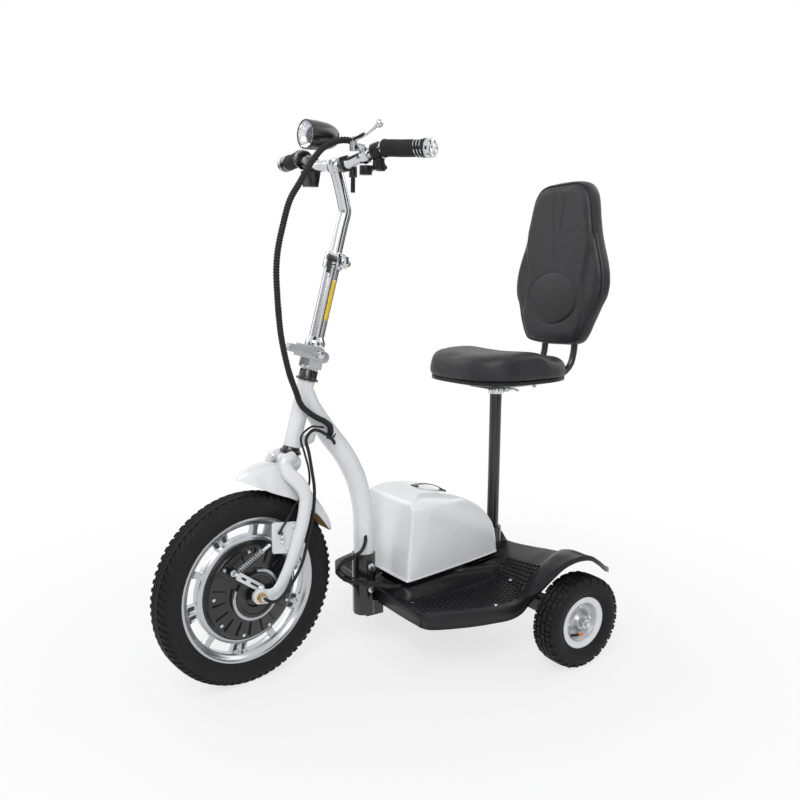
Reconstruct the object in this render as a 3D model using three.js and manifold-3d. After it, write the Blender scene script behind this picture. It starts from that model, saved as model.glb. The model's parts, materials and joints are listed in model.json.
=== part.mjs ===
// A three-wheeled seated electric scooter, in millimetres.
// +Z is up, the front wheel points to -Y and the rider's left hand is at +X.
import * as THREE from "three";
import { mergeVertices } from "three/addons/utils/BufferGeometryUtils.js";
import Module from "manifold-3d";

const wasm = await Module();
wasm.setup();

// Clearances shared by the whole machine
const gap = 0.3;
const running = 0.05;
const slack = 0.6;
const overrun = 6;
const weld = 0.0005;
const facetTolerance = 0.25;

// Steering geometry
const steeringRake = 16;
const restSteer = 9.5;
const headPivotY = 137;
const headPivotZ = 556;
const wheelbase = 632;

// Front tyre, rim and hub motor
const frontTyreRadius = 205;
const frontTyreSection = 28.5;
const frontRimRadius = 156;
const frontRimHalfWidth = 19;
const frontBeadHalfWidth = 18;
const frontRimWellDepth = 11;
const frontRimWall = 3.2;
const frontWebThickness = 9;
const frontWindowInnerRadius = 117;
const frontWindowOuterRadius = 139;
const frontWindowAngle = 26;
const frontWindowPairAngle = 31;
const hubRadius = 107;
const hubShoulderRadius = 100;
const hubHalfWidth = 31;
const hubShoulderHalfWidth = 26;
const hubRimBandHalfWidth = 13;
const hubWall = 5;
const hubFaceRadius = 60;
const hubBossRadius = 20;
const hubBossHalfWidth = 35;
const hubRibThickness = 2.6;
const hubRibHeight = 5;
const hubAxleRadius = 8;
const hubAxleEndRadius = 6;
const hubAxleHalfLength = 67.7;
const statorRadius = 88;
const statorHalfWidth = 16;
const statorSlotWidth = 9;
const statorSlotDepth = 26;
const drumRadius = 48;
const drumWidth = 13;
const axleNutRadius = 10.5;
const axleNutWidth = 8.5;

// Brake on the hub's left side
const bandThickness = 5;
const bandWidth = 8;
const bandOpeningAngle = 70;
const bandOpeningCentre = 122;
const brakeArmThickness = 2.2;
const brakeArmHalfWidth = 7;
const brakeArmPivotY = 9;
const brakeArmPivotRise = 13;
const brakeArmEndY = -55;
const brakeArmEndRise = 62;
const brakePinRadius = 3;
const brakeLineX = 50;
const pinchBoltRadius = 4;
const pinchBoltLength = 10;
const springRadius = 5.4;
const springWireRadius = 0.9;
const springTurns = 11;
const springEndClearance = 5;
const springLength = 58;
const adjusterRadius = 3.6;
const adjusterLength = 26;
const adjusterNutRadius = 6;
const adjusterNutLength = 5;
const brakeTabFrontY = 36;
const brakeTabBackY = 96;
const brakeTabLowRise = 72;
const brakeTabHighRise = 138;
const brakeTabThickness = 3;
const brakeTabX = 45.5;
const brakeTabSlotWidth = 8;
const brakeTabSlotInset = 12;
const brakeLugRadius = 7;
const brakeLugLength = 10;

// Fork
const forkLegX = 52;
const forkLegHalfThickness = 11;
const forkLegHalfDepth = 15;
const forkReach = 115;
const forkRise = 268;
const crownHalfWidth = 62;
const crownFront = 44;
const crownRear = 8;
const crownTop = 84.5;
const crownHeight = 21;
const crownBossRadius = 18;
const steererRadius = 12.7;
const forkLegShares = [
  [0.73, 0.989, 1, 0.933],
  [0.739, 0.944, 1, 1],
  [0.75, 0.895, 1, 1],
  [0.9, 0.805, 1, 1],
  [0.998, 0.702, 1, 1],
  [0.986, 0.615, 0.909, 1],
  [0.942, 0.521, 0.909, 1],
  [0.863, 0.407, 0.818, 1],
  [0.785, 0.309, 0.727, 1],
  [0.586, 0.132, 0.545, 0.933],
  [0.389, 0.004, 0.455, 1],
  [0.209, -0.019, 0.455, 1],
  [0, -0, 0.455, 1.133],
];

// Front fender: angle share of a right angle, middle radius, edge radius, width
const fenderRise = 62;
const fenderHalfWidth = 34.5;
const fenderThickness = 2.2;
const fenderBoltRadius = 4;
const fenderBoltHead = 7;
const fenderBoltHeadHeight = 3;
const fenderBoltX = 0;
const fenderShares = [
  [1.044, 0.5, 0.5, 0.079],
  [1, 0.726, 0.371, 0.474],
  [0.944, 0.855, 0.234, 0.789],
  [0.889, 0.952, 0.129, 0.947],
  [0.844, 1, 0.065, 1],
  [0.778, 1, 0.024, 1],
  [0.711, 0.919, 0.024, 1],
  [0.633, 0.758, 0.024, 1],
  [0.533, 0.613, 0.032, 1],
  [0.433, 0.532, 0.097, 1],
  [0.333, 0.5, 0.145, 0.947],
  [0.267, 0.46, 0.274, 0.684],
  [0.228, 0.419, 0.403, 0.132],
];

// Head tube, neck and its socket
const headTubeRadius = 17;
const headTubeHalfLength = 70;
const headBoreRadius = 14.2;
const lowerCupRadius = 19;
const lowerCupHeight = 12;
const topNutRadius = 19.5;
const topNutHeight = 22;
const topNutNotchWidth = 7;
const topNutNotchDepth = 6;
const topNutEarReach = 24;
const topNutEarHeight = 5;
const neckRadius = 22.5;
const neckWall = 3;
const neckBottomZ = 90;
const neckReach = 151;
const neckShares = [
  [0.086, 1.107, 0.756],
  [0.13, 1.077, 0.782],
  [0.172, 1.039, 0.827],
  [0.287, 0.971, 0.911],
  [0.479, 0.879, 1],
  [0.628, 0.817, 1],
  [0.756, 0.751, 1],
  [0.885, 0.661, 1],
  [0.958, 0.575, 1],
  [0.992, 0.499, 1],
  [1, 0.403, 1],
  [1, 0.302, 1],
  [1, 0.15, 1],
  [1, 0, 1],
];
const gussetHalfWidth = 11;
const gussetHeight = 30;
const gussetDrop = 46;
const gussetLength = 34;
const socketWall = 3.4;
const socketTopZ = 228;
const socketBottomZ = 85;
const socketFloor = 4;
const socketSlotWidth = 5;
const neckBoltRadius = 5;
const neckBoltHeadRadius = 8;
const neckBoltHeadHeight = 5;
const neckBoltReach = 29;
const neckBoltUpperZ = 202.6;
const neckBoltLowerZ = 148.4;
const cableHoleRadius = 9.5;

// Chassis under the deck
const railX = 72;
const railWidth = 30;
const railHeight = 30;
const railTopZ = 136.3;
const crossFrontY = 331.5;
const crossFrontDepth = 26;
const railRearY = 700;
const crossRearDepth = 24;
const socketPlateHalfWidth = 13;
const beamInset = 52;
const beamDepth = 36;
const beamHeight = 30;
const rearAxleRadius = 6;
const rearAxleReach = 37;
const postSocketRadius = 21;
const postSocketTopZ = 226;
const postY = 660;
const postFinHalfThickness = 4;
const postFinReach = 72;
const postFinTopZ = 208;
const postFinTipZ = 141;

// Deck with its rear fenders
const deckHalfWidth = 345;
const deckWheelOverhang = 31;
const deckFrontY = 312;
const deckLength = 420;
const deckTopZ = 140;
const fenderHumpHeight = 119;
const deckThickness = 3.2;
const deckSkirtDepth = 30;
const fenderLipDepth = 11;
const deckRimStep = 1.4;
const neckNotchRadius = 31;
const footPadHeight = 0.8;
const footPadShares = [
  [0.36, 0.095],
  [0.545, 0.095],
  [0.63, 0.257],
  [0.667, 0.448],
  [0.36, 0.448],
];
const deckShares = [
  [[0, 0, 0], [0.174, 0, 0], [0.319, 0, 0],
    [0.435, 0.002, 0], [0.499, 0.005, 0], [0.528, 0.01, -0.017]],
  [[0, 0.014, 0], [0.191, 0.014, 0], [0.362, 0.014, 0],
    [0.493, 0.017, 0], [0.551, 0.019, 0], [0.574, 0.026, -0.017]],
  [[0, 0.055, 0], [0.261, 0.055, 0], [0.406, 0.055, 0],
    [0.539, 0.057, 0], [0.588, 0.06, 0], [0.606, 0.062, -0.017]],
  [[0, 0.124, 0], [0.29, 0.124, 0], [0.435, 0.124, 0],
    [0.58, 0.124, 0], [0.623, 0.124, 0], [0.639, 0.124, -0.017]],
  [[0, 0.248, 0], [0.29, 0.248, 0], [0.464, 0.248, 0],
    [0.629, 0.248, 0], [0.672, 0.248, 0], [0.69, 0.248, -0.017]],
  [[0, 0.352, 0], [0.281, 0.352, 0], [0.478, 0.352, 0],
    [0.655, 0.352, 0], [0.699, 0.352, 0], [0.716, 0.352, -0.017]],
  [[0, 0.457, 0], [0.27, 0.457, 0], [0.478, 0.457, 0],
    [0.675, 0.457, 0], [0.719, 0.457, 0], [0.736, 0.457, -0.008]],
  [[0, 0.519, 0], [0.261, 0.519, 0], [0.464, 0.519, 0],
    [0.661, 0.519, 0.004], [0.716, 0.519, 0.034], [0.745, 0.519, 0.067]],
  [[0, 0.567, 0], [0.255, 0.567, 0], [0.441, 0.567, 0.008],
    [0.623, 0.567, 0.017], [0.696, 0.567, 0.109], [0.759, 0.567, 0.235]],
  [[0, 0.6, 0.008], [0.252, 0.6, 0.013], [0.423, 0.6, 0.017],
    [0.594, 0.6, 0.025], [0.725, 0.6, 0.336], [0.846, 0.6, 0.546]],
  [[0, 0.643, 0.025], [0.249, 0.643, 0.029], [0.414, 0.643, 0.034],
    [0.58, 0.645, 0.042], [0.759, 0.643, 0.63], [0.942, 0.643, 0.874]],
  [[0, 0.69, 0.059], [0.246, 0.69, 0.076], [0.409, 0.69, 0.092],
    [0.568, 0.698, 0.143], [0.765, 0.69, 0.807], [0.986, 0.69, 0.983]],
  [[0, 0.762, 0.134], [0.243, 0.762, 0.168], [0.4, 0.762, 0.21],
    [0.554, 0.769, 0.303], [0.748, 0.762, 0.866], [1, 0.762, 0.975]],
  [[0, 0.833, 0.218], [0.241, 0.833, 0.261], [0.391, 0.833, 0.319],
    [0.539, 0.84, 0.403], [0.73, 0.833, 0.815], [0.991, 0.838, 0.824]],
  [[0, 0.905, 0.294], [0.238, 0.91, 0.345], [0.383, 0.914, 0.412],
    [0.522, 0.919, 0.479], [0.71, 0.919, 0.689], [0.951, 0.924, 0.622]],
  [[0, 0.943, 0.328], [0.232, 0.952, 0.387], [0.377, 0.962, 0.445],
    [0.51, 0.967, 0.496], [0.69, 0.986, 0.571], [0.893, 1, 0.496]],
];
const deckSkirtShares = [1, 1, 1, 1, 1, 1, 1, 1, 0.9, 0.5, 0.1, 0, 0, 0, 0, 0];

// Battery box
const boxFrontY = 337;
const boxLength = 266;
const boxHalfWidth = 98.5;
const boxSeamZ = 174;
const boxSeamRise = 20;
const boxHeight = 187;
const boxWall = 3;
const boxTaper = 9;
const boxShares = [
  [0.011, 0],
  [0, 0.46],
  [0.006, 0.77],
  [0.064, 0.947],
  [0.132, 0.989],
  [0.199, 1],
  [0.312, 0.989],
  [0.613, 0.888],
  [0.831, 0.706],
  [0.959, 0.471],
  [0.989, 0.299],
  [1, 0.107],
];
const boxRingShares = [
  [1, 0.875],
  [0.955, 0.975],
  [0.74, 1],
];
const skirtFrontReach = 15;
const skirtRearReach = 27;
const skirtHalfWidth = 118;
const skirtWall = 4;
const trayOpeningHalfWidth = 36;
const trayOpeningLength = 42;
const skirtLowShares = [
  [0, 0],
  [0.763, 0],
  [0.949, 0.026],
  [1, 0.075],
  [0.983, 0.253],
  [0.932, 0.643],
  [0.847, 0.903],
  [0.712, 0.987],
  [0, 1],
];
const skirtTopShares = [
  [0, 0.006],
  [0.65, 0.006],
  [0.975, 0.132],
  [1, 0.192],
  [0.985, 0.35],
  [0.934, 0.763],
  [0.873, 0.974],
  [0.812, 1],
  [0, 1],
];
const packHalfWidth = 72;
const packFrontShare = 0.1316;
const packLengthShare = 0.4887;
const packHeight = 148;
const packBottomZ = 150;
const controllerHalfWidth = 42;
const controllerFrontShare = 0.6579;
const controllerLengthShare = 0.2105;
const controllerHeight = 96;
const controllerRibThickness = 3;
const controllerRibHeight = 5;
const controllerRibs = 6;
const trayThickness = 3;
const handleFrontShare = 0.282;
const handleLengthShare = 0.406;
const handleRise = 11;
const handleHalfWidth = 9;
const handleThickness = 2.6;
const handleFootDrop = 2;

// Rear wheels
const rearTyreRadius = 102.5;
const rearTyreSection = 30;
const rearTyreWallHeight = 23.5;
const rearRimRadius = 56;
const rearRimHalfWidth = 23;
const rearBeadHalfWidth = 22;
const rearRimLipWidth = 12;
const rearDishHalfDepth = 9;
const rearHubRadius = 16;
const rearHubHalfWidth = 21;
const rearShoulderRadius = 10;
const rearNutRadius = 11;
const rearNutWidth = 9;

// Seat post, clamp and seat
const postOuterRadius = 14;
const postOuterTopZ = 560;
const postOuterBottomZ = 92;
const postInnerRadius = 11.3;
const postInnerBottomZ = 330;
const postInnerTopZ = 582;
const seatCollarHeight = 16;
const seatCollarTopZ = 571;
const seatCollarWall = 3.4;
const seatCollarEarX = 8;
const seatCollarEarReach = 30;
const seatCollarEarHeight = 11;
const seatLeverRadius = 3.2;
const seatLeverReach = 24;
const seatLeverLength = 34;
const seatSlit = 3;
const bracketHalfWidth = 40;
const bracketFrontY = 612;
const bracketLength = 110;
const bracketHeight = 16;
const bracketWall = 4;
const panHalfWidth = 78;
const panLength = 160;
const panFrontY = 582;
const panThickness = 3.4;
const cushionHalfWidth = 157;
const cushionHalfLength = 155;
const cushionCentreY = 662;
const cushionBottomZ = 586;
const cushionHeight = 66;
const cushionHollowRadius = 118;
const cushionLayerShares = [
  [0.8, 0],
  [0.9, 0.01],
  [0.955, 0.09],
  [1, 0.4],
  [0.995, 0.58],
  [0.965, 0.68],
  [0.9, 0.765],
  [0.78, 0.835],
  [0.5, 0.88],
  [0.12, 0.885],
];
const cushionSquareness = 2.5;
const cushionSidePullShare = 0.045;
const cushionSaddleShare = 0.16;
const cushionRearDipShare = 0.1;
const backTubeRadius = 8;
const backTubeX = 50;
const backTubeRoute = [
  [640, 0],
  [742, 0],
  [786, 2],
  [822, 12],
  [848, 31],
  [858, 58],
  [861, 86],
  [862, 118],
  [864, 178],
];
const backBottomZ = 660;
const backHeight = 386;
const backHalfWidth = 140;
const backFrontY = 822;
const backLean = 3;
const backDepth = 42;
const backLumbarRadius = 52;
const backLumbarRise = 118;
const backLumbarBulge = 4;
const backShares = [
  [0, 0],
  [0.343, 0.005],
  [0.614, 0.052],
  [0.8, 0.142],
  [0.957, 0.272],
  [1, 0.376],
  [0.979, 0.492],
  [0.871, 0.635],
  [0.743, 0.777],
  [0.614, 0.894],
  [0.443, 0.974],
  [0.214, 0.997],
  [0, 1],
];
const backLayerShares = [
  [0.8, 1],
  [0.93, 0.97],
  [0.985, 0.86],
  [1, 0.62],
  [0.99, 0.36],
  [0.955, 0.17],
  [0.9, 0.08],
  [0.82, 0.1],
  [0.55, 0.15],
  [0.1, 0.16],
];
const backSidePullShare = 0.03;

// Folding joint at the foot of the column, measured along the steering axis
const foldBaseBottom = 93.2;
const foldBaseDisc = 6;
const foldBaseRadius = 19;
const foldPinHeight = 126;
const foldPinRadius = 4;
const foldPinHeadRadius = 8.5;
const foldPinHead = 4;
const foldCheekInner = 15.9;
const foldCheekThickness = 4;
const foldCheekRadius = 15;
const foldCheekTail = 17;
const foldCheekTailDrop = 6;
const foldKnuckleRadius = 14;
const latchThickness = 4;
const latchHalfWidth = 14.5;
const latchLength = 62;
const latchTipLength = 18;
const latchTipRadius = 8;
const latchTipWidth = 15;

// Column
const stemBottom = 138;
const stemTop = 331;
const stemRadius = 15.5;
const stemWall = 2.4;
const upperStemRadius = 12.7;
const upperStemWall = 1.8;
const upperStemBottom = 205;
const upperStemBend = 420;
const clampBottom = 302;
const clampTop = 334;
const clampWall = 4.6;
const clampLugReach = 29;
const clampLugHalfDepth = 14;
const clampLugInset = 4;
const clampSlit = 3;
const clampBossRadius = 9;
const clampBossReach = 35;
const clampBoltX = 23;
const clampBoltRadius = 3;
const clampEarLength = 8;
const clampEarRadius = 6;
const clampKnobRadius = 6.5;
const clampKnobLength = 20;
const clampBladeLength = 30;
const clampBladeWidth = 9;
const clampBladeThickness = 2.4;

// Handlebar, in straight-ahead places
const barRadius = 11.1;
const barHalfWidth = 232;
const barY = 226;
const barZ = 1046;
const barSweep = 40;
const barRise = 22;
const barShares = [
  [0, 0, 0],
  [0.216, -0.1, 0.045],
  [0.431, 0.05, 0.636],
  [0.552, 0.26, 0.995],
];
const gripInnerX = 131;
const gripOuterX = 221;
const gripRadius = 15.4;
const gripRingRadius = 16.6;
const gripRingWidth = 3;
const gripGrooveDepth = 1.6;
const gripGrooveWidth = 2.2;
const gripGroovePitch = 7;
const gripGrooveTurn = 38;
const barEndRadius = 17;
const barEndLength = 13;
const barEndHoleRadius = 3.4;
const barEndHoleDepth = 4;
const barEndHoleCircle = 9.5;
const barEndHoles = 4;
const barEndY = 266;
const barEndZ = 1064;
const stemHeadRadius = 17;
const stemHeadHalfWidth = 17;
const clampWallBar = 4.2;

// Controls on the handlebar
const perchX = 95;
const perchWidth = 14;
const leverPivotX = 84;
const leverPivotY = 204;
const leverPivotZ = 1085;
const leverPinRadius = 3;
const leverEyeRadius = 7.5;
const leverThickness = 8;
const leverMiddleX = 133;
const leverMiddleY = 189;
const leverMiddleZ = 1089;
const leverEndX = 178;
const leverEndY = 185;
const leverEndZ = 1102;
const leverHalfWidth = 4.6;
const leverHalfThickness = 3.2;
const leverBallRadius = 7.2;
const switchX = 117;
const switchWidth = 15;
const podRadius = 12;
const podHeight = 17;
const podX = 91;
const podY = 229;
const podTopZ = 1040;
const smallPodRadius = 8.5;
const smallPodHeight = 14;
const smallPodX = 114;
const smallPodY = 247;
const smallPodTopZ = 1044;
const podBridgeHeight = 8;
const buttonRadius = 4.2;
const buttonLength = 5;
const buttonWell = 2.6;
const buttonTravel = 2;
const rockerWidth = 8;
const rockerHeight = 9;
const rockerDepth = 4;
const lockX = 36;
const lockWidth = 15;
const lockBarrelRadius = 8;
const lockBarrelY = 243;
const lockBarrelTopZ = 1046;
const lockBarrelBottomZ = 1022;
const keyStemRadius = 3;
const keyStemLength = 9;
const keyBladeLength = 28;
const keyBladeWidth = 10;
const keyBladeThickness = 2;
const hornX = -78;
const hornWidth = 24;
const hornTopWidth = 34;
const hornBottomWidth = 24;
const hornTopZ = 1039;
const hornHeight = 31;
const hornY = 224;
const hornBottomDepth = 22;
const throttleX = -115;
const throttleWidth = 17;
const throttleRadius = 19.5;
const lampY = 191;
const lampZ = 1097;
const lampRadius = 27;
const lampLength = 76;
const lampWall = 2;
const lampRimDepth = 7;
const lampTailRadius = 11;
const lensRadius = 24;
const lensThickness = 3;
const lensBulge = 4;
const lampFootHalfWidth = 10;
const lampFootHalfDepth = 8;

// Cables: radii and routes
const bundleRadius = 8.4;
const bundleRibDepth = 1.3;
const bundleRibs = 35;
const motorCableRadius = 3.4;
const brakeSheathRadius = 2.2;
const brakeWireRadius = 0.9;
const loopCableRadius = 4;
const bundleSteeredRoute = [
  [64, 224, 1083],
  [60, 207, 1086],
  [54, 187, 1083],
  [49, 163, 1072],
  [45, 138, 1046],
  [42, 111, 1006],
  [40, 89, 973],
  [40, 73, 928],
  [40, 61, 883],
  [40, 57, 846],
  [40, 58, 810],
  [40, 61, 768],
  [40, 66, 725],
  [38, 76, 685],
  [36, 89, 645],
  [33, 106, 609],
];
const bundleFrameRoute = [
  [32, 126, 579],
  [32, 142, 563],
  [33, 160, 550],
  [35, 178, 540],
  [36, 189, 530],
  [31, 193, 518],
  [20, 197, 510],
  [10, 200, 506],
];
const motorFrameRoute = [
  [20, 207, 489],
  [30, 200, 496],
  [35, 185, 509],
  [37, 165, 522],
  [40, 147, 526],
];
const motorSteeredRoute = [
  [42, 124, 512],
  [47, 127, 484],
  [50, 133, 443],
  [51, 138, 408],
  [51, 137, 371],
  [51, 130, 329],
  [53, 117, 288],
  [60, 99, 252],
  [64, 76, 224],
  [66, 54, 204],
  [70, 32, 194],
  [73, 14, 197],
  [71.4, 2, 205],
];
const brakeSteeredRoute = [
  [34, 117, 516],
  [36, 124, 482],
  [37.6, 134, 443],
  [37.6, 134, 412],
  [37.6, 117, 389],
  [38.2, 99, 376],
  [42, 89, 369],
  [47.5, 77, 359],
  [50.2, 62, 343],
  [50.2, 49, 326],
];
const brakeFrameRoute = [
  [34, 175, 528],
  [35, 161, 531],
  [37, 146, 533],
];
const loopRoute = [
  [10, 286, 277],
  [27, 277, 263],
  [35, 263, 246],
  [33, 243, 233],
  [18, 229, 220],
  [0, 224, 204],
  [-5, 223, 190],
  [10, 226, 182],
  [34, 238, 178],
  [46, 262, 172],
  [58, 288, 168],
  [76, 308, 166],
  [86, 329, 165],
];

// Facets
const wheelSides = 26;
const hubSides = 16;
const rearWheelSides = 18;
const tubeSides = 10;
const finePipeSides = 8;
const smallSides = 6;
const cordSides = 8;

const degree = Math.PI / 180;
const rightAngle = 90;
const fullTurn = rightAngle * 4;
const rake = steeringRake * degree;
const steer = restSteer * degree;
const forward = new THREE.Vector3(0, -1, 0);
const sideways = new THREE.Vector3(1, 0, 0);
const upright = new THREE.Vector3(0, 0, 1);

const at = (x, y, z) => new THREE.Vector3(x, y, z);
const list = (rows) => rows.map(([x, y, z]) => at(x, y, z));
const between = (a, b, share) => a + (b - a) * share;

// Steering axis: "up" runs along it, "behind" is square to it towards the seat
const headPivot = at(0, headPivotY, headPivotZ);
const axisUp = at(0, Math.sin(rake), Math.cos(rake));
const axisBehind = at(0, Math.cos(rake), -Math.sin(rake));
const onAxis = (up, behind = 0, x = 0) =>
  headPivot.clone().addScaledVector(axisUp, up).addScaledVector(axisBehind, behind).add(at(x, 0, 0));

// The axle height that stands the turned, leaning front wheel on the ground
const axleLean = Math.sin(rake) * Math.sin(steer);
const tyreCore = frontTyreRadius - frontTyreSection;
const steerLoss = 1 - Math.cos(steer);
const axleZ =
  headPivotZ +
  (tyreCore * Math.sqrt(1 - axleLean * axleLean) +
    frontTyreSection -
    headPivotZ +
    headPivotY * Math.sin(rake) * Math.cos(rake) * steerLoss) /
    (Math.cos(steer) + Math.cos(rake) * Math.cos(rake) * steerLoss);
const axle = at(0, 0, axleZ);
const rearAxle = at(0, wheelbase, rearTyreRadius);

// The rear track follows the deck's width, and the beam and axle follow the track
const rearTrackHalf = deckHalfWidth - deckWheelOverhang;
const beamHalfLength = rearTrackHalf - beamInset;
const rearAxleHalfLength = rearTrackHalf + rearAxleReach;

// What lies in and round the battery box follows the box's front and length
const skirtFrontY = boxFrontY - skirtFrontReach;
const skirtLength = boxLength + skirtFrontReach + skirtRearReach;
const packFrontY = boxFrontY + boxLength * packFrontShare;
const packLength = boxLength * packLengthShare;
const controllerFrontY = boxFrontY + boxLength * controllerFrontShare;
const controllerLength = boxLength * controllerLengthShare;
const handleFrontY = boxFrontY + boxLength * handleFrontShare;
const handleLength = boxLength * handleLengthShare;

// A straight-ahead place turned to where the resting steering holds it
const steered = (point) =>
  point.clone().sub(headPivot).applyAxisAngle(axisUp, steer).add(headPivot);

// Closed surfaces as solids
function solid(geometry) {
  const loose = geometry.index ? geometry.toNonIndexed() : geometry;
  const bare = new THREE.BufferGeometry();
  bare.setAttribute("position", loose.getAttribute("position"));
  const merged = mergeVertices(bare, weld);
  const index = merged.index.array;
  const kept = [];
  for (let i = 0; i < index.length; i += 3) {
    const [a, b, c] = [index[i], index[i + 1], index[i + 2]];
    if (a !== b && b !== c && c !== a) kept.push(a, b, c);
  }
  const build = (triangles) =>
    new wasm.Manifold(
      new wasm.Mesh({
        numProp: 3,
        vertProperties: new Float32Array(merged.getAttribute("position").array),
        triVerts: new Uint32Array(triangles),
      }),
    );
  const made = build(kept);
  if (made.volume() > 0) return made;
  for (let i = 0; i < kept.length; i += 3) [kept[i + 1], kept[i + 2]] = [kept[i + 2], kept[i + 1]];
  return build(kept);
}

const moved = (shape, matrix) => shape.transform([...matrix.elements]);
const shifted = (shape, offset) => shape.translate([offset.x, offset.y, offset.z]);
const join = (...shapes) => shapes.reduce((sum, shape) => sum.add(shape));
const cut = (shape, ...cutters) => cutters.reduce((rest, cutter) => rest.subtract(cutter), shape);
const largest = (shape) => shape.decompose().sort((a, b) => b.volume() - a.volume())[0];
const mirrored = (shape) => shape.mirror([1, 0, 0]);

// A block given by its size and its middle
function block(size, centre) {
  return solid(new THREE.BoxGeometry(size.x, size.y, size.z).translate(centre.x, centre.y, centre.z));
}

// A block squared to the steering axis: x, behind, up
function axisBlock(size, x, behind, up) {
  const centre = onAxis(up, behind, x);
  const shape = new THREE.BoxGeometry(size.x, size.y, size.z).rotateX(-rake);
  return solid(shape.translate(centre.x, centre.y, centre.z));
}

// A straight round bar between two places
function rod(radius, from, to, sides = tubeSides, endRadius = radius) {
  const along = to.clone().sub(from);
  const turn = new THREE.Quaternion().setFromUnitVectors(at(0, 1, 0), along.clone().normalize());
  const shape = new THREE.CylinderGeometry(endRadius, radius, along.length(), sides);
  const middle = from.clone().add(to).multiplyScalar(1 / 2);
  return solid(shape.applyQuaternion(turn).translate(middle.x, middle.y, middle.z));
}

const bore = (radius, clearance, sides) => (radius + clearance) / Math.cos(Math.PI / sides);

// A turned piece: [radius, place along the axis] rows, closed on themselves
function turned(rows, sides) {
  const closed = [...rows, rows[0]].map(([radius, along]) => new THREE.Vector2(radius, along));
  return new THREE.LatheGeometry(closed, sides, Math.PI / sides);
}
const turnedAcross = (rows, sides) => solid(turned(rows, sides).rotateZ(-Math.PI / 2));
const turnedUp = (rows, sides) => solid(turned(rows, sides).rotateX(Math.PI / 2));
function turnedOnAxis(rows, sides) {
  const shape = turned(rows, sides).rotateX(Math.PI / 2).rotateX(-rake);
  return solid(shape.translate(headPivot.x, headPivot.y, headPivot.z));
}
const ring = (inner, outer, low, high) => [
  [inner, low],
  [outer, low],
  [outer, high],
  [inner, high],
];

// A flat plate in the side view (y, z), from x = low to x = high
function sidePlate(outline, low, high) {
  const shape = new THREE.Shape(outline.map(([y, z]) => new THREE.Vector2(y, z)));
  const sheet = new THREE.ExtrudeGeometry(shape, { depth: high - low, bevelEnabled: false, steps: 1 });
  const basis = new THREE.Matrix4().makeBasis(at(0, 1, 0), at(0, 0, 1), at(1, 0, 0));
  return solid(sheet.applyMatrix4(basis).translate(low, 0, 0));
}

// A prism on a plan outline (x, y), from z = low to z = high
function planPrism(outline, low, high) {
  const shape = new THREE.Shape(outline.map(([x, y]) => new THREE.Vector2(x, y)));
  const sheet = new THREE.ExtrudeGeometry(shape, { depth: high - low, bevelEnabled: false, steps: 1 });
  return solid(sheet.translate(0, 0, low));
}

const facesOf = (triangles) => {
  const shape = new THREE.BufferGeometry();
  const places = triangles.flatMap((point) => [point.x, point.y, point.z]);
  return shape.setAttribute("position", new THREE.Float32BufferAttribute(places, 3));
};

// A solid through rings of equal count, closed by fans at both ends
function loft(rings) {
  const triangles = [];
  rings.slice(1).forEach((next, i) => {
    const last = rings[i];
    last.forEach((point, j) => {
      const k = (j + 1) % last.length;
      triangles.push(point, last[k], next[k], point, next[k], next[j]);
    });
  });
  const cap = (loop, flip) => {
    const middle = loop.reduce((sum, point) => sum.add(point), at(0, 0, 0)).divideScalar(loop.length);
    loop.forEach((point, j) => {
      const after = loop[(j + 1) % loop.length];
      triangles.push(middle, ...(flip ? [after, point] : [point, after]));
    });
  };
  cap(rings[0], true);
  cap(rings[rings.length - 1], false);
  return solid(facesOf(triangles));
}

// A skin of even thickness under a net of points
function skin(net, thickness) {
  const rows = net.length;
  const columns = net[0].length;
  const normals = net.map((row, i) =>
    row.map((point, j) => {
      const across = net[i][Math.min(j + 1, columns - 1)].clone().sub(net[i][Math.max(j - 1, 0)]);
      const along = net[Math.min(i + 1, rows - 1)][j].clone().sub(net[Math.max(i - 1, 0)][j]);
      return across.cross(along).normalize();
    }),
  );
  const under = net.map((row, i) =>
    row.map((point, j) => point.clone().addScaledVector(normals[i][j], -thickness)),
  );
  return netSolid(net, under);
}

// A solid between two nets of points
function netSolid(top, under) {
  const rows = top.length;
  const columns = top[0].length;
  const triangles = [];
  const quad = (a, b, c, d) => triangles.push(a, b, c, a, c, d);
  for (let i = 0; i < rows - 1; i++) {
    for (let j = 0; j < columns - 1; j++) {
      quad(top[i][j], top[i][j + 1], top[i + 1][j + 1], top[i + 1][j]);
      quad(under[i][j], under[i + 1][j], under[i + 1][j + 1], under[i][j + 1]);
    }
    quad(top[i][0], top[i + 1][0], under[i + 1][0], under[i][0]);
    quad(top[i + 1][columns - 1], top[i][columns - 1], under[i][columns - 1], under[i + 1][columns - 1]);
  }
  for (let j = 0; j < columns - 1; j++) {
    quad(top[0][j + 1], top[0][j], under[0][j], under[0][j + 1]);
    quad(top[rows - 1][j], top[rows - 1][j + 1], under[rows - 1][j + 1], under[rows - 1][j]);
  }
  return solid(facesOf(triangles));
}

const curve = (points) => new THREE.CatmullRomCurve3(points, false, "centripetal");

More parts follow.
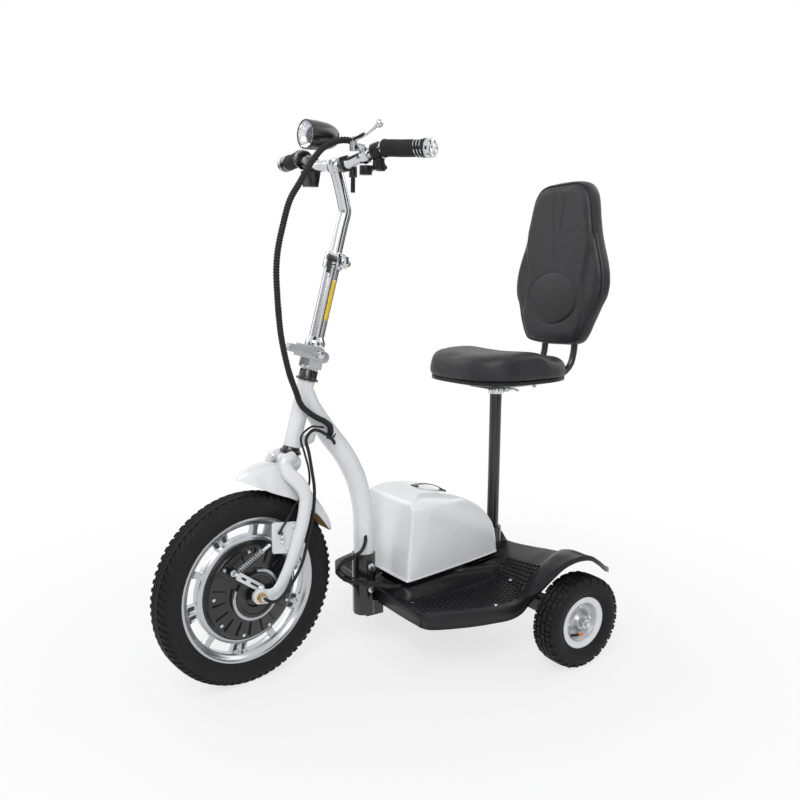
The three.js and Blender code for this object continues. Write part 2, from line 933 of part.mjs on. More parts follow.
// A bar along a curve, with its two half thicknesses given at each of its points
function strand(points, widths, side, sides, steps) {
  const path = curve(points);
  const rings = [];
  for (let i = 0; i <= steps; i++) {
    const place = (i / steps) * (points.length - 1);
    const low = Math.min(Math.floor(place), points.length - 2);
    const share = place - low;
    const [a, b] = [0, 1].map((k) => between(widths[low][k], widths[low + 1][k], share));
    const tangent = path.getTangent(i / steps);
    const over = tangent.clone().cross(side).normalize();
    const flat = over.clone().cross(tangent).normalize();
    const centre = path.getPoint(i / steps);
    rings.push(
      Array.from({ length: sides }, (_, j) => {
        const angle = ((j + 1 / 2) / sides) * 2 * Math.PI;
        return centre
          .clone()
          .addScaledVector(flat, a * Math.cos(angle))
          .addScaledVector(over, b * Math.sin(angle));
      }),
    );
  }
  return loft(rings);
}

const even = (points, radius) => points.map(() => [radius, radius]);

// A round cord along a curve
function cord(points, radius, sides, steps) {
  const section = new THREE.Shape(
    Array.from({ length: sides }, (_, j) => {
      const angle = (j / sides) * 2 * Math.PI;
      return new THREE.Vector2(radius * Math.cos(angle), radius * Math.sin(angle));
    }),
  );
  return solid(
    new THREE.ExtrudeGeometry(section, { steps, extrudePath: curve(points), bevelEnabled: false }),
  );
}

// Finishes
const finish = (colour, roughness, metalness) =>
  new THREE.MeshStandardMaterial({ color: colour, roughness, metalness, flatShading: true });
const finishes = {
  whitePaint: () => finish("#e9ebee", 0.28, 0),
  blackPlastic: () => finish("#17181a", 0.55, 0),
  blackPaint: () => finish("#1b1c1e", 0.4, 0.1),
  rubber: () => finish("#1c1c1d", 0.85, 0),
  polished: () => finish("#c9ccd0", 0.16, 1),
  steel: () => finish("#9a9da1", 0.35, 0.9),
  castGrey: () => finish("#85888c", 0.45, 0.6),
  brass: () => finish("#b08a45", 0.35, 0.9),
  cushion: () => finish("#202123", 0.6, 0),
  lens: () => finish("#dfe6ee", 0.1, 0),
  copper: () => finish("#9c5a35", 0.4, 0.8),
  batteryWrap: () => finish("#2c4a7a", 0.5, 0),
};

// Scene groups
const scooter = new THREE.Group();
scooter.name = "scooter";
const frame = new THREE.Group();
frame.name = "frame";
scooter.add(frame);

const steeringTurn = new THREE.Group();
steeringTurn.name = "steering_turn";
steeringTurn.position.copy(headPivot);
steeringTurn.quaternion.setFromAxisAngle(axisUp, steer);
frame.add(steeringTurn);
const steering = new THREE.Group();
steering.name = "steering";
steering.position.copy(headPivot).negate();
steeringTurn.add(steering);

function group(name, parent, position) {
  const made = new THREE.Group();
  made.name = name;
  made.position.copy(position);
  parent.add(made);
  return made;
}
const frontWheel = group("front_wheel", steering, axle);
const rearLeft = group("rear_wheel_left", frame, at(rearTrackHalf, wheelbase, rearTyreRadius));
const rearRight = group("rear_wheel_right", frame, at(-rearTrackHalf, wheelbase, rearTyreRadius));

function add(name, shape, look, parent) {
  const made = shape.simplify(facetTolerance).getMesh();
  const geometry = new THREE.BufferGeometry();
  const places = new Float32Array(made.numVert * 3);
  for (let i = 0; i < made.numVert; i++)
    places.set(made.vertProperties.subarray(i * made.numProp, i * made.numProp + 3), i * 3);
  geometry.setAttribute("position", new THREE.BufferAttribute(places, 3));
  geometry.setIndex(new THREE.BufferAttribute(made.triVerts, 1));
  const plain = geometry.toNonIndexed();
  plain.computeVertexNormals();
  const mesh = new THREE.Mesh(plain, finishes[look]());
  mesh.name = name;
  parent.add(mesh);
}

// Tyres and rims
function tyre(outer, wall, halfWidth, bead, beadHalfWidth, sides, spans) {
  const stretch = 1 / Math.cos(Math.PI / sides);
  const core = outer - wall;
  const start = Math.acos((bead + wall / 6 - core) / wall);
  const arc = Array.from({ length: spans + 1 }, (_, i) => {
    const angle = between(start, -start, i / spans);
    return [(core + wall * Math.cos(angle)) * stretch, halfWidth * Math.sin(angle)];
  });
  return turnedAcross(
    [[bead + gap, -beadHalfWidth], [bead + gap, beadHalfWidth], ...arc],
    sides,
  );
}

function frontRim() {
  const well = frontRimRadius - frontRimWellDepth;
  const web = frontWebThickness / 2;
  const inside = bore(hubRadius, gap, wheelSides);
  const body = turnedAcross(
    [
      [frontRimRadius, frontRimHalfWidth],
      [frontRimRadius - frontRimWall, frontRimHalfWidth],
      [frontWindowOuterRadius, web],
      [inside, web],
      [inside, -web],
      [frontWindowOuterRadius, -web],
      [frontRimRadius - frontRimWall, -frontRimHalfWidth],
      [frontRimRadius, -frontRimHalfWidth],
      [well, 0],
    ],
    wheelSides,
  );
  const spokes = 5;
  const windows = [];
  for (let i = 0; i < spokes; i++) {
    for (const side of [-1, 1]) {
      const middle = (i * fullTurn) / spokes + (side * frontWindowPairAngle) / 2;
      const spread = [-1, 1].map((k) => (middle + (k * frontWindowAngle) / 2) * degree);
      const arc = (radius, angles) => angles.map((t) => [radius * Math.cos(t), radius * Math.sin(t)]);
      const outline = [
        ...arc(frontWindowInnerRadius, spread),
        ...arc(frontWindowOuterRadius, [...spread].reverse()),
      ];
      windows.push(sidePlate(outline, -frontRimHalfWidth, frontRimHalfWidth));
    }
  }
  return cut(body, ...windows);
}

const hubBore = bore(hubAxleRadius, running, hubSides);
function hubShell() {
  const drumFace = hubHalfWidth + drumWidth;
  const body = turnedAcross(
    [
      [hubBore, drumFace],
      [drumRadius, drumFace],
      [drumRadius, hubHalfWidth + gap],
      [hubFaceRadius, hubHalfWidth],
      [hubShoulderRadius, hubShoulderHalfWidth],
      [hubRadius, hubRimBandHalfWidth],
      [hubRadius, -hubRimBandHalfWidth],
      [hubShoulderRadius, -hubShoulderHalfWidth],
      [hubFaceRadius, -hubHalfWidth],
      [hubBossRadius, -hubBossHalfWidth],
      [hubBore, -hubBossHalfWidth],
      [hubBore, hubWall - hubHalfWidth],
      [hubShoulderRadius - hubWall, hubWall - hubShoulderHalfWidth],
      [hubShoulderRadius - hubWall, hubShoulderHalfWidth - hubWall],
      [hubBore, hubHalfWidth - hubWall],
    ],
    hubSides,
  );
  const ribs = 6;
  const made = [];
  const middle = (hubFaceRadius + hubShoulderRadius) / 2;
  for (let i = 0; i < ribs; i++) {
    const shape = new THREE.BoxGeometry(
      hubRibHeight,
      hubRibThickness,
      hubShoulderRadius - hubFaceRadius - hubRibHeight,
    );
    shape.translate(hubHalfWidth - hubRibHeight / 2, 0, middle).rotateX((i / ribs) * 2 * Math.PI);
    made.push(solid(shape));
  }
  return join(body, ...made);
}

function stator() {
  const inner = bore(hubAxleRadius, gap, tubeSides);
  const body = turnedAcross(ring(inner, statorRadius, -statorHalfWidth, statorHalfWidth), hubSides);
  const teeth = 6;
  const slots = [];
  for (let i = 0; i < teeth; i++) {
    const shape = new THREE.BoxGeometry(statorHalfWidth * 3, statorSlotWidth, statorSlotDepth);
    shape.translate(0, 0, statorRadius - statorSlotDepth / 2 + gap).rotateX(((i + 1 / 2) / teeth) * 2 * Math.PI);
    slots.push(solid(shape));
  }
  return cut(body, ...slots);
}

add(
  "front_tyre",
  tyre(frontTyreRadius, frontTyreSection, frontTyreSection, frontRimRadius, frontBeadHalfWidth, wheelSides, 6),
  "rubber",
  frontWheel,
);
add("front_rim", frontRim(), "polished", frontWheel);
add("hub_motor_shell", hubShell(), "blackPaint", frontWheel);
add("motor_stator", stator(), "copper", frontWheel);

const dropoutInner = forkLegX - (forkLegHalfThickness * 5) / 11;
const dropoutOuter = forkLegX + (forkLegHalfThickness * 5) / 11;
const axleShoulder = dropoutInner - gap;
add(
  "hub_axle",
  join(
    rod(hubAxleRadius, at(-axleShoulder, 0, 0), at(axleShoulder, 0, 0)),
    rod(hubAxleEndRadius, at(-hubAxleHalfLength, 0, 0), at(hubAxleHalfLength, 0, 0)),
    rod(
      axleNutRadius,
      at(-dropoutOuter - gap - axleNutWidth, 0, 0),
      at(-dropoutOuter - gap, 0, 0),
      6,
    ),
  ),
  "steel",
  frontWheel,
);
const axleNut = turnedAcross(
  ring(
    bore(hubAxleEndRadius, gap / 2, smallSides),
    axleNutRadius,
    dropoutOuter + gap,
    dropoutOuter + gap + axleNutWidth,
  ),
  6,
);
const roundHole = rod(
  bore(hubAxleEndRadius, gap / 2, tubeSides),
  at(dropoutOuter - overrun, 0, 0),
  at(hubAxleHalfLength + overrun, 0, 0),
);
add("axle_nut_left", cut(axleNut, roundHole), "brass", frontWheel);

// Fork
const forkLegPoints = forkLegShares.map(([y, z]) => at(forkLegX, forkReach * y, axleZ + forkRise * z));
const forkLegWidths = forkLegShares.map(([, , x, y]) => [forkLegHalfThickness * x, forkLegHalfDepth * y]);
const legShape = strand(forkLegPoints, forkLegWidths, sideways, finePipeSides, 7);
const axleHole = (radius) => rod(radius, at(-hubAxleHalfLength * 2, 0, axleZ), at(hubAxleHalfLength * 2, 0, axleZ));

const armPivot = at(0, brakeArmPivotY, axleZ + brakeArmPivotRise);
const armEnd = at(0, brakeArmEndY, axleZ + brakeArmEndRise);
const brakeLine = at(0, adjusterLength, adjusterLength / 2).normalize();
const lineFrom = at(brakeLineX, brakeArmEndY, axleZ + brakeArmEndRise);
const alongLine = (distance) => lineFrom.clone().addScaledVector(brakeLine, distance);
const springStart = pinchBoltRadius + springEndClearance;
const springEnd = springStart + springLength;
const adjusterStart = springEnd + gap;
const adjusterEnd = adjusterStart + adjusterLength;
const lugStart = adjusterStart + adjusterNutLength + gap;

const crownUnder = onAxis(-crownTop - crownHeight / 2, -crownFront / 2, fenderBoltX);
const fenderBoltEnd = onAxis(-crownTop - crownHeight - fenderBoltHead * 3, -crownFront / 2, fenderBoltX);
const fenderBoltBody = join(
  rod(fenderBoltRadius, crownUnder, fenderBoltEnd, finePipeSides),
  rod(
    fenderBoltHead,
    fenderBoltEnd.clone().addScaledVector(axisUp, -fenderBoltHeadHeight),
    fenderBoltEnd,
    finePipeSides,
  ),
);
function fork() {
  const crownBottom = crownTop + crownHeight;
  const crown = axisBlock(
    at(crownHalfWidth * 2, crownFront + crownRear, crownHeight),
    0,
    (crownRear - crownFront) / 2,
    -(crownTop + crownBottom) / 2,
  );
  const boss = turnedOnAxis(
    [
      [0, -crownBottom],
      [crownBossRadius, -crownBottom],
      [crownBossRadius, -crownTop],
      [0, -crownTop],
    ],
    tubeSides,
  );
  const steerer = rod(steererRadius, onAxis(-crownBottom + gap), onAxis(foldBaseBottom - gap));
  const tab = sidePlate(
    [
      [brakeTabFrontY, axleZ + brakeTabLowRise + brakeTabSlotInset],
      [brakeTabBackY - brakeTabSlotInset, axleZ + brakeTabLowRise],
      [brakeTabBackY, axleZ + brakeTabHighRise],
      [brakeTabFrontY, axleZ + brakeTabHighRise + brakeTabSlotWidth],
    ],
    brakeTabX - brakeTabThickness / 2,
    brakeTabX + brakeTabThickness / 2,
  );
  const slotLow = axleZ + brakeTabLowRise + brakeTabSlotInset * 2;
  const slotHigh = axleZ + brakeTabHighRise - brakeTabSlotInset;
  const slotY = brakeTabFrontY + brakeTabSlotInset + brakeTabSlotWidth;
  const slot = block(
    at(overrun * 2, brakeTabSlotWidth, slotHigh - slotLow),
    at(brakeTabX, slotY, (slotHigh + slotLow) / 2),
  );
  const lugFrom = alongLine(lugStart);
  const lugTo = alongLine(lugStart + brakeLugLength);
  const lug = rod(brakeLugRadius, lugFrom, lugTo, finePipeSides);
  const arm = block(
    at(brakeTabThickness, brakeTabFrontY + overrun - lugFrom.y, brakeLugRadius * 2),
    at(brakeTabX, (brakeTabFrontY + overrun + lugFrom.y) / 2 + brakeLugRadius / 2, (lugFrom.z + lugTo.z) / 2),
  );
  const lugHole = rod(brakeWireRadius + gap, alongLine(springEnd), alongLine(adjusterEnd + overrun), smallSides);
  const adjuster = join(
    rod(adjusterRadius, alongLine(adjusterStart), alongLine(adjusterEnd), finePipeSides),
    rod(adjusterNutRadius, alongLine(adjusterStart), alongLine(adjusterStart + adjusterNutLength), 6),
  );
  const pin = rod(
    brakePinRadius,
    armPivot.clone().setX(hubHalfWidth + drumWidth + gap),
    armPivot.clone().setX(forkLegX),
    smallSides,
  );
  const body = join(crown, boss, steerer, legShape, mirrored(legShape), tab, lug, arm, adjuster, fenderBoltBody);
  return join(cut(body, slot, lugHole, axleHole(bore(hubAxleEndRadius, gap, tubeSides))), pin);
}
add("fork", fork(), "whitePaint", steering);

// Brake band, arm, spring and adjuster
function brakeBand() {
  const inner = drumRadius + slack;
  const start = bandOpeningCentre + bandOpeningAngle / 2;
  const turn = fullTurn - bandOpeningAngle;
  const steps = 20;
  const arc = (radius) =>
    Array.from({ length: steps + 1 }, (_, i) => {
      const angle = (start + (turn * i) / steps) * degree;
      return [radius * Math.cos(angle), axleZ + radius * Math.sin(angle)];
    });
  const middle = hubHalfWidth + drumWidth / 2;
  return sidePlate(
    [...arc(inner), ...arc(inner + bandThickness).reverse()],
    middle - bandWidth / 2,
    middle + bandWidth / 2,
  );
}
add("brake_band", brakeBand(), "castGrey", steering);

const armLow = hubHalfWidth + drumWidth + gap;
function brakeArm() {
  const along = armEnd.clone().sub(armPivot).normalize();
  const square = at(0, -along.z, along.y);
  const corner = (end, side) => {
    const point = end.clone().addScaledVector(square, side * brakeArmHalfWidth);
    return [point.y, point.z];
  };
  const plate = sidePlate(
    [corner(armPivot, -1), corner(armPivot, 1), corner(armEnd, 1 - gap), corner(armEnd, gap - 1)],
    armLow,
    armLow + brakeArmThickness,
  );
  const disc = (point, radius) =>
    rod(radius, point.clone().setX(armLow), point.clone().setX(armLow + brakeArmThickness), tubeSides);
  const bolt = rod(
    pinchBoltRadius,
    armEnd.clone().setX(armLow),
    armEnd.clone().setX(armLow + pinchBoltLength),
    smallSides,
  );
  const hole = rod(
    bore(brakePinRadius, running, tubeSides),
    armPivot.clone().setX(armLow - overrun),
    armPivot.clone().setX(armLow + overrun),
  );
  const wireHole = rod(brakeWireRadius + gap, alongLine(-springStart), alongLine(springStart), smallSides);
  return cut(
    join(plate, disc(armPivot, brakeArmHalfWidth), disc(armEnd, brakeArmHalfWidth), bolt),
    hole,
    wireHole,
  );
}
add("brake_arm", brakeArm(), "steel", steering);

// One unbroken wire: straight end, curls, straight end
function brakeSpring() {
  const sides = 5;
  const stepsPerTurn = 8;
  const steps = springTurns * stepsPerTurn;
  const across = at(1, 0, 0);
  const over = brakeLine.clone().cross(across).normalize();
  const coil = springLength - springWireRadius * 2;
  const place = (turn) => {
    const angle = turn * 2 * Math.PI;
    return alongLine(springStart + springWireRadius + (coil * turn) / springTurns)
      .addScaledVector(across, springRadius * Math.cos(angle))
      .addScaledVector(over, springRadius * Math.sin(angle));
  };
  const heading = (turn) => {
    const angle = turn * 2 * Math.PI;
    return across
      .clone()
      .multiplyScalar(-Math.sin(angle) * springRadius * 2 * Math.PI)
      .addScaledVector(over, Math.cos(angle) * springRadius * 2 * Math.PI)
      .addScaledVector(brakeLine, coil / springTurns)
      .normalize();
  };
  const stations = [];
  stations.push([place(0).addScaledVector(heading(0), -springWireRadius * 2), heading(0), 0]);
  for (let i = 0; i <= steps; i++) stations.push([place(i / stepsPerTurn), heading(i / stepsPerTurn), i / stepsPerTurn]);
  stations.push([
    place(springTurns).addScaledVector(heading(springTurns), springWireRadius * 2),
    heading(springTurns),
    springTurns,
  ]);
  const rings = stations.map(([centre, tangent, turn]) => {
    const angle = turn * 2 * Math.PI;
    const outward = across.clone().multiplyScalar(Math.cos(angle)).addScaledVector(over, Math.sin(angle));
    const beside = tangent.clone().cross(outward).normalize();
    return Array.from({ length: sides }, (_, j) => {
      const t = (j / sides) * 2 * Math.PI;
      return centre
        .clone()
        .addScaledVector(outward, springWireRadius * Math.cos(t))
        .addScaledVector(beside, springWireRadius * Math.sin(t));
    });
  });
  let least = Infinity;
  rings.forEach((loop, i) => {
    rings.slice(i + stepsPerTurn - 2).forEach((other) => {
      loop.forEach((a) => other.forEach((b) => (least = Math.min(least, a.distanceTo(b)))));
    });
  });
  console.log("least gap between the brake spring's curls: " + least.toFixed(2) + " mm");
  return loft(rings);
}
add("brake_spring", brakeSpring(), "steel", steering);

// Front fender
function frontFender() {
  const rows = [];
  const columns = 6;
  const fineRows = fenderShares.length - 1;
  const path = (k) => fenderShares.map((row) => row[k]);
  const value = (values, share) => {
    const place = share * (values.length - 1);
    const i = Math.min(Math.floor(place), values.length - 2);
    const t = place - i;
    const p = [values[Math.max(i - 1, 0)], values[i], values[i + 1], values[Math.min(i + 2, values.length - 1)]];
    const [a, b, c] = [p[2] - p[0], p[0] * 2 - p[1] * 5 + p[2] * 4 - p[3], p[1] * 3 - p[0] - p[2] * 3 + p[3]];
    return p[1] + ((a + (b + c * t) * t) * t) / 2;
  };
  for (let i = 0; i <= fineRows; i++) {
    const share = i / fineRows;
    const angle = value(path(0), share) * rightAngle * degree;
    const middle = frontTyreRadius + fenderRise * value(path(1), share);
    const edge = frontTyreRadius + fenderRise * value(path(2), share);
    const half = Math.max(fenderHalfWidth * value(path(3), share), fenderThickness);
    rows.push(
      Array.from({ length: columns + 1 }, (_, j) => {
        const t = (j / columns) * 2 - 1;
        const radius = between(middle, edge, Math.abs(t) ** 3);
        return at(half * t, radius * Math.cos(angle), axleZ + radius * Math.sin(angle));
      }),
    );
  }
  return skin(rows, fenderThickness);
}
add(
  "front_fender",
  cut(
    frontFender(),
    axisBlock(
      at(crownHalfWidth * 2, (crownFront + crownRear) * 2, crownHeight + gap * 2),
      0,
      0,
      -crownTop - crownHeight / 2,
    ),
    rod(fenderBoltRadius + gap, onAxis(-crownTop, -crownFront / 2, fenderBoltX), fenderBoltEnd, finePipeSides),
  ),
  "whitePaint",
  steering,
);

// Headset
function topNut() {
  const low = headTubeHalfLength + gap;
  const high = low + topNutHeight;
  const body = turnedOnAxis(ring(bore(steererRadius, gap, tubeSides), topNutRadius, low, high), tubeSides);
  const flange = turnedOnAxis(
    ring(bore(steererRadius, gap, tubeSides), topNutEarReach, low, low + topNutEarHeight),
    tubeSides,
  );
  const notches = [];
  const count = 2;
  for (let i = 0; i < count; i++) {
    const shape = new THREE.BoxGeometry(topNutNotchWidth, topNutRadius * 3, topNutNotchDepth * 2);
    shape.rotateZ((i / count) * Math.PI).translate(0, 0, high).rotateX(-rake);
    notches.push(solid(shape.translate(headPivot.x, headPivot.y, headPivot.z)));
  }
  return cut(join(body, flange), ...notches);
}
add("headset_nut", topNut(), "blackPaint", steering);

const loopCable = cord(list(loopRoute), loopCableRadius, cordSides, 13);
const loopClearance = cord(list(loopRoute), loopCableRadius + gap, cordSides, 13);

// Neck
const neckY = headPivotY + neckReach;
const neckPoints = neckShares.map(([y, z]) =>
  at(0, headPivotY + neckReach * y, neckBottomZ + (headPivotZ - neckBottomZ) * z),
);
function neck() {
  const outer = strand(
    neckPoints,
    neckShares.map((row) => [neckRadius * row[2], neckRadius * row[2]]),
    sideways,
    tubeSides,
    10,
  );
  const hollowPoints = [...neckPoints.slice(4), at(0, neckY, neckBottomZ - overrun)];
  const inner = strand(hollowPoints, even(hollowPoints, neckRadius - neckWall), sideways, tubeSides, 6);
  const head = rod(headTubeRadius, onAxis(-headTubeHalfLength), onAxis(headTubeHalfLength));
  const headBore = rod(
    bore(headBoreRadius, 0, tubeSides),
    onAxis(-headTubeHalfLength - lowerCupHeight - overrun),
    onAxis(headTubeHalfLength + overrun),
  );
  const cup = rod(lowerCupRadius, onAxis(-headTubeHalfLength - lowerCupHeight), onAxis(gap - headTubeHalfLength));
  const gusset = axisBlock(
    at(gussetHalfWidth * 2, gussetLength * 2, gussetHeight),
    0,
    gussetLength,
    -gussetDrop,
  );
  const upperTrim = rod(headTubeRadius * 3, onAxis(headTubeHalfLength), onAxis(headTubeHalfLength * 2));
  const entry = list(bundleFrameRoute);
  const mouth = entry.slice(3);
  const last = mouth[mouth.length - 1];
  mouth.push(last.clone().multiplyScalar(2).sub(mouth[mouth.length - 2]));
  const entryHole = strand(mouth, even(mouth, cableHoleRadius), upright, finePipeSides, 8);
  const motorHole = cord(list(motorFrameRoute.slice(0, 3)), motorCableRadius + gap * 5, cordSides, 3);
  const bolts = [neckBoltUpperZ, neckBoltLowerZ].map((z) =>
    rod(neckBoltRadius + gap, at(-neckRadius * 2, neckY, z), at(neckRadius * 2, neckY, z), smallSides),
  );
  return cut(join(outer, head, cup, gusset), upperTrim, inner, headBore, entryHole, motorHole, loopClearance, ...bolts);
}
add("neck_tube", neck(), "whitePaint", frame);

const postBoreRadius = bore(postOuterRadius, gap, tubeSides);
const railBottomZ = railTopZ - railHeight;
function chassis() {
  const railFront = crossFrontY - crossFrontDepth / 2;
  const rails = [-1, 1].map((side) =>
    block(
      at(railWidth, railRearY - railFront, railHeight),
      at(side * railX, (railRearY + railFront) / 2, railTopZ - railHeight / 2),
    ),
  );
  const cross = (y, depth) =>
    block(at(railX * 2, depth, railHeight), at(0, y, railTopZ - railHeight / 2));
  const beam = block(at(beamHalfLength * 2, beamDepth, beamHeight), rearAxle);
  const socketOuter = neckRadius + gap + socketWall;
  const socket = rod(socketOuter, at(0, neckY, socketBottomZ), at(0, neckY, socketTopZ));
  const socketBore = rod(
    bore(neckRadius, gap, tubeSides),
    at(0, neckY, neckBottomZ - gap),
    at(0, neckY, socketTopZ + overrun),
  );
  const slot = block(
    at(socketSlotWidth, socketOuter, socketTopZ - deckTopZ),
    at(0, neckY - socketOuter, (socketTopZ + deckTopZ) / 2 + overrun),
  );
  const plate = block(
    at(socketPlateHalfWidth * 2, crossFrontY - neckY, railHeight * 2),
    at(0, (crossFrontY + neckY) / 2, railTopZ - railHeight),
  );
  const bolts = [neckBoltUpperZ, neckBoltLowerZ].map((z) =>
    rod(neckBoltRadius + gap, at(-socketOuter * 2, neckY, z), at(socketOuter * 2, neckY, z), smallSides),
  );
  const postSocket = rod(postSocketRadius, at(0, postY, railBottomZ), at(0, postY, postSocketTopZ));
  const postBore = rod(
    postBoreRadius,
    at(0, postY, postOuterBottomZ - overrun * 2),
    at(0, postY, postSocketTopZ + overrun),
  );
  const postCross = block(
    at(railX * 2, postSocketRadius * 2, railHeight),
    at(0, postY, railTopZ - railHeight / 2),
  );
  const fin = sidePlate(
    [
      [postY, railBottomZ],
      [postY + postFinReach, railBottomZ + postFinHalfThickness],
      [postY + postFinReach, postFinTipZ],
      [postY + postSocketRadius + overrun, postFinTopZ],
      [postY, postFinTopZ],
    ],
    -postFinHalfThickness,
    postFinHalfThickness,
  );
  const axleBore = rod(
    bore(rearAxleRadius, gap, tubeSides),
    at(-beamHalfLength - overrun, rearAxle.y, rearAxle.z),
    at(beamHalfLength + overrun, rearAxle.y, rearAxle.z),
  );
  return cut(
    join(
      ...rails,
      cross(crossFrontY, crossFrontDepth),
      cross(railRearY - crossRearDepth / 2, crossRearDepth),
      beam,
      socket,
      plate,
      postSocket,
      postCross,
      fin,
    ),
    socketBore,
    slot,
    postBore,
    axleBore,
    ...bolts,
  );
}
add("chassis_frame", chassis(), "blackPaint", frame);

const neckBolts = [neckBoltUpperZ, neckBoltLowerZ].map((z) =>
  join(
    rod(neckBoltRadius, at(-neckBoltReach - gap, neckY, z), at(neckBoltReach, neckY, z), smallSides),
    rod(neckBoltHeadRadius, at(neckBoltReach, neckY, z), at(neckBoltReach + neckBoltHeadHeight, neckY, z), 6),
  ),
);
const nutPlate = block(
  at(neckBoltHeadHeight, neckBoltHeadRadius * 2, neckBoltUpperZ - neckBoltLowerZ + neckBoltHeadRadius * 2),
  at(-neckBoltReach - neckBoltHeadHeight / 2, neckY, (neckBoltUpperZ + neckBoltLowerZ) / 2),
);
add("neck_bolts", join(...neckBolts, nutPlate), "steel", frame);

// Deck
const deckPlace = ([x, y, z]) =>
  at(deckHalfWidth * x, deckFrontY + deckLength * y, deckTopZ + fenderHumpHeight * z);
function spline(points, perSpan) {
  const path = curve(points);
  return Array.from({ length: (points.length - 1) * perSpan + 1 }, (_, i) =>
    path.getPoint(i / ((points.length - 1) * perSpan)),
  );
}
const deckNet = (() => {
  const key = deckShares.map((row) => row.map(deckPlace));
  const columns = key[0].map((_, j) => spline(key.map((row) => row[j]), 1));
  return columns[0].map((_, i) => {
    const half = spline(columns.map((column) => column[i]), 1);
    const other = half.slice(1).map((point) => point.clone().setX(-point.x)).reverse();
    return [...other, ...half];
  });
})();
const skirtDepthAt = (i) => {
  const place = (i / (deckNet.length - 1)) * (deckSkirtShares.length - 1);
  const low = Math.min(Math.floor(place), deckSkirtShares.length - 2);
  const share = between(deckSkirtShares[low], deckSkirtShares[low + 1], place - low);
  return between(fenderLipDepth, deckSkirtDepth, share);
};
function deck() {
  const net = deckNet.map((row, i) => {
    const low = (point, side) =>
      at(point.x + side * deckRimStep, point.y, point.z - skirtDepthAt(i));
    return [low(row[0], -1), ...row, low(row[row.length - 1], 1)];
  });
  const sheet = skin(net, deckThickness);
  const edgeOf = (row) => [
    row.map((point) => point.clone().add(at(0, 0, -deckThickness / 2))),
    row.map((point) => point.clone().add(at(0, 0, -deckSkirtDepth))),
  ];
  const inwards = (rows, y) => rows.map((row) => row.map((point) => point.clone().add(at(0, y, 0))));
  const frontEdge = edgeOf(deckNet[0]);
  const frontWall = netSolid(frontEdge, inwards(frontEdge, deckThickness));
  const neckNotch = rod(
    bore(neckNotchRadius, 0, tubeSides),
    at(0, neckY, deckTopZ - deckSkirtDepth * 2),
    at(0, neckY, deckTopZ + deckSkirtDepth),
  );
  const postHole = rod(
    postSocketRadius + slack,
    at(0, postY, deckTopZ - deckSkirtDepth),
    at(0, postY, deckTopZ + fenderHumpHeight),
  );
  const finSlot = block(
    at((postFinHalfThickness + slack) * 2, deckLength, fenderHumpHeight),
    at(0, postY + deckLength / 2, deckTopZ + fenderHumpHeight / 4),
  );
  const pads = [-1, 1].map((side) => {
    const outline = footPadShares.map(([x, y]) => [side * deckHalfWidth * x, deckFrontY + deckLength * y]);
    return planPrism(side < 0 ? outline.reverse() : outline, deckTopZ - deckThickness / 2, deckTopZ + footPadHeight);
  });
  return cut(join(sheet, frontWall, ...pads), neckNotch, postHole, finSlot);
}
add("deck_cover", deck(), "blackPlastic", frame);
// Everything within a clearance of the deck's upper face, to seat pieces on it
const underDeck = netSolid(
  deckNet.map((row) => row.map((point) => point.clone().add(at(0, 0, gap)))),
  deckNet.map((row) => row.map((point) => point.clone().add(at(0, 0, -deckSkirtDepth * 2)))),
);

// Battery box
const seamAt = (y) => boxSeamZ + (boxSeamRise * (y - boxFrontY)) / boxLength;
function skirtRing(shares, halfWidth, frontY, length, z, wall) {
  const half = shares.map(([x, y]) => {
    const insetY = wall * (1 - y * 2);
    const place = frontY + length * y + insetY;
    return at(Math.max(halfWidth * x - (x > 0 ? wall : 0), 0), place, z(place));
  });
  const other = half.slice(1, -1).map((point) => point.clone().setX(-point.x)).reverse();
  return [...half, ...other];
}
function batteryBase() {
  const low = (y) => deckTopZ - overrun;
  const high = (y) => seamAt(y) - gap;
  const outer = loft([
    skirtRing(skirtLowShares, skirtHalfWidth, skirtFrontY, skirtLength, low, 0),
    skirtRing(skirtTopShares, boxHalfWidth, boxFrontY, boxLength, high, 0),
  ]);
  const inner = loft([
    skirtRing(skirtLowShares, skirtHalfWidth, skirtFrontY, skirtLength, () => packBottomZ - gap, skirtWall * 2),
    skirtRing(skirtTopShares, boxHalfWidth, boxFrontY, boxLength, (y) => seamAt(y) + overrun, skirtWall),
  ]);
  const floorEndY = skirtFrontY + skirtLength - skirtWall * 4;
  const floorOpening = block(
    at(trayOpeningHalfWidth * 2, trayOpeningLength, (packBottomZ - deckTopZ) * 2),
    at(0, floorEndY - trayOpeningLength / 2, deckTopZ),
  );
  const hollow = cut(outer, inner, underDeck, loopClearance, floorOpening);
  return largest(hollow.simplify(facetTolerance));
}
add("battery_base", batteryBase(), "blackPlastic", frame);

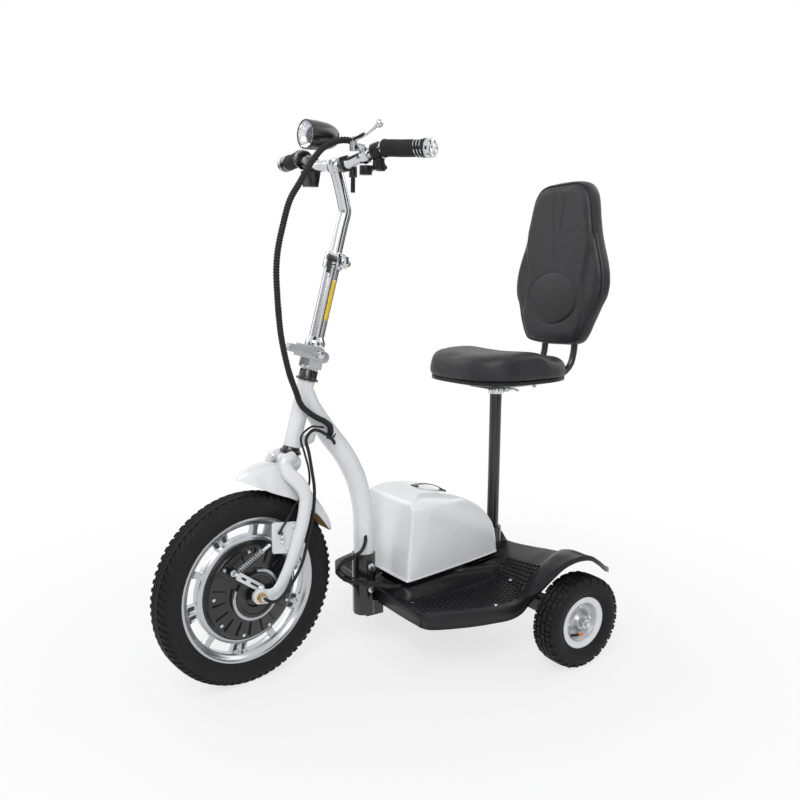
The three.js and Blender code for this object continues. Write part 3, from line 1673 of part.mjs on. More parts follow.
function boxSolid(inset, drop) {
  const middleY = boxFrontY + boxLength / 2;
  const profile = boxShares.map(([y, z]) => [boxFrontY + boxLength * y, boxSeamZ + boxHeight * z]);
  const shrinkY = (boxLength / 2 - inset) / (boxLength / 2);
  const shrinkZ = (boxHeight - inset) / boxHeight;
  const ringAt = (share, scale, side) =>
    profile.map(([y, z]) => {
      const placeY = middleY + (y - middleY) * scale * shrinkY;
      const base = seamAt(middleY) - drop;
      const placeZ = base + (z - seamAt(middleY)) * scale * shrinkZ;
      const half = boxHalfWidth - (boxTaper * (y - boxFrontY)) / boxLength - inset;
      return at(side * half * share, placeY, placeZ);
    });
  const left = boxRingShares.map(([share, scale]) => ringAt(share, scale, 1));
  const right = boxRingShares.map(([share, scale]) => ringAt(share, scale, -1)).reverse();
  const body = loft([...left, ...right]);
  const plan = skirtTopShares.map(([x, y]) => [
    Math.max(boxHalfWidth * x - (x > 0 ? inset : 0), 0),
    boxFrontY + boxLength * y + inset * (1 - y * 2),
  ]);
  const outline = [...plan, ...plan.slice(1, -1).map(([x, y]) => [-x, y]).reverse()];
  return body.intersect(planPrism(outline, boxSeamZ - overrun * 2, boxSeamZ + boxHeight * 2));
}
function batteryCover() {
  const low = boxSeamZ - boxHeight;
  const under = sidePlate(
    [
      [boxFrontY - boxLength, low],
      [boxFrontY + boxLength * 2, low],
      [boxFrontY + boxLength * 2, seamAt(boxFrontY + boxLength * 2)],
      [boxFrontY - boxLength, seamAt(boxFrontY - boxLength)],
    ],
    -boxHalfWidth * 2,
    boxHalfWidth * 2,
  );
  return join(cut(boxSolid(0, 0), boxSolid(boxWall, overrun), under), carryStrap());
}
// Arched strap that lifts the cover off
function boxTopAt(y) {
  const rows = boxShares.map(([a, b]) => [boxFrontY + boxLength * a, boxSeamZ + boxHeight * b]);
  for (let i = 2; i < rows.length - 1; i++) {
    const [[y0, z0], [y1, z1]] = [rows[i], rows[i + 1]];
    if (y >= y0 && y <= y1) return between(z0, z1, (y - y0) / (y1 - y0));
  }
  return boxSeamZ + boxHeight;
}
function carryStrap() {
  const steps = 8;
  const row = (drop) =>
    Array.from({ length: steps + 1 }, (_, i) => {
      const share = i / steps;
      const y = handleFrontY + handleLength * share;
      const base = between(boxTopAt(handleFrontY), boxTopAt(handleFrontY + handleLength), share);
      const rise = (handleRise + handleFootDrop) * Math.sin(Math.PI * share) - handleFootDrop;
      return [y, base + rise - drop];
    });
  return sidePlate([...row(0), ...row(handleThickness).reverse()], -handleHalfWidth, handleHalfWidth);
}
add("battery_cover", batteryCover(), "whitePaint", frame);


add(
  "battery_pack",
  block(
    at(packHalfWidth * 2, packLength, packHeight),
    at(0, packFrontY + packLength / 2, packBottomZ + packHeight / 2),
  ),
  "batteryWrap",
  frame,
);
function controller() {
  const low = packBottomZ;
  const body = block(
    at(controllerHalfWidth * 2, controllerLength, controllerHeight),
    at(0, controllerFrontY + controllerLength / 2, low + controllerHeight / 2),
  );
  const ribs = Array.from({ length: controllerRibs }, (_, i) => {
    const x = between(-controllerHalfWidth, controllerHalfWidth, (i + 1 / 2) / controllerRibs);
    return block(
      at(controllerRibThickness, controllerLength, controllerRibHeight * 2),
      at(x, controllerFrontY + controllerLength / 2, low + controllerHeight),
    );
  });
  return join(body, ...ribs);
}
add("motor_controller", controller(), "castGrey", frame);

// Rear wheels
function rearRim() {
  const dish = rearRimRadius - rearRimLipWidth;
  const outer = rearHubHalfWidth;
  const inner = rearTrackHalf - beamHalfLength - slack;
  return turnedAcross(
    [
      [rearRimRadius, rearRimHalfWidth],
      [dish, rearRimHalfWidth],
      [rearHubRadius, rearDishHalfDepth],
      [rearHubRadius, outer],
      [bore(rearAxleRadius, running, rearWheelSides), outer],
      [bore(rearAxleRadius, running, rearWheelSides), -inner],
      [rearShoulderRadius, -inner],
      [rearShoulderRadius, -outer],
      [rearHubRadius, -outer],
      [rearHubRadius, -rearDishHalfDepth],
      [dish, -rearRimHalfWidth],
      [rearRimRadius, -rearRimHalfWidth],
    ],
    rearWheelSides,
  );
}
for (const [side, parent] of [
  ["left", rearLeft],
  ["right", rearRight],
]) {
  add(
    "rear_tyre_" + side,
    tyre(rearTyreRadius, rearTyreWallHeight, rearTyreSection, rearRimRadius, rearBeadHalfWidth, rearWheelSides, 6),
    "rubber",
    parent,
  );
  add("rear_rim_" + side, side === "left" ? rearRim() : mirrored(rearRim()), "whitePaint", parent);
}
const rearHubOuter = rearTrackHalf + rearHubHalfWidth;
const rearNut = rod(
  rearNutRadius,
  at(rearHubOuter + gap, rearAxle.y, rearAxle.z),
  at(rearHubOuter + gap + rearNutWidth, rearAxle.y, rearAxle.z),
  6,
);
const rearRod = rod(
  rearAxleRadius,
  at(-rearAxleHalfLength, rearAxle.y, rearAxle.z),
  at(rearAxleHalfLength, rearAxle.y, rearAxle.z),
);
add("rear_axle", join(rearRod, rearNut, mirrored(rearNut)), "steel", frame);

// Seat post
const upAt = (y) => at(0, y, 0);
function onPost(rows, sides) {
  return shifted(turnedUp(rows, sides), upAt(postY));
}
const innerPostBore = bore(postInnerRadius, gap, tubeSides);
add(
  "seat_post_outer",
  onPost(ring(innerPostBore, postOuterRadius, postOuterBottomZ, postOuterTopZ), tubeSides),
  "blackPaint",
  frame,
);
const collarInner = bore(postOuterRadius, gap, tubeSides);
const collarOuter = collarInner + seatCollarWall;
const collarLowZ = seatCollarTopZ - seatCollarHeight;
function seatCollar() {
  const low = collarLowZ;
  const lip = postOuterTopZ + gap;
  const body = onPost(
    [
      [collarInner, low],
      [collarOuter, low],
      [collarOuter, seatCollarTopZ],
      [innerPostBore, seatCollarTopZ],
      [innerPostBore, lip],
      [collarInner, lip],
    ],
    tubeSides,
  );
  const ear = block(
    at(seatCollarEarX * 2, seatCollarEarReach - collarInner - gap, seatCollarEarHeight),
    at(0, postY + (seatCollarEarReach + collarInner + gap) / 2, (low + seatCollarTopZ) / 2),
  );
  const slit = block(
    at(seatSlit, seatCollarEarReach * 2, seatCollarHeight * 2),
    at(0, postY + seatCollarEarReach + postInnerRadius / 2, (low + seatCollarTopZ) / 2),
  );
  const boltHole = rod(
    bore(seatLeverRadius, gap, smallSides),
    at(-seatCollarEarX * 2, postY + seatLeverReach, (low + seatCollarTopZ) / 2),
    at(seatCollarEarX * 2, postY + seatLeverReach, (low + seatCollarTopZ) / 2),
    smallSides,
  );
  return cut(join(body, ear), slit, boltHole);
}
add("seat_clamp_collar", seatCollar(), "polished", frame);
function seatLever() {
  const z = (collarLowZ + seatCollarTopZ) / 2;
  const y = postY + seatLeverReach;
  const bolt = rod(
    seatLeverRadius,
    at(-seatCollarEarX - overrun, y, z),
    at(seatCollarEarX + overrun, y, z),
    smallSides,
  );
  const nut = rod(
    seatLeverRadius * 2,
    at(-seatCollarEarX - overrun, y, z),
    at(-seatCollarEarX - gap, y, z),
    smallSides,
  );
  const from = at(seatCollarEarX + overrun, y, z);
  const knob = rod(seatLeverRadius * 2, at(seatCollarEarX + gap, y, z), at(seatCollarEarX + overrun, y, z), smallSides);
  const points = [from, from.clone().add(at(overrun / 3, seatLeverLength / 2, 0)), from.clone().add(at(0, seatLeverLength, -overrun))];
  const blade = strand(points, even(points, seatLeverRadius), sideways, smallSides, 8);
  return join(bolt, nut, knob, blade);
}
add("seat_clamp_lever", seatLever(), "polished", frame);
add(
  "seat_post_inner",
  onPost(
    [
      [0, postInnerBottomZ],
      [postInnerRadius, postInnerBottomZ],
      [postInnerRadius, postInnerTopZ],
      [0, postInnerTopZ],
    ],
    tubeSides,
  ),
  "steel",
  frame,
);

// Seat bracket, pan and cushion
const panZ = postInnerTopZ + bracketHeight / 2 + gap * 2;
const backTubeZ = panZ - gap - backTubeRadius;
const backTubePoints = (x) => backTubeRoute.map(([y, z]) => at(x, y, backTubeZ + z));
const backTube = (x, radius, sides) => strand(backTubePoints(x), even(backTubeRoute, radius), sideways, sides, 7);
function seatBracket() {
  const low = seatCollarTopZ + gap * 2;
  const body = block(
    at(bracketHalfWidth * 2, bracketLength, panZ - gap - low),
    at(0, bracketFrontY + bracketLength / 2, (panZ - gap + low) / 2),
  );
  const hollow = block(
    at((bracketHalfWidth - bracketWall) * 2, bracketLength - bracketWall * 2, panZ - low),
    at(0, bracketFrontY + bracketLength / 2, (panZ - gap + low) / 2 - bracketWall),
  );
  const hub = rod(postInnerRadius + bracketWall, at(0, postY, low), at(0, postY, panZ - gap * 2));
  const hole = rod(
    bore(postInnerRadius, gap, tubeSides),
    at(0, postY, low - overrun),
    at(0, postY, postInnerTopZ + gap),
  );
  const pan = block(
    at(panHalfWidth * 2, panLength, panThickness),
    at(0, panFrontY + panLength / 2, panZ + panThickness / 2),
  );
  const seam = block(
    at(bracketHalfWidth * 2, bracketLength, gap * 3),
    at(0, bracketFrontY + bracketLength / 2, panZ),
  );
  return cut(join(cut(body, hollow), hub, pan, seam), hole);
}
add("seat_bracket", seatBracket(), "blackPaint", frame);

const cushionTopUnder = panZ + panThickness + gap;
function cushionSolid() {
  const count = 24;
  const ringAt = ([scale, height]) =>
    Array.from({ length: count }, (_, i) => {
      const angle = (i / count) * 2 * Math.PI;
      const [c, s] = [Math.cos(angle), Math.sin(angle)];
      const radius = (Math.abs(c) ** cushionSquareness + Math.abs(s) ** cushionSquareness) ** (-1 / cushionSquareness);
      const pull = 1 - cushionSidePullShare * Math.cos(angle * 2) ** 2 * scale;
      const [u, v] = [c * radius * scale * pull, s * radius * scale * pull];
      const upper = Math.max(height - cushionLayerShares[4][1], 0) / (1 - cushionLayerShares[4][1]);
      const saddle = cushionSaddleShare * (u * u - 1 / 3) * upper;
      const dip = cushionRearDipShare * Math.max(v, 0) * (1 - v * v) * upper;
      return at(
        cushionHalfWidth * u,
        cushionCentreY + cushionHalfLength * v,
        cushionBottomZ + cushionHeight * (height + saddle - dip),
      );
    });
  const body = loft(cushionLayerShares.map(ringAt));
  const hollow = rod(
    cushionHollowRadius,
    at(0, cushionCentreY, cushionBottomZ - cushionHeight),
    at(0, cushionCentreY, cushionTopUnder),
    tubeSides,
  );
  const tubes = [-1, 1].map((side) => backTube(side * backTubeX, backTubeRadius + slack, finePipeSides));
  return cut(body, hollow, ...tubes);
}
add("seat_cushion", cushionSolid(), "cushion", frame);
const backFrame = (() => {
  const tubes = [-1, 1].map((side) => backTube(side * backTubeX, backTubeRadius, finePipeSides));
  const [y] = backTubeRoute[0];
  const [endY, endZ] = backTubeRoute[backTubeRoute.length - 2];
  const cross = rod(backTubeRadius, at(-backTubeX, y, backTubeZ), at(backTubeX, y, backTubeZ), finePipeSides);
  const upper = rod(
    backTubeRadius,
    at(-backTubeX, endY, backTubeZ + endZ),
    at(backTubeX, endY, backTubeZ + endZ),
    finePipeSides,
  );
  return join(...tubes, cross, upper);
})();
add("backrest_frame", cut(backFrame, seatBracketClearance()), "blackPaint", frame);
function seatBracketClearance() {
  return block(
    at((bracketHalfWidth + gap) * 2, bracketLength + gap * 2, bracketHeight * 3),
    at(0, bracketFrontY + bracketLength / 2, panZ - gap - (bracketHeight * 3) / 2),
  );
}

function backrest() {
  const lean = Math.tan(backLean * degree);
  const key = backShares.map(([x, z]) => at(backHalfWidth * x, 0, backHeight * z));
  const half = spline(key, 1);
  const other = half.slice(1, -1).map((point) => point.clone().setX(-point.x)).reverse();
  const outline = [...half, ...other];
  const middle = at(0, 0, backHeight / 2);
  const ringAt = ([scale, depth]) =>
    outline.map((point) => {
      const inner = point.clone().sub(middle);
      const pull = 1 - backSidePullShare * (1 - scale);
      const place = middle.clone().addScaledVector(inner, scale * pull);
      const lumbar = at(place.x, 0, place.z - backLumbarRise).length();
      const bulge = depth < 1 / 2 ? backLumbarBulge * Math.max(0, 1 - lumbar / backLumbarRadius) : 0;
      return at(place.x, backFrontY + place.z * lean + backDepth * depth - bulge, backBottomZ + place.z);
    });
  const body = loft(backLayerShares.map(ringAt));
  const tubes = [-1, 1].map((side) => backTube(side * backTubeX, backTubeRadius + slack, finePipeSides));
  const [endY, endZ] = backTubeRoute[backTubeRoute.length - 2];
  const cross = rod(
    backTubeRadius + slack,
    at(-backTubeX, endY, backTubeZ + endZ),
    at(backTubeX, endY, backTubeZ + endZ),
    finePipeSides,
  );
  return cut(body, ...tubes, cross);
}
add("backrest_pad", backrest(), "cushion", frame);

// Folding joint
const cheek = (low, high) => {
  const disc = (behind, up, radius) => rod(radius, onAxis(up, behind, low), onAxis(up, behind, high), tubeSides);
  const width = high - low;
  const foot = axisBlock(
    at(width, foldCheekRadius * 2, foldPinHeight - foldBaseBottom - foldBaseDisc / 2),
    (low + high) / 2,
    0,
    (foldPinHeight + foldBaseBottom + foldBaseDisc / 2) / 2,
  );
  const tail = axisBlock(
    at(width, foldCheekTail, foldCheekRadius * 2 - foldCheekTailDrop),
    (low + high) / 2,
    foldCheekTail / 2,
    foldPinHeight - foldCheekTailDrop / 2,
  );
  return join(
    disc(0, foldPinHeight, foldCheekRadius),
    foot,
    tail,
    disc(foldCheekTail, foldPinHeight - foldCheekTailDrop / 2, foldCheekRadius - foldCheekTailDrop / 2),
  );
};
function foldBase() {
  const disc = turnedOnAxis(
    [
      [0, foldBaseBottom],
      [foldBaseRadius, foldBaseBottom],
      [foldBaseRadius, foldBaseBottom + foldBaseDisc],
      [0, foldBaseBottom + foldBaseDisc],
    ],
    tubeSides,
  );
  const left = cheek(foldCheekInner, foldCheekInner + foldCheekThickness);
  const hole = rod(
    bore(foldPinRadius, gap, finePipeSides),
    onAxis(foldPinHeight, 0, -foldCheekInner * 3),
    onAxis(foldPinHeight, 0, foldCheekInner * 3),
    finePipeSides,
  );
  return cut(join(disc, left, mirrored(left)), hole);
}
add("fold_base", foldBase(), "castGrey", steering);
const latchInner = foldCheekInner + foldCheekThickness + gap;
const latchOuter = latchInner + latchThickness;
add(
  "fold_pin",
  join(
    rod(foldPinRadius, onAxis(foldPinHeight, 0, -latchInner), onAxis(foldPinHeight, 0, latchOuter + gap)),
    rod(
      foldPinHeadRadius,
      onAxis(foldPinHeight, 0, latchOuter + gap),
      onAxis(foldPinHeight, 0, latchOuter + gap + foldPinHead),
      finePipeSides,
    ),
    rod(
      foldPinHeadRadius,
      onAxis(foldPinHeight, 0, -latchInner - foldPinHead),
      onAxis(foldPinHeight, 0, -latchInner),
      finePipeSides,
    ),
  ),
  "polished",
  steering,
);
function stemTube() {
  const tube = turnedOnAxis(
    ring(bore(upperStemRadius, gap, tubeSides), stemRadius, stemBottom, stemTop),
    tubeSides,
  );
  const knuckle = rod(
    foldKnuckleRadius,
    onAxis(foldPinHeight, 0, gap * 2 - foldCheekInner),
    onAxis(foldPinHeight, 0, foldCheekInner - gap * 2),
  );
  const root = turnedOnAxis(
    [
      [0, foldPinHeight],
      [foldKnuckleRadius - stemWall, foldPinHeight],
      [stemRadius, stemBottom],
      [stemRadius, stemBottom + stemWall * 2],
      [0, stemBottom + stemWall * 2],
    ],
    tubeSides,
  );
  const hole = rod(
    bore(foldPinRadius, running, tubeSides),
    onAxis(foldPinHeight, 0, -foldCheekInner),
    onAxis(foldPinHeight, 0, foldCheekInner),
  );
  const slit = axisBlock(
    at(clampSlit, stemRadius * 2, (stemTop - clampBottom) * 2),
    0,
    stemRadius,
    stemTop,
  );
  return cut(join(tube, knuckle, root), hole, slit);
}
add("lower_stem_tube", stemTube(), "polished", steering);
function latch() {
  const disc = rod(
    latchHalfWidth,
    onAxis(foldPinHeight, 0, latchInner),
    onAxis(foldPinHeight, 0, latchOuter),
  );
  const plate = axisBlock(
    at(latchThickness, latchLength, latchHalfWidth * 2 - latchThickness),
    (latchInner + latchOuter) / 2,
    -latchLength / 2,
    foldPinHeight,
  );
  const tip = rod(
    latchTipRadius,
    onAxis(foldPinHeight, -latchLength - latchTipLength / 2, latchOuter - latchTipWidth),
    onAxis(foldPinHeight, -latchLength - latchTipLength / 2, latchOuter),
    finePipeSides,
  );
  const tongue = axisBlock(
    at(latchThickness, latchTipLength, latchTipRadius * 2),
    (latchInner + latchOuter) / 2,
    -latchLength - latchTipLength / 4,
    foldPinHeight,
  );
  const hole = rod(
    bore(foldPinRadius, running, tubeSides),
    onAxis(foldPinHeight, 0, latchInner - overrun),
    onAxis(foldPinHeight, 0, latchOuter + overrun),
  );
  return cut(join(disc, plate, tip, tongue), hole);
}
add("fold_latch_lever", latch(), "castGrey", steering);

// Height clamp of the column
const clampMiddle = (clampBottom + clampTop) / 2;
const clampInner = bore(stemRadius, gap, tubeSides);
const clampOuter = clampInner + clampWall;
const clampClear = () => [
  rod(clampInner, onAxis(clampBottom - overrun), onAxis(stemTop + gap)),
  rod(bore(upperStemRadius, gap, tubeSides), onAxis(stemTop), onAxis(clampTop + overrun)),
];
const clampBoltFrom = onAxis(clampMiddle, -clampLugHalfDepth - clampKnobLength, clampBoltX);
const clampBoltTo = onAxis(clampMiddle, clampLugHalfDepth + clampEarLength, clampBoltX);
function stemClamp() {
  const body = turnedOnAxis(ring(upperStemRadius / 2, clampOuter, clampBottom, clampTop), tubeSides);
  const lugHeight = clampTop - clampBottom - clampLugInset * 2;
  const lug = axisBlock(
    at(clampLugReach - upperStemRadius, clampLugHalfDepth * 2, lugHeight),
    (clampLugReach + upperStemRadius) / 2,
    0,
    clampMiddle,
  );
  const boss = rod(
    clampBossRadius,
    onAxis(clampMiddle, clampLugHalfDepth / 3, clampLugReach - clampLugInset),
    onAxis(clampMiddle, clampLugHalfDepth / 3, clampBossReach),
    finePipeSides,
  );
  const slit = axisBlock(
    at(clampLugReach * 2, clampSlit, (clampTop - clampBottom) * 2),
    clampLugReach + upperStemRadius / 2,
    -clampLugHalfDepth / 2,
    clampMiddle,
  );
  const hole = rod(
    bore(clampBoltRadius, gap, smallSides),
    onAxis(clampMiddle, -clampLugHalfDepth * 2, clampBoltX),
    onAxis(clampMiddle, clampLugHalfDepth * 2, clampBoltX),
    smallSides,
  );
  return cut(join(body, lug, boss), slit, hole, ...clampClear());
}
add("stem_clamp", stemClamp(), "polished", steering);
function clampLever() {
  const bolt = rod(clampBoltRadius, clampBoltFrom, clampBoltTo, smallSides);
  const knob = rod(
    clampKnobRadius,
    clampBoltFrom,
    onAxis(clampMiddle, -clampLugHalfDepth - gap, clampBoltX),
    finePipeSides,
  );
  const ear = rod(
    clampEarRadius,
    onAxis(clampMiddle, clampLugHalfDepth + gap, clampBoltX),
    clampBoltTo,
    finePipeSides,
  );
  const blade = axisBlock(
    at(clampBladeThickness, clampBladeWidth, clampBladeLength),
    clampBoltX,
    -clampOuter - gap - clampBladeWidth / 2,
    clampMiddle - clampBladeLength / 2,
  );
  return join(bolt, knob, ear, blade);
}
add("stem_clamp_lever", clampLever(), "blackPaint", steering);

// Handlebar
const barPlace = (x, y, z) => at(barHalfWidth * x, barY + barSweep * y, barZ + barRise * z);
const barHalf = barShares.map((row) => barPlace(...row));
const gripStart = (side) => barHalf[barHalf.length - 1].clone().multiply(at(side, 1, 1));
const barEnd = (side) => at(side * barHalfWidth, barEndY, barEndZ);
function bar(radius, sides) {
  const middle = [...barHalf.slice(1).map((point) => point.clone().setX(-point.x)).reverse(), ...barHalf];
  const centre = strand(middle, even(middle, radius), upright, sides, 8);
  const ends = [-1, 1].map((side) => {
    const back = barEnd(side).sub(gripStart(side)).normalize().multiplyScalar(-radius / 2);
    return rod(radius, gripStart(side).add(back), barEnd(side), sides);
  });
  return join(centre, ...ends);
}
const onGrip = (side, x) => {
  const [from, to] = [gripStart(side), barEnd(side)];
  return from.clone().lerp(to, (x - Math.abs(from.x)) / (barHalfWidth - Math.abs(from.x)));
};
const barPath = curve(barHalf);
const onBar = (x) => {
  let share = 0;
  for (let i = 0; i < 40; i++) {
    const place = barPath.getPoint(share);
    share = Math.min(1, Math.max(0, share + (Math.abs(x) - place.x) / barHalfWidth));
  }
  const place = barPath.getPoint(share);
  return x < 0 ? place.setX(-place.x) : place;
};
const sleeve = (x, width, radius) => {
  const from = onBar(x - width / 2);
  const to = onBar(x + width / 2);
  return rod(radius, from, to);
};
const barClearance = bar(bore(barRadius, gap, finePipeSides), finePipeSides);

const lampAxis = (rows, sides) => {
  const shape = turned(rows, sides);
  return solid(shape.translate(0, lampY, lampZ));
};
const lampTail = lampRadius - lampTailRadius;
const lampEnvelope = lampAxis(
  [
    [0, -overrun],
    [lampRadius + lampWall / 2 + gap, -overrun],
    [lampRadius + lampWall / 2 + gap, lampRimDepth],
    [lampRadius - lampTail / 5 + gap, lampLength / 2],
    [lampTailRadius + lampTail / 3 + gap, (lampLength * 5) / 6],
    [0, lampLength + gap],
  ],
  tubeSides,
);
function upperStem() {
  const top = onBar(0);
  const points = [onAxis(upperStemBottom), onAxis(upperStemBend - overrun * 2), onAxis(upperStemBend)];
  const knee = onAxis(upperStemBend + overrun * 2);
  points.push(knee.add(at(0, -overrun / 4, 0)));
  points.push(top.clone().add(knee).multiplyScalar(1 / 2).add(at(0, -gap, 0)), top);
  const outer = strand(points, even(points, upperStemRadius), sideways, tubeSides, 10);
  const inner = rod(
    upperStemRadius - upperStemWall,
    onAxis(upperStemBottom - overrun),
    onAxis(upperStemBend - overrun * 2),
  );
  const head = rod(stemHeadRadius, at(-stemHeadHalfWidth, barY, barZ), at(stemHeadHalfWidth, barY, barZ));
  const foot = block(
    at(lampFootHalfWidth * 2, lampFootHalfDepth * 2, lampZ - barZ),
    at(0, barY, (lampZ + barZ) / 2),
  );
  return cut(join(cut(outer, inner), head, foot), barClearance, lampEnvelope);
}
add("upper_stem_tube", upperStem(), "polished", steering);
add("handlebar", bar(barRadius, tubeSides), "polished", steering);

function grip(side) {
  const from = onGrip(side, gripInnerX);
  const to = onGrip(side, gripOuterX);
  const along = to.clone().sub(from).normalize();
  const body = rod(gripRadius, from, to);
  const collar = (place) =>
    rod(gripRingRadius, place, place.clone().addScaledVector(along, gripRingWidth));
  const grooves = [];
  for (let i = 0; i < 3; i++) {
    const centre = to.clone().addScaledVector(along, -gripGroovePitch * (i + 3));
    const shape = new THREE.BoxGeometry(gripGrooveWidth, gripGrooveDepth * 2, gripRadius * 3);
    shape.rotateY(side * gripGrooveTurn * degree);
    grooves.push(solid(shape.translate(centre.x, centre.y - gripRadius, centre.z)));
  }
  const core = rod(
    bore(barRadius, gap, tubeSides),
    from.clone().addScaledVector(along, -overrun),
    to.clone().addScaledVector(along, overrun),
  );
  return cut(join(body, collar(from)), ...grooves, core);
}
function gripCap(side) {
  const from = onGrip(side, gripOuterX + gap);
  const to = barEnd(side);
  const along = to.clone().sub(from).normalize();
  const end = from.clone().addScaledVector(along, barEndLength);
  const body = rod(barEndRadius, from, end);
  const core = rod(
    bore(barRadius, gap, tubeSides),
    from.clone().addScaledVector(along, -overrun),
    to.clone().addScaledVector(along, gap),
  );
  const across = along.clone().cross(upright).normalize();
  const over = across.clone().cross(along).normalize();
  const holes = Array.from({ length: barEndHoles }, (_, i) => {
    const angle = (i / barEndHoles) * 2 * Math.PI;
    const place = end
      .clone()
      .addScaledVector(across, barEndHoleCircle * Math.cos(angle))
      .addScaledVector(over, barEndHoleCircle * Math.sin(angle));
    return rod(
      barEndHoleRadius,
      place.clone().addScaledVector(along, -barEndHoleDepth / 4),
      place.clone().addScaledVector(along, overrun),
      6,
    );
  });
  return cut(body, core, ...holes);
}
add("grip_left", grip(1), "rubber", steering);
add("throttle_grip_right", grip(-1), "rubber", steering);
add("bar_end_left", gripCap(1), "polished", steering);
add("bar_end_right", gripCap(-1), "polished", steering);

// Brake lever
const leverPivot = at(leverPivotX, leverPivotY, leverPivotZ);
const perchSleeve = (extra) => sleeve(perchX, perchWidth + extra * 2, barRadius + clampWallBar + extra);
function brakePerch() {
  const seat = leverPivotZ - leverThickness / 2 - gap;
  const plate = rod(
    leverEyeRadius,
    at(leverPivotX, leverPivotY, seat - leverThickness * 2),
    at(leverPivotX, leverPivotY, seat),
  );
  const armPoints = [
    onBar(perchX).add(at(0, -barRadius / 2, barRadius)),
    at(leverPivotX, leverPivotY, seat - leverThickness),
  ];
  const arm = rod(leverEyeRadius, armPoints[0], armPoints[1], finePipeSides);
  const pin = rod(
    leverPinRadius,
    at(leverPivotX, leverPivotY, seat - leverThickness),
    at(leverPivotX, leverPivotY, leverPivotZ + leverThickness / 2 + gap * 3),
    tubeSides,
  );
  const level = block(
    at(leverEyeRadius * 6, leverEyeRadius * 8, leverThickness * 3),
    at(leverPivotX, leverPivotY, seat + (leverThickness * 3) / 2),
  );
  return join(cut(join(perchSleeve(0), plate, arm), barClearance, level), pin);
}
add("brake_lever_perch", brakePerch(), "polished", steering);
function brakeLever() {
  const middle = at(leverMiddleX, leverMiddleY, leverMiddleZ);
  const end = at(leverEndX, leverEndY, leverEndZ);
  const points = [leverPivot, leverPivot.clone().lerp(middle, 1 / 2).add(at(0, -leverHalfWidth, 0)), middle, end];
  const widths = [
    [leverHalfThickness, leverHalfWidth],
    [leverHalfThickness, leverHalfWidth],
    [leverHalfThickness, leverHalfWidth],
    [leverHalfThickness, leverHalfThickness],
  ];
  const blade = strand(points, widths, upright, smallSides, 8);
  const eye = rod(
    leverEyeRadius,
    leverPivot.clone().add(at(0, 0, -leverThickness / 2)),
    leverPivot.clone().add(at(0, 0, leverThickness / 2)),
  );
  const ball = solid(
    new THREE.SphereGeometry(leverBallRadius, finePipeSides, smallSides).translate(end.x, end.y, end.z),
  );
  const hole = rod(
    bore(leverPinRadius, running, tubeSides),
    leverPivot.clone().add(at(0, 0, -leverThickness)),
    leverPivot.clone().add(at(0, 0, leverThickness)),
  );
  return cut(join(blade, eye, ball), hole);
}
add("brake_lever", brakeLever(), "polished", steering);

// Switch pods
const pod = at(podX, podY, podTopZ);
const smallPod = at(smallPodX, smallPodY, smallPodTopZ);
const podDown = (place, height) => place.clone().add(at(0, 0, -height));
const buttonFrom = at(podX, podY + podRadius - buttonWell - buttonTravel, podTopZ - podHeight / 2);
const rockerPivot = at(smallPodX, smallPodY + smallPodRadius, smallPodTopZ - smallPodHeight / 2);
function switchBody() {
  const mount = sleeve(switchX, switchWidth, barRadius + clampWallBar);
  const large = rod(podRadius, pod, podDown(pod, podHeight));
  const small = rod(smallPodRadius, smallPod, podDown(smallPod, smallPodHeight));
  const low = podTopZ - podHeight / 2;
  const bridge = block(
    at(smallPodX - podX, smallPodY - podY, podBridgeHeight),
    at((podX + smallPodX) / 2, (podY + smallPodY) / 2, low + podBridgeHeight / 2),
  );
  const hanger = block(
    at(switchWidth - gap, smallPodRadius * 2, smallPodTopZ + smallPodRadius - low),
    at(switchX, smallPodY - smallPodRadius, (smallPodTopZ + smallPodRadius + low) / 2),
  );
  const buttonHole = rod(
    buttonRadius + gap,
    buttonFrom,
    buttonFrom.clone().add(at(0, overrun * 2, 0)),
    finePipeSides,
  );
  const rockerHole = block(
    at(rockerWidth + gap * 2, rockerDepth * 2 + gap * 2, rockerHeight + gap * 2),
    rockerPivot,
  );
  return cut(
    join(mount, large, small, bridge, hanger),
    barClearance,
    perchSleeve(gap),
    buttonHole,
    rockerHole,
  );
}
add("switch_body", switchBody(), "blackPlastic", steering);
add(
  "horn_button",
  rod(
    buttonRadius,
    buttonFrom.clone().add(at(0, gap + buttonTravel, 0)),
    buttonFrom.clone().add(at(0, gap + buttonTravel + buttonLength, 0)),
    finePipeSides,
  ),
  "castGrey",
  steering,
);
add(
  "light_switch",
  cut(
    rod(
      rockerHeight / 2,
      rockerPivot.clone().add(at(-rockerWidth / 2, 0, 0)),
      rockerPivot.clone().add(at(rockerWidth / 2, 0, 0)),
      finePipeSides,
    ),
    block(
      at(rockerWidth * 2, rockerHeight, rockerHeight * 2),
      rockerPivot.clone().add(at(0, -rockerDepth - rockerHeight / 2, 0)),
    ),
  ),
  "castGrey",
  steering,
);

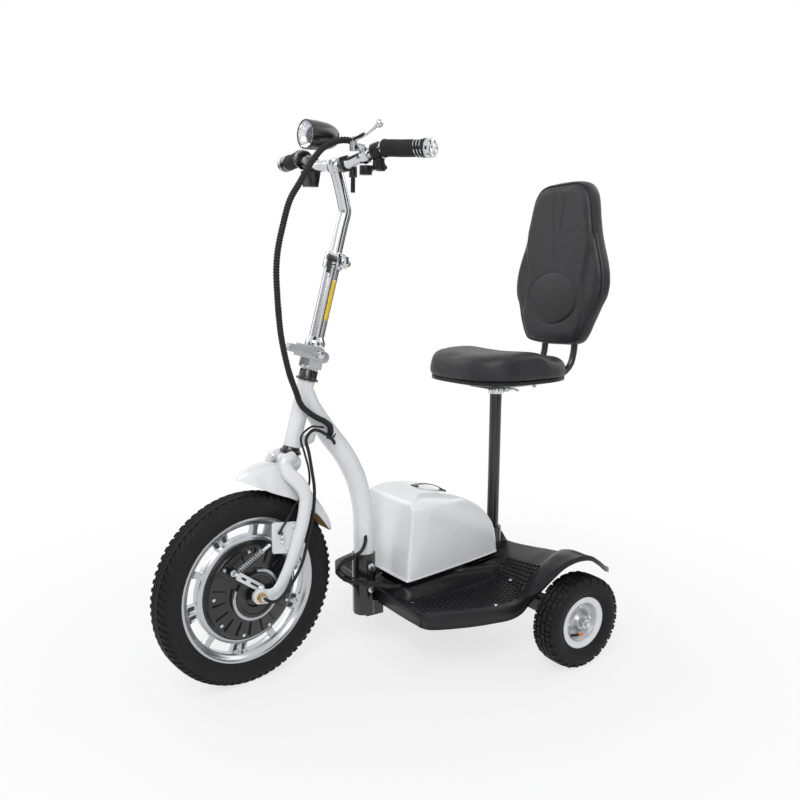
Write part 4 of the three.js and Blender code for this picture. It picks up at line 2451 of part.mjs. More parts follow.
// Ignition lock and key
const lockAxis = (z) => at(lockX, lockBarrelY, z);
add(
  "ignition_lock",
  cut(
    join(
      sleeve(lockX, lockWidth, barRadius + clampWallBar),
      rod(lockBarrelRadius, lockAxis(lockBarrelTopZ), lockAxis(lockBarrelBottomZ)),
      block(
        at(lockBarrelRadius, lockBarrelY - barY, lockBarrelRadius),
        at(lockX, (lockBarrelY + barY) / 2, barZ - lockBarrelRadius),
      ),
    ),
    barClearance,
    rod(
      bore(keyStemRadius, running, tubeSides),
      lockAxis(lockBarrelBottomZ + keyStemLength),
      lockAxis(lockBarrelBottomZ - overrun),
    ),
  ),
  "blackPaint",
  steering,
);
add(
  "ignition_key",
  join(
    rod(keyStemRadius, lockAxis(lockBarrelBottomZ + keyStemLength - gap), lockAxis(lockBarrelBottomZ - gap * 2)),
    block(
      at(keyBladeThickness, keyBladeWidth, keyBladeLength),
      lockAxis(lockBarrelBottomZ - gap - keyBladeLength / 2),
    ),
  ),
  "steel",
  steering,
);

// Horn and throttle housing
function horn() {
  const rect = (halfX, halfY, z) => [
    at(hornX - halfX, hornY - halfY, z),
    at(hornX + halfX, hornY - halfY, z),
    at(hornX + halfX, hornY + halfY, z),
    at(hornX - halfX, hornY + halfY, z),
  ];
  const body = loft([
    rect(hornWidth / 2, hornBottomDepth / 2, hornTopZ - hornHeight),
    rect(hornWidth / 2, hornTopWidth / 2, hornTopZ),
  ]);
  const hanger = block(
    at(hornBottomWidth / 2, hornBottomDepth / 2, barZ - hornTopZ + hornHeight / 2),
    at(hornX, hornY, (barZ + hornTopZ - hornHeight / 2) / 2),
  );
  return cut(join(sleeve(hornX, hornWidth, barRadius + clampWallBar), body, hanger), barClearance);
}
add("horn", horn(), "blackPlastic", steering);
add(
  "throttle_housing",
  cut(sleeve(throttleX, throttleWidth, throttleRadius), barClearance),
  "blackPlastic",
  steering,
);

// Headlight
add(
  "headlight_body",
  lampAxis(
    [
      [lensRadius + gap, 0],
      [lampRadius, 0],
      [lampRadius + lampWall / 2, lampRimDepth],
      [lampRadius - lampTail / 5, lampLength / 2],
      [lampTailRadius + lampTail / 3, (lampLength * 5) / 6],
      [0, lampLength],
      [0, lampLength - lampWall * 2],
      [lampTailRadius + lampTail / 3 - lampWall, (lampLength * 5) / 6 - lampWall * 2],
      [lampRadius - lampTail / 5 - lampWall, lampLength / 2],
      [lensRadius + gap, lampRimDepth],
    ],
    tubeSides,
  ),
  "polished",
  steering,
);
add(
  "headlight_lens",
  lampAxis(
    [
      [0, lensThickness],
      [0, -lensBulge],
      [lensRadius / 2, lensBulge / 4 - lensBulge],
      [lensRadius, 0],
      [lensRadius, lensThickness],
    ],
    tubeSides,
  ),
  "lens",
  steering,
);
// Cables
const bundleRoute = [...list(bundleSteeredRoute).map(steered), ...list(bundleFrameRoute)];
function cableBundle() {
  const path = curve(bundleRoute);
  const points = 8;
  const frames = path.computeFrenetFrames(bundleRibs, false);
  const rings = [];
  for (let i = 0; i <= bundleRibs; i++) {
    const centre = path.getPointAt(i / bundleRibs);
    const half = path.getLength() / bundleRibs / 4;
    for (const [offset, radius] of [
      [-half, bundleRadius - bundleRibDepth],
      [half, bundleRadius],
    ]) {
      rings.push(
        Array.from({ length: points }, (_, j) => {
          const angle = (j / points) * 2 * Math.PI;
          return centre
            .clone()
            .addScaledVector(frames.tangents[i], offset)
            .addScaledVector(frames.normals[i], radius * Math.cos(angle))
            .addScaledVector(frames.binormals[i], radius * Math.sin(angle));
        }),
      );
    }
  }
  return loft(rings);
}
add("cable_bundle", cableBundle(), "blackPlastic", frame);
const motorRoute = [...list(motorFrameRoute), ...list(motorSteeredRoute).map(steered)];
add("motor_cable", cord(motorRoute, motorCableRadius, cordSides, 18), "rubber", frame);
function brakeCable() {
  const sheath = [...list(brakeFrameRoute), ...list(brakeSteeredRoute).map(steered)];
  const into = [adjusterEnd + gap + brakeSheathRadius * 4, adjusterEnd + gap].map((d) => steered(alongLine(d)));
  const outer = cord([...sheath, ...into], brakeSheathRadius, cordSides, 19);
  const wire = rod(
    brakeWireRadius,
    steered(alongLine(0)),
    steered(alongLine(adjusterEnd + gap + brakeSheathRadius)),
    cordSides,
  );
  return join(outer, wire);
}
add("brake_cable", brakeCable(), "rubber", frame);
add("loop_cable", loopCable, "rubber", frame);

// The origin is under the middle of the scooter, on the ground
scooter.updateMatrixWorld(true);
const bounds = new THREE.Box3().setFromObject(scooter, true);
const footing = bounds.getCenter(at(0, 0, 0)).setZ(bounds.min.z);
frame.position.sub(footing);

export default scooter;
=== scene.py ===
import json
import math

import bmesh
import bpy
from mathutils import Matrix, Vector
from mathutils.bvhtree import BVHTree


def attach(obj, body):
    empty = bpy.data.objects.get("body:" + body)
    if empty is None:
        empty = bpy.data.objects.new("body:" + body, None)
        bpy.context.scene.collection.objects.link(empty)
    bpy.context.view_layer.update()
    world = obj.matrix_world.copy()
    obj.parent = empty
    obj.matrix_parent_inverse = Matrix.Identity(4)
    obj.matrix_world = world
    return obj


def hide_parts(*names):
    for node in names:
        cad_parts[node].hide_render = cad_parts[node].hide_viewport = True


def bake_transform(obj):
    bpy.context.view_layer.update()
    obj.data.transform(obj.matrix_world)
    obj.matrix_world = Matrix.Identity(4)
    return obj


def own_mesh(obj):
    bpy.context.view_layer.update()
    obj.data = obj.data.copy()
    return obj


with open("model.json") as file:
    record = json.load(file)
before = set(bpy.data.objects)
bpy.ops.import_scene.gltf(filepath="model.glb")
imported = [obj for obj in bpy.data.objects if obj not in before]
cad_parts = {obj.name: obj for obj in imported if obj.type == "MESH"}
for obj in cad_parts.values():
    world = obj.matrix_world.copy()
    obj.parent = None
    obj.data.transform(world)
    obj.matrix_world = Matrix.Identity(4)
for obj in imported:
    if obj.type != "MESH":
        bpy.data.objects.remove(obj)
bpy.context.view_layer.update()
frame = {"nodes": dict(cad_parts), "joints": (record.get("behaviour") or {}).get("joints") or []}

# Places are written in millimetres, straight ahead, with the front axle above y = 0
MM = 0.001
ROW = Vector((0, -339.407, 0.06))
PIVOT = Vector((0, 137, 556))
RAKE = math.radians(16)
STEER = math.radians(9.5)
AXIS_UP = Vector((0, math.sin(RAKE), math.cos(RAKE)))
AXIS_BACK = Vector((0, math.cos(RAKE), -math.sin(RAKE)))
TURN = Matrix.Rotation(STEER, 3, AXIS_UP)
X, Y, Z = Vector((1, 0, 0)), Vector((0, 1, 0)), Vector((0, 0, 1))
SIDE, BACK = TURN @ X, TURN @ AXIS_BACK


def place(x, y, z):
    """A place on the frame."""
    return (Vector((x, y, z)) + ROW) * MM


def steered(x, y, z):
    """A straight-ahead place, turned to where the resting steering holds it."""
    return (TURN @ (Vector((x, y, z)) - PIVOT) + PIVOT + ROW) * MM


def on_axis(up, back=0, x=0):
    """A place by its height along the steering axis and its distance behind it."""
    return (TURN @ (AXIS_UP * up + AXIS_BACK * back + X * x) + PIVOT + ROW) * MM


def frame_place(up, back=0, x=0):
    """The same for the frame, which the steering doesn't turn."""
    return (PIVOT + AXIS_UP * up + AXIS_BACK * back + X * x + ROW) * MM


def joint_place(name):
    joint = next(j for j in frame["joints"] if j["name"] == name)
    return Vector(joint["pos_m"])


WHEEL = joint_place("front_wheel_spin")
AXLE_Z = (TURN.inverted() @ (WHEEL / MM - ROW - PIVOT) + PIVOT).z


def soft_step(value):
    value = min(1, max(0, value))
    return value * value * (3 - 2 * value)


def sampled(table, value):
    """A table's second column where its first has the value."""
    for (a, v), (b, w) in zip(table, table[1:]):
        if a <= value <= b:
            return v + (w - v) * (value - a) / max(b - a, 1e-9)
    return table[0][1] if value < table[0][0] else table[-1][1]


# Camera
PICTURE_SIZE, FOCAL_LENGTH, PICTURE_CENTRE = 800, 799, (359, 452.6)


def stand_camera(eye, azimuth, pitch, roll):
    azimuth, pitch, roll = (math.radians(a) for a in (azimuth, pitch, roll))
    ahead = Vector((-math.sin(azimuth), math.cos(azimuth), 0)) * math.cos(pitch) - Z * math.sin(pitch)
    right = ahead.cross(Z).normalized()
    over = right.cross(ahead)
    right, over = (
        right * math.cos(roll) + over * math.sin(roll),
        over * math.cos(roll) - right * math.sin(roll),
    )
    lens = bpy.data.cameras.new("camera")
    camera = bpy.data.objects.new("camera", lens)
    bpy.context.scene.collection.objects.link(camera)
    lens.sensor_width = 36
    lens.lens = lens.sensor_width * FOCAL_LENGTH / PICTURE_SIZE
    lens.shift_x = (PICTURE_SIZE / 2 - PICTURE_CENTRE[0]) / PICTURE_SIZE
    lens.shift_y = (PICTURE_CENTRE[1] - PICTURE_SIZE / 2) / PICTURE_SIZE
    lens.clip_start, lens.clip_end = 0.05, 60
    turn = Matrix((right, over, -ahead)).transposed().to_4x4()
    camera.matrix_world = Matrix.Translation(eye) @ turn
    bpy.context.scene.camera = camera


stand_camera((1.463, -0.9234, 0.82906), 59.464, 12.38, -0.66)


# Node trees
class Value:
    """A node's output that can be used in sums like a number."""

    def __init__(self, nodes, socket):
        self.nodes, self.socket = nodes, socket

    def maths(self, operation, *others):
        return self.nodes.node("Math", {"operation": operation}, dict(enumerate((self, *others))))

    def __add__(self, other):
        return self.maths("ADD", other)

    __radd__ = __add__

    def __mul__(self, other):
        return self.maths("MULTIPLY", other)

    __rmul__ = __mul__

    def __sub__(self, other):
        return self.maths("SUBTRACT", other)

    def __rsub__(self, other):
        return self.nodes.node("Math", {"operation": "SUBTRACT"}, {0: other, 1: self})

    def __truediv__(self, other):
        return self.maths("DIVIDE", other)

    def step(self, low, high, least=0.0, most=1.0):
        """The least below low, the most above high, and smooth between."""
        inputs = {"Value": self, "From Min": low, "From Max": high, "To Min": least, "To Max": most}
        return self.nodes.node("MapRange", {"interpolation_type": "SMOOTHSTEP"}, inputs)

    def other(self, name):
        """Another output of the same node."""
        return Value(self.nodes, self.socket.node.outputs[name])


class Nodes:
    """A node tree whose sums are written with values and whose other nodes all come from one method."""

    def __init__(self, tree):
        self.tree = tree

    def give(self, node, name, value):
        socket = node.inputs[name]
        if isinstance(value, Value):
            self.tree.links.new(value.socket, socket)
        elif isinstance(value, tuple) and socket.type == "RGBA":
            socket.default_value = (*value, 1)
        else:
            socket.default_value = value

    def node(self, kind, settings=None, inputs=None, output=0):
        node = self.tree.nodes.new(kind if "Node" in kind else "ShaderNode" + kind)
        for name, value in (settings or {}).items():
            setattr(node, name, value)
        for name, value in (inputs or {}).items():
            self.give(node, name, value)
        return Value(self, node.outputs[output]) if node.outputs else None

    def seen_directly(self):
        """1 for what the camera, a reflection or a lens sees, and 0 for light on its way."""
        camera = self.node("LightPath", output="Is Camera Ray")
        mirrored = camera.maths("MAXIMUM", camera.other("Is Glossy Ray"))
        return mirrored.maths("MAXIMUM", camera.other("Is Transmission Ray"))


class Look(Nodes):
    """A procedural material with one main shader."""

    def __init__(self, name, **constants):
        self.material = bpy.data.materials.new(name)
        self.material.use_nodes = True
        super().__init__(self.material.node_tree)
        self.shader = self.tree.nodes["Principled BSDF"]
        self.set(**constants)
        self.place = self.node("TexCoord", output="Object")

    def noise(self, scale, detail=3, rough=0.55, place=None):
        inputs = {"Vector": place or self.place, "Scale": scale, "Detail": detail, "Roughness": rough}
        return self.node("TexNoise", {"noise_dimensions": "3D"}, inputs)

    def cells(self, scale, feature="F1"):
        return self.node("TexVoronoi", {"feature": feature}, {"Vector": self.place, "Scale": scale}, "Distance")

    def stretched(self, x, y, z):
        return self.node("Mapping", {}, {"Vector": self.place, "Scale": (x, y, z)})

    def mix(self, share, first, second):
        return self.node("Mix", {"data_type": "RGBA"}, {0: share, 6: first, 7: second}, 2)

    def bump(self, height, strength, distance=0.001):
        return self.node("Bump", {}, {"Height": height, "Strength": strength, "Distance": distance})

    def set(self, **values):
        for name, value in values.items():
            self.give(self.shader, name.replace("_", " "), value)
        return self.material


def tinted(colour, share, more=0.0):
    return tuple(min(1, c * share + more) for c in colour)


def painted(name, colour, worn, rough=0.22, coat=0.6, peel=0.05):
    """Sprayed enamel: faint orange peel, cloudy tone, fine dust specks and handling marks."""
    look = Look(name, Coat_Roughness=0.06)
    cloud = look.noise(9, 4)
    specks = look.cells(420).step(0.16, 0.05) * look.noise(30, 2).step(0.52, 0.7)
    rubs = look.noise(60, 5, 0.7, look.stretched(1, 0.35, 2.2)).step(0.6, 0.8)
    base = look.mix(cloud.step(0.3, 0.75), colour, tinted(colour, 0.94))
    base = look.mix(specks * 0.35, base, worn)
    look.set(Base_Color=look.mix(rubs * 0.14, base, worn))
    look.set(Roughness=rubs * 0.16 + cloud * 0.08 + (rough - 0.04))
    look.set(Coat_Weight=coat - rubs * 0.25)
    return look.set(Normal=look.bump(look.noise(260, 2), peel, 0.0006))


def moulded(name, colour, worn, rough=0.5, grain=0.22, scale=900):
    """Moulded plastic: spark-eroded grain, flow tone and pale scuffs."""
    look = Look(name, Specular_IOR_Level=0.28)
    flow = look.noise(7, 4)
    scuffs = look.noise(75, 6, 0.75, look.stretched(2.6, 0.5, 1)).step(0.62, 0.78)
    fine = look.cells(scale) * 0.7 + look.noise(scale * 0.4, 2) * 0.3
    base = look.mix(flow.step(0.25, 0.8), colour, tinted(colour, 1.3, 0.002))
    look.set(Base_Color=look.mix(scuffs * 0.12, base, worn))
    look.set(Roughness=flow * 0.14 + scuffs * 0.12 + (rough - 0.07))
    return look.set(Normal=look.bump(fine, grain, 0.0004))


def metal(name, colour, rough, brush=(1, 1, 1), grain=0.05, stain=0.5):
    """Bare or plated metal: fine finishing lines, soft haze and a little tarnish."""
    look = Look(name, Metallic=1.0)
    haze = look.noise(28, 4)
    lines = look.noise(340, 4, 0.6, look.stretched(*brush))
    dull = haze.step(0.5, 0.85)
    look.set(Base_Color=look.mix(dull * stain, colour, tinted(colour, 0.72)))
    look.set(Roughness=haze * 0.08 + lines * 0.04 + (rough - 0.04))
    return look.set(Normal=look.bump(lines, grain, 0.00006))


def vinyl(name, colour):
    """Self-skinned foam: pebbled skin, soft bloom, and patches painted a lighter grey that are partly rub wear and
    partly painted sheen.
    """
    look = Look(name, Specular_IOR_Level=0.42, Sheen_Weight=0.05, Sheen_Roughness=0.5)
    pebble = look.cells(520, "SMOOTH_F1")
    bloom = look.noise(11, 5, 0.6)
    rub_wear_and_sheen = look.noise(38, 5, 0.7, look.stretched(1, 1, 0.6)).step(0.55, 0.8)
    base = look.mix(bloom.step(0.3, 0.75), colour, tinted(colour, 1.55))
    # Patches painted a lighter grey: partly rub wear, partly painted sheen.
    look.set(Base_Color=look.mix(rub_wear_and_sheen * 0.18, base, (0.16, 0.16, 0.17)))
    look.set(Roughness=pebble * 0.18 + bloom * 0.12 + 0.34)
    return look.set(Normal=look.bump(pebble * 0.8 + look.noise(1300, 2) * 0.2, 0.3, 0.0005))


def rubber(name, colour, dust=0.3):
    """Tyre and grip rubber: matt, dusty in patches, with fine mould texture."""
    look = Look(name, Specular_IOR_Level=0.2)
    patch = look.noise(16, 5, 0.6).step(0.42, 0.75)
    fine = look.noise(700, 3)
    streak = look.noise(45, 4, 0.7, look.stretched(1, 3, 1)).step(0.5, 0.8)
    base = look.mix(patch * dust, colour, (0.05, 0.048, 0.045))
    look.set(Base_Color=look.mix(streak * 0.1, base, (0.08, 0.08, 0.08)))
    look.set(Roughness=patch * 0.16 + fine * 0.1 + 0.5)
    return look.set(Normal=look.bump(fine * 0.6 + look.noise(90, 3) * 0.4, 0.25, 0.0006))


def clear(name):
    """Moulded clear lens with a faint ripple and dust."""
    look = Look(name, Transmission_Weight=1.0, IOR=1.45, Base_Color=(0.97, 0.98, 1))
    look.set(Roughness=look.noise(60, 3).step(0.45, 0.9) * 0.12 + 0.02)
    return look.set(Normal=look.bump(look.cells(160), 0.35, 0.0012))


def banded(name, first, second, width, rough=0.35, metallic=0.0):
    """A finish with wound turns along the piece's own height."""
    look = Look(name, Metallic=metallic)
    inputs = {"Vector": look.place, "Scale": width, "Distortion": 0.6}
    turns = look.node("TexWave", {"bands_direction": "Z"}, inputs, "Fac")
    look.set(Base_Color=look.mix(turns.step(0.2, 0.8), first, second))
    look.set(Roughness=turns * 0.15 + rough)
    return look.set(Normal=look.bump(turns + look.noise(200, 3) * 0.2, 0.4))


WHITE = painted("white enamel", (0.80, 0.82, 0.84), (0.6, 0.6, 0.58))
WHITE_COVER = painted("white gloss plastic", (0.83, 0.84, 0.86), (0.66, 0.66, 0.66), 0.2, 0.7, 0.03)
BLACK = painted("black enamel", (0.011, 0.011, 0.012), (0.07, 0.07, 0.07), 0.24, 0.3)
BLACK_SHELL = painted("black motor enamel", (0.009, 0.009, 0.01), (0.08, 0.08, 0.08), 0.22, 0.25, 0.06)
PLASTIC = moulded("black moulded plastic", (0.012, 0.012, 0.0135), (0.09, 0.09, 0.095), 0.36)
PLASTIC_FINE = moulded("fine black plastic", (0.011, 0.011, 0.0125), (0.09, 0.09, 0.09), 0.28, 0.12, 1500)
TYRE = rubber("tyre rubber", (0.011, 0.011, 0.012), 0.22)
GRIP = rubber("grip rubber", (0.02, 0.02, 0.021), 0.15)
CHROME = metal("polished plate", (0.62, 0.63, 0.65), 0.13, (1, 1, 6), 0.02, 0.3)
ALLOY = metal("turned alloy", (0.52, 0.53, 0.55), 0.22, (1, 1, 1), 0.02, 0.3)
STEEL = metal("bright zinc steel", (0.66, 0.68, 0.7), 0.24, (1, 1, 5), 0.08, 0.6)
CAST = metal("cast alloy", (0.5, 0.51, 0.52), 0.42, (1, 1, 1), 0.3, 0.5)
BRASS = metal("yellow brass", (0.62, 0.42, 0.17), 0.28, (1, 1, 4), 0.06, 0.7)
COPPER = banded("copper winding", (0.6, 0.26, 0.1), (0.3, 0.12, 0.05), 220, 0.3, 0.8)
WRAP = banded("blue cell wrap", (0.03, 0.1, 0.22), (0.02, 0.07, 0.17), 60)
SEAT = vinyl("black foam skin", (0.014, 0.014, 0.016))
LENS = clear("clear lamp lens")
# The front fender's underside is given a brown colour.
BROWN = moulded("brown fender underside", (0.42, 0.25, 0.11), (0.5, 0.34, 0.18), 0.6, 0.3, 500)
YELLOW = painted("plain yellow band", (0.85, 0.6, 0.04), (0.5, 0.4, 0.1), 0.3, 0.3)
ORANGE = moulded("orange valve cap", (0.7, 0.2, 0.03), (0.6, 0.3, 0.1), 0.4)
GREY = moulded("grey strap plastic", (0.2, 0.2, 0.21), (0.4, 0.4, 0.4), 0.45)

# The record's material slot for each finish, where a piece doesn't say another
SLOTS = {
    WHITE: "white_paint",
    WHITE_COVER: "white_plastic",
    BLACK: "black_paint",
    BLACK_SHELL: "black_plastic",
    PLASTIC: "black_plastic",
    PLASTIC_FINE: "black_plastic",
    TYRE: "tyre",
    GRIP: "rubber",
    CHROME: "polished_metal",
    ALLOY: "polished_metal",
    STEEL: "bright_steel",
    CAST: "cast_grey",
    BRASS: "brass",
    COPPER: "copper_winding",
    WRAP: "battery_wrap",
    SEAT: "seat_vinyl",
    LENS: "clear_lens",
    ORANGE: "rubber",
    GREY: "black_plastic",
}


# Mesh tools
def unit(vector):
    return Vector(vector).normalized()


def rays(axis):
    """The direction out from an axis at an angle."""
    out = axis.orthogonal().normalized()
    across = axis.cross(out)
    return lambda angle: out * math.cos(angle) + across * math.sin(angle)


def path_through(points, per_span=8):
    """A centripetal curve through points of any dimension, as a list."""
    points = [Vector(p) for p in points]
    knots = [0.0]
    for a, b in zip(points, points[1:]):
        knots.append(knots[-1] + max((b - a).length, 1e-9) ** 0.5)
    ends = [points[0] * 2 - points[1], *points, points[-1] * 2 - points[-2]]
    t = [2 * knots[0] - knots[1], *knots, 2 * knots[-1] - knots[-2]]

    def between(a, b, i, j, s):
        """From a at knot i to b at knot j, read at s."""
        return a * ((t[j] - s) / (t[j] - t[i])) + b * ((s - t[i]) / (t[j] - t[i]))

    out = []
    for i in range(1, len(ends) - 2):
        for k in range(per_span):
            s = t[i] + (t[i + 1] - t[i]) * k / per_span
            row = [between(ends[i + j - 1], ends[i + j], i + j - 1, i + j, s) for j in range(3)]
            mid = [between(row[j], row[j + 1], i + j - 1, i + j + 1, s) for j in range(2)]
            out.append(between(mid[0], mid[1], i, i + 1, s))
    return [*out, points[-1]]


def grid_faces(rows, columns, wrap_rows=False, wrap_columns=False):
    faces = []
    for i in range(rows - (0 if wrap_rows else 1)):
        for j in range(columns - (0 if wrap_columns else 1)):
            a, b = (i + 1) % rows, (j + 1) % columns
            faces.append((i * columns + j, i * columns + b, a * columns + b, a * columns + j))
    return faces


def ring_faces(rows, columns, capped=True):
    """The faces of stacked rings, with a cap at each end."""
    faces = grid_faces(rows, columns, False, True)
    if capped:
        faces += [tuple(range(columns)), tuple((rows - 1) * columns + k for k in range(columns))]
    return faces


def turned_about(rows, centre, axis, steps=96, closed=False):
    """Rows of (along, radius) in millimetres turned about an axis."""
    axis = unit(axis)
    ray = rays(axis)
    points = []
    for along, radius in rows:
        for k in range(steps):
            points.append(Vector(centre) + (axis * along + ray(2 * math.pi * k / steps) * radius) * MM)
    if closed:
        return points, grid_faces(len(rows), steps, True, True)
    return points, ring_faces(len(rows), steps)


def swept(points, widths, side=X, sides=20, capped=True):
    """A tube along points. A width is a radius, or (half across side, half the other way), in millimetres."""
    rings, count = [], len(points)
    for i, point in enumerate(points):
        ahead = unit(points[min(i + 1, count - 1)] - points[max(i - 1, 0)])
        first = unit(side - ahead * side.dot(ahead))
        second = ahead.cross(first)
        width = widths[i] if isinstance(widths, list) else widths
        a, b = width if hasattr(width, "__len__") else (width, width)
        for k in range(sides):
            t = 2 * math.pi * k / sides
            rings.append(point + (first * (math.cos(t) * a) + second * (math.sin(t) * b)) * MM)
    return rings, ring_faces(count, sides, capped)


def lofted(rings):
    """A closed solid through rings of the same count."""
    return [p for ring in rings for p in ring], ring_faces(len(rings), len(rings[0]))


def boxed(size, centre, x=X, y=Y, z=Z):
    """A block by its size in millimetres, its centre and its three directions."""
    corners = [(i, j, k) for i in (-1, 1) for j in (-1, 1) for k in (-1, 1)]
    points = [
        Vector(centre) + (x * (i * size[0]) + y * (j * size[1]) + z * (k * size[2])) * (MM / 2) for i, j, k in corners
    ]
    return points, [(0, 1, 3, 2), (4, 6, 7, 5), (0, 4, 5, 1), (2, 3, 7, 6), (0, 2, 6, 4), (1, 5, 7, 3)]


def together(*shapes):
    points, faces = [], []
    for shape_points, shape_faces in shapes:
        start = len(points)
        points += list(shape_points)
        faces += [tuple(start + i for i in face) for face in shape_faces]
    return points, faces


def applied(piece):
    """The piece's modifiers made its mesh."""
    graph = bpy.context.evaluated_depsgraph_get()
    mesh = bpy.data.meshes.new_from_object(piece.evaluated_get(graph))
    piece.modifiers.clear()
    piece.data = mesh
    return piece


def linked(name, mesh, *looks):
    """A new object for a mesh, with its finishes."""
    piece = bpy.data.objects.new(name, mesh)
    bpy.context.scene.collection.objects.link(piece)
    for look in looks:
        mesh.materials.append(look)
    return piece


def mesh_of(name, points, faces):
    mesh = bpy.data.meshes.new(name)
    mesh.from_pydata([tuple(p) for p in points], [], faces)
    return mesh


def tidied(mesh, outward=True):
    work = bmesh.new()
    work.from_mesh(mesh)
    bmesh.ops.remove_doubles(work, verts=work.verts, dist=2e-6)
    if outward:
        bmesh.ops.recalc_face_normals(work, faces=work.faces)
    work.to_mesh(mesh)
    work.free()
    return mesh


def shaded(piece, angle):
    piece.data.shade_smooth()
    piece.data.set_sharp_from_angle(angle=math.radians(angle))
    return piece


def finish_edges(piece, edge, angle=38, steps=2):
    if edge:
        bevel = piece.modifiers.new("edge", "BEVEL")
        bevel.width, bevel.segments, bevel.limit_method = edge * MM, steps, "ANGLE"
        bevel.angle_limit = math.radians(angle)
        bevel.use_clamp_overlap = True
        applied(piece)
    return shaded(piece, angle)


def made(name, shape, look, edge=0.0, angle=38, steps=2):
    """A new mesh piece with one finish, softened edges and a smooth look."""
    piece = linked(name, tidied(mesh_of(name, *shape)), look)
    return finish_edges(piece, edge, angle, steps)


def settle(piece, body, slot=None, *nodes):
    """The piece rides on its body, and stands for the nodes it is made after."""
    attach(piece, body)
    if nodes:
        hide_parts(*nodes)
    return piece


def fitted(name, shape, look, body, *nodes, edge=0.0, angle=38, steps=2, slot=None):
    """A made piece, settled on its body."""
    return settle(made(name, shape, look, edge, angle, steps), body, slot or SLOTS[look], *nodes)


def dressed(node, look, body, edge=0.5, angle=38, slot=None):
    """A merged copy of a node with softened edges, which stands for it."""
    mesh = frame["nodes"][node].data.copy()
    mesh.materials.clear()
    piece = linked(node + "_skin", mesh, look)
    work = bmesh.new()
    work.from_mesh(mesh)
    bmesh.ops.remove_doubles(work, verts=work.verts, dist=1e-5)
    flat = [e for e in work.edges if len(e.link_faces) == 2 and e.calc_face_angle(9) < math.radians(1.5)]
    bmesh.ops.dissolve_edges(work, edges=flat, use_verts=False)
    work.to_mesh(mesh)
    work.free()
    finish_edges(piece, edge, angle)
    return settle(piece, body, slot or SLOTS[look], node)


def skin_piece(name, rows, thickness, looks, edge=0.3, angle=40):
    """An open net of points given a wall, with its own finish inside."""
    mesh = mesh_of(name, [p for row in rows for p in row], grid_faces(len(rows), len(rows[0])))
    piece = linked(name, tidied(mesh, False), *looks)
    wall = piece.modifiers.new("wall", "SOLIDIFY")
    wall.thickness, wall.offset = thickness * MM, -1.0
    if len(looks) > 1:
        wall.material_offset = 1
    return finish_edges(piece, edge, angle)


# Trees that repeat one small shape
def repeat_tree(name, inputs, copies_of):
    """A tree that sets copies of a shape, with its inputs' names inside Blender."""
    group = bpy.data.node_groups.new(name, "GeometryNodeTree")
    ids = {}
    for label, kind in {"Geometry": "Geometry", **inputs, "Finish": "Material"}.items():
        socket = group.interface.new_socket(label, in_out="INPUT", socket_type="NodeSocket" + kind)
        ids[label] = socket.identifier
    group.interface.new_socket("Geometry", in_out="OUTPUT", socket_type="NodeSocketGeometry")
    tree = Nodes(group)
    given = tree.node("NodeGroupInput")
    copies = copies_of(tree, given)
    real = tree.node("GeometryNodeRealizeInstances", {}, {"Geometry": copies})
    coated = tree.node("GeometryNodeSetMaterial", {}, {"Geometry": real, "Material": given.other("Finish")})
    tree.node("NodeGroupOutput", {}, {"Geometry": coated})
    return group, ids


def turned_evenly(tree, given):
    """Copies of the shape turned evenly about an axis through a centre."""
    count = given.other("Count")
    line = tree.node("GeometryNodeMeshLine", {}, {"Count": count, "Offset": (0, 0, 0)})
    angle = tree.node("GeometryNodeInputIndex") / count * (2 * math.pi)
    turn = tree.node("FunctionNodeAxisAngleToRotation", {}, {"Axis": given.other("Axis"), "Angle": angle})
    inputs = {"Points": line, "Instance": given.other("Geometry"), "Rotation": turn}
    spread = tree.node("GeometryNodeInstanceOnPoints", {}, inputs)
    inputs = {"Geometry": spread, "Translation": given.other("Centre")}
    return tree.node("GeometryNodeTransform", {}, inputs)


def set_on_points(tree, given):
    """Copies of a unit shape on every point of the mesh, turned as the point's facing says."""
    unit_shape = tree.node("GeometryNodeObjectInfo", {}, {"Object": given.other("Unit")}, "Geometry")
    facing = tree.node(
        "GeometryNodeInputNamedAttribute", {"data_type": "FLOAT_VECTOR"}, {"Name": "facing"}, "Attribute"
    )
    inputs = {"Points": given.other("Geometry"), "Instance": unit_shape, "Rotation": facing}
    return tree.node("GeometryNodeInstanceOnPoints", {}, {**inputs, "Scale": given.other("Unit size")})


RING = repeat_tree("evenly round an axle", {"Count": "Int", "Centre": "Vector", "Axis": "Vector"}, turned_evenly)
SCATTER = repeat_tree("units on places", {"Unit": "Object", "Unit size": "Float"}, set_on_points)


def run_tree(piece, tree_ids, values):
    tree, ids = tree_ids
    modifier = piece.modifiers.new("repeat", "NODES")
    modifier.node_group = tree
    for label, value in values.items():
        modifier[ids[label]] = value
    piece.update_tag()
    bpy.context.view_layer.update()
    return applied(piece)


def round_axle(name, shape, count, centre, axis, look, body, edge=0.0, angle=38, slot=None):
    """shape is at its place for the first copy; it repeats about the axis."""
    moved = ([Vector(p) - Vector(centre) for p in shape[0]], shape[1])
    piece = made(name, moved, look, edge, angle)
    run_tree(piece, RING, {"Count": count, "Centre": tuple(centre), "Axis": tuple(unit(axis)), "Finish": look})
    return settle(shaded(piece, angle), body, slot or SLOTS[look])


def scattered(name, places, facings, shape, look, body, angle=38):
    """The unit shape, drawn about the origin with +Z outwards, set on places."""
    unit_piece = made(name + "_unit", shape, look, 0, angle)
    mesh = mesh_of(name, places, [])
    facing = mesh.attributes.new("facing", "FLOAT_VECTOR", "POINT")
    for item, turn in zip(facing.data, facings):
        item.vector = turn
    piece = linked(name, mesh)
    run_tree(piece, SCATTER, {"Unit": unit_piece, "Unit size": 1.0, "Finish": look})
    bpy.data.objects.remove(unit_piece)
    return settle(shaded(piece, angle), body, SLOTS[look])


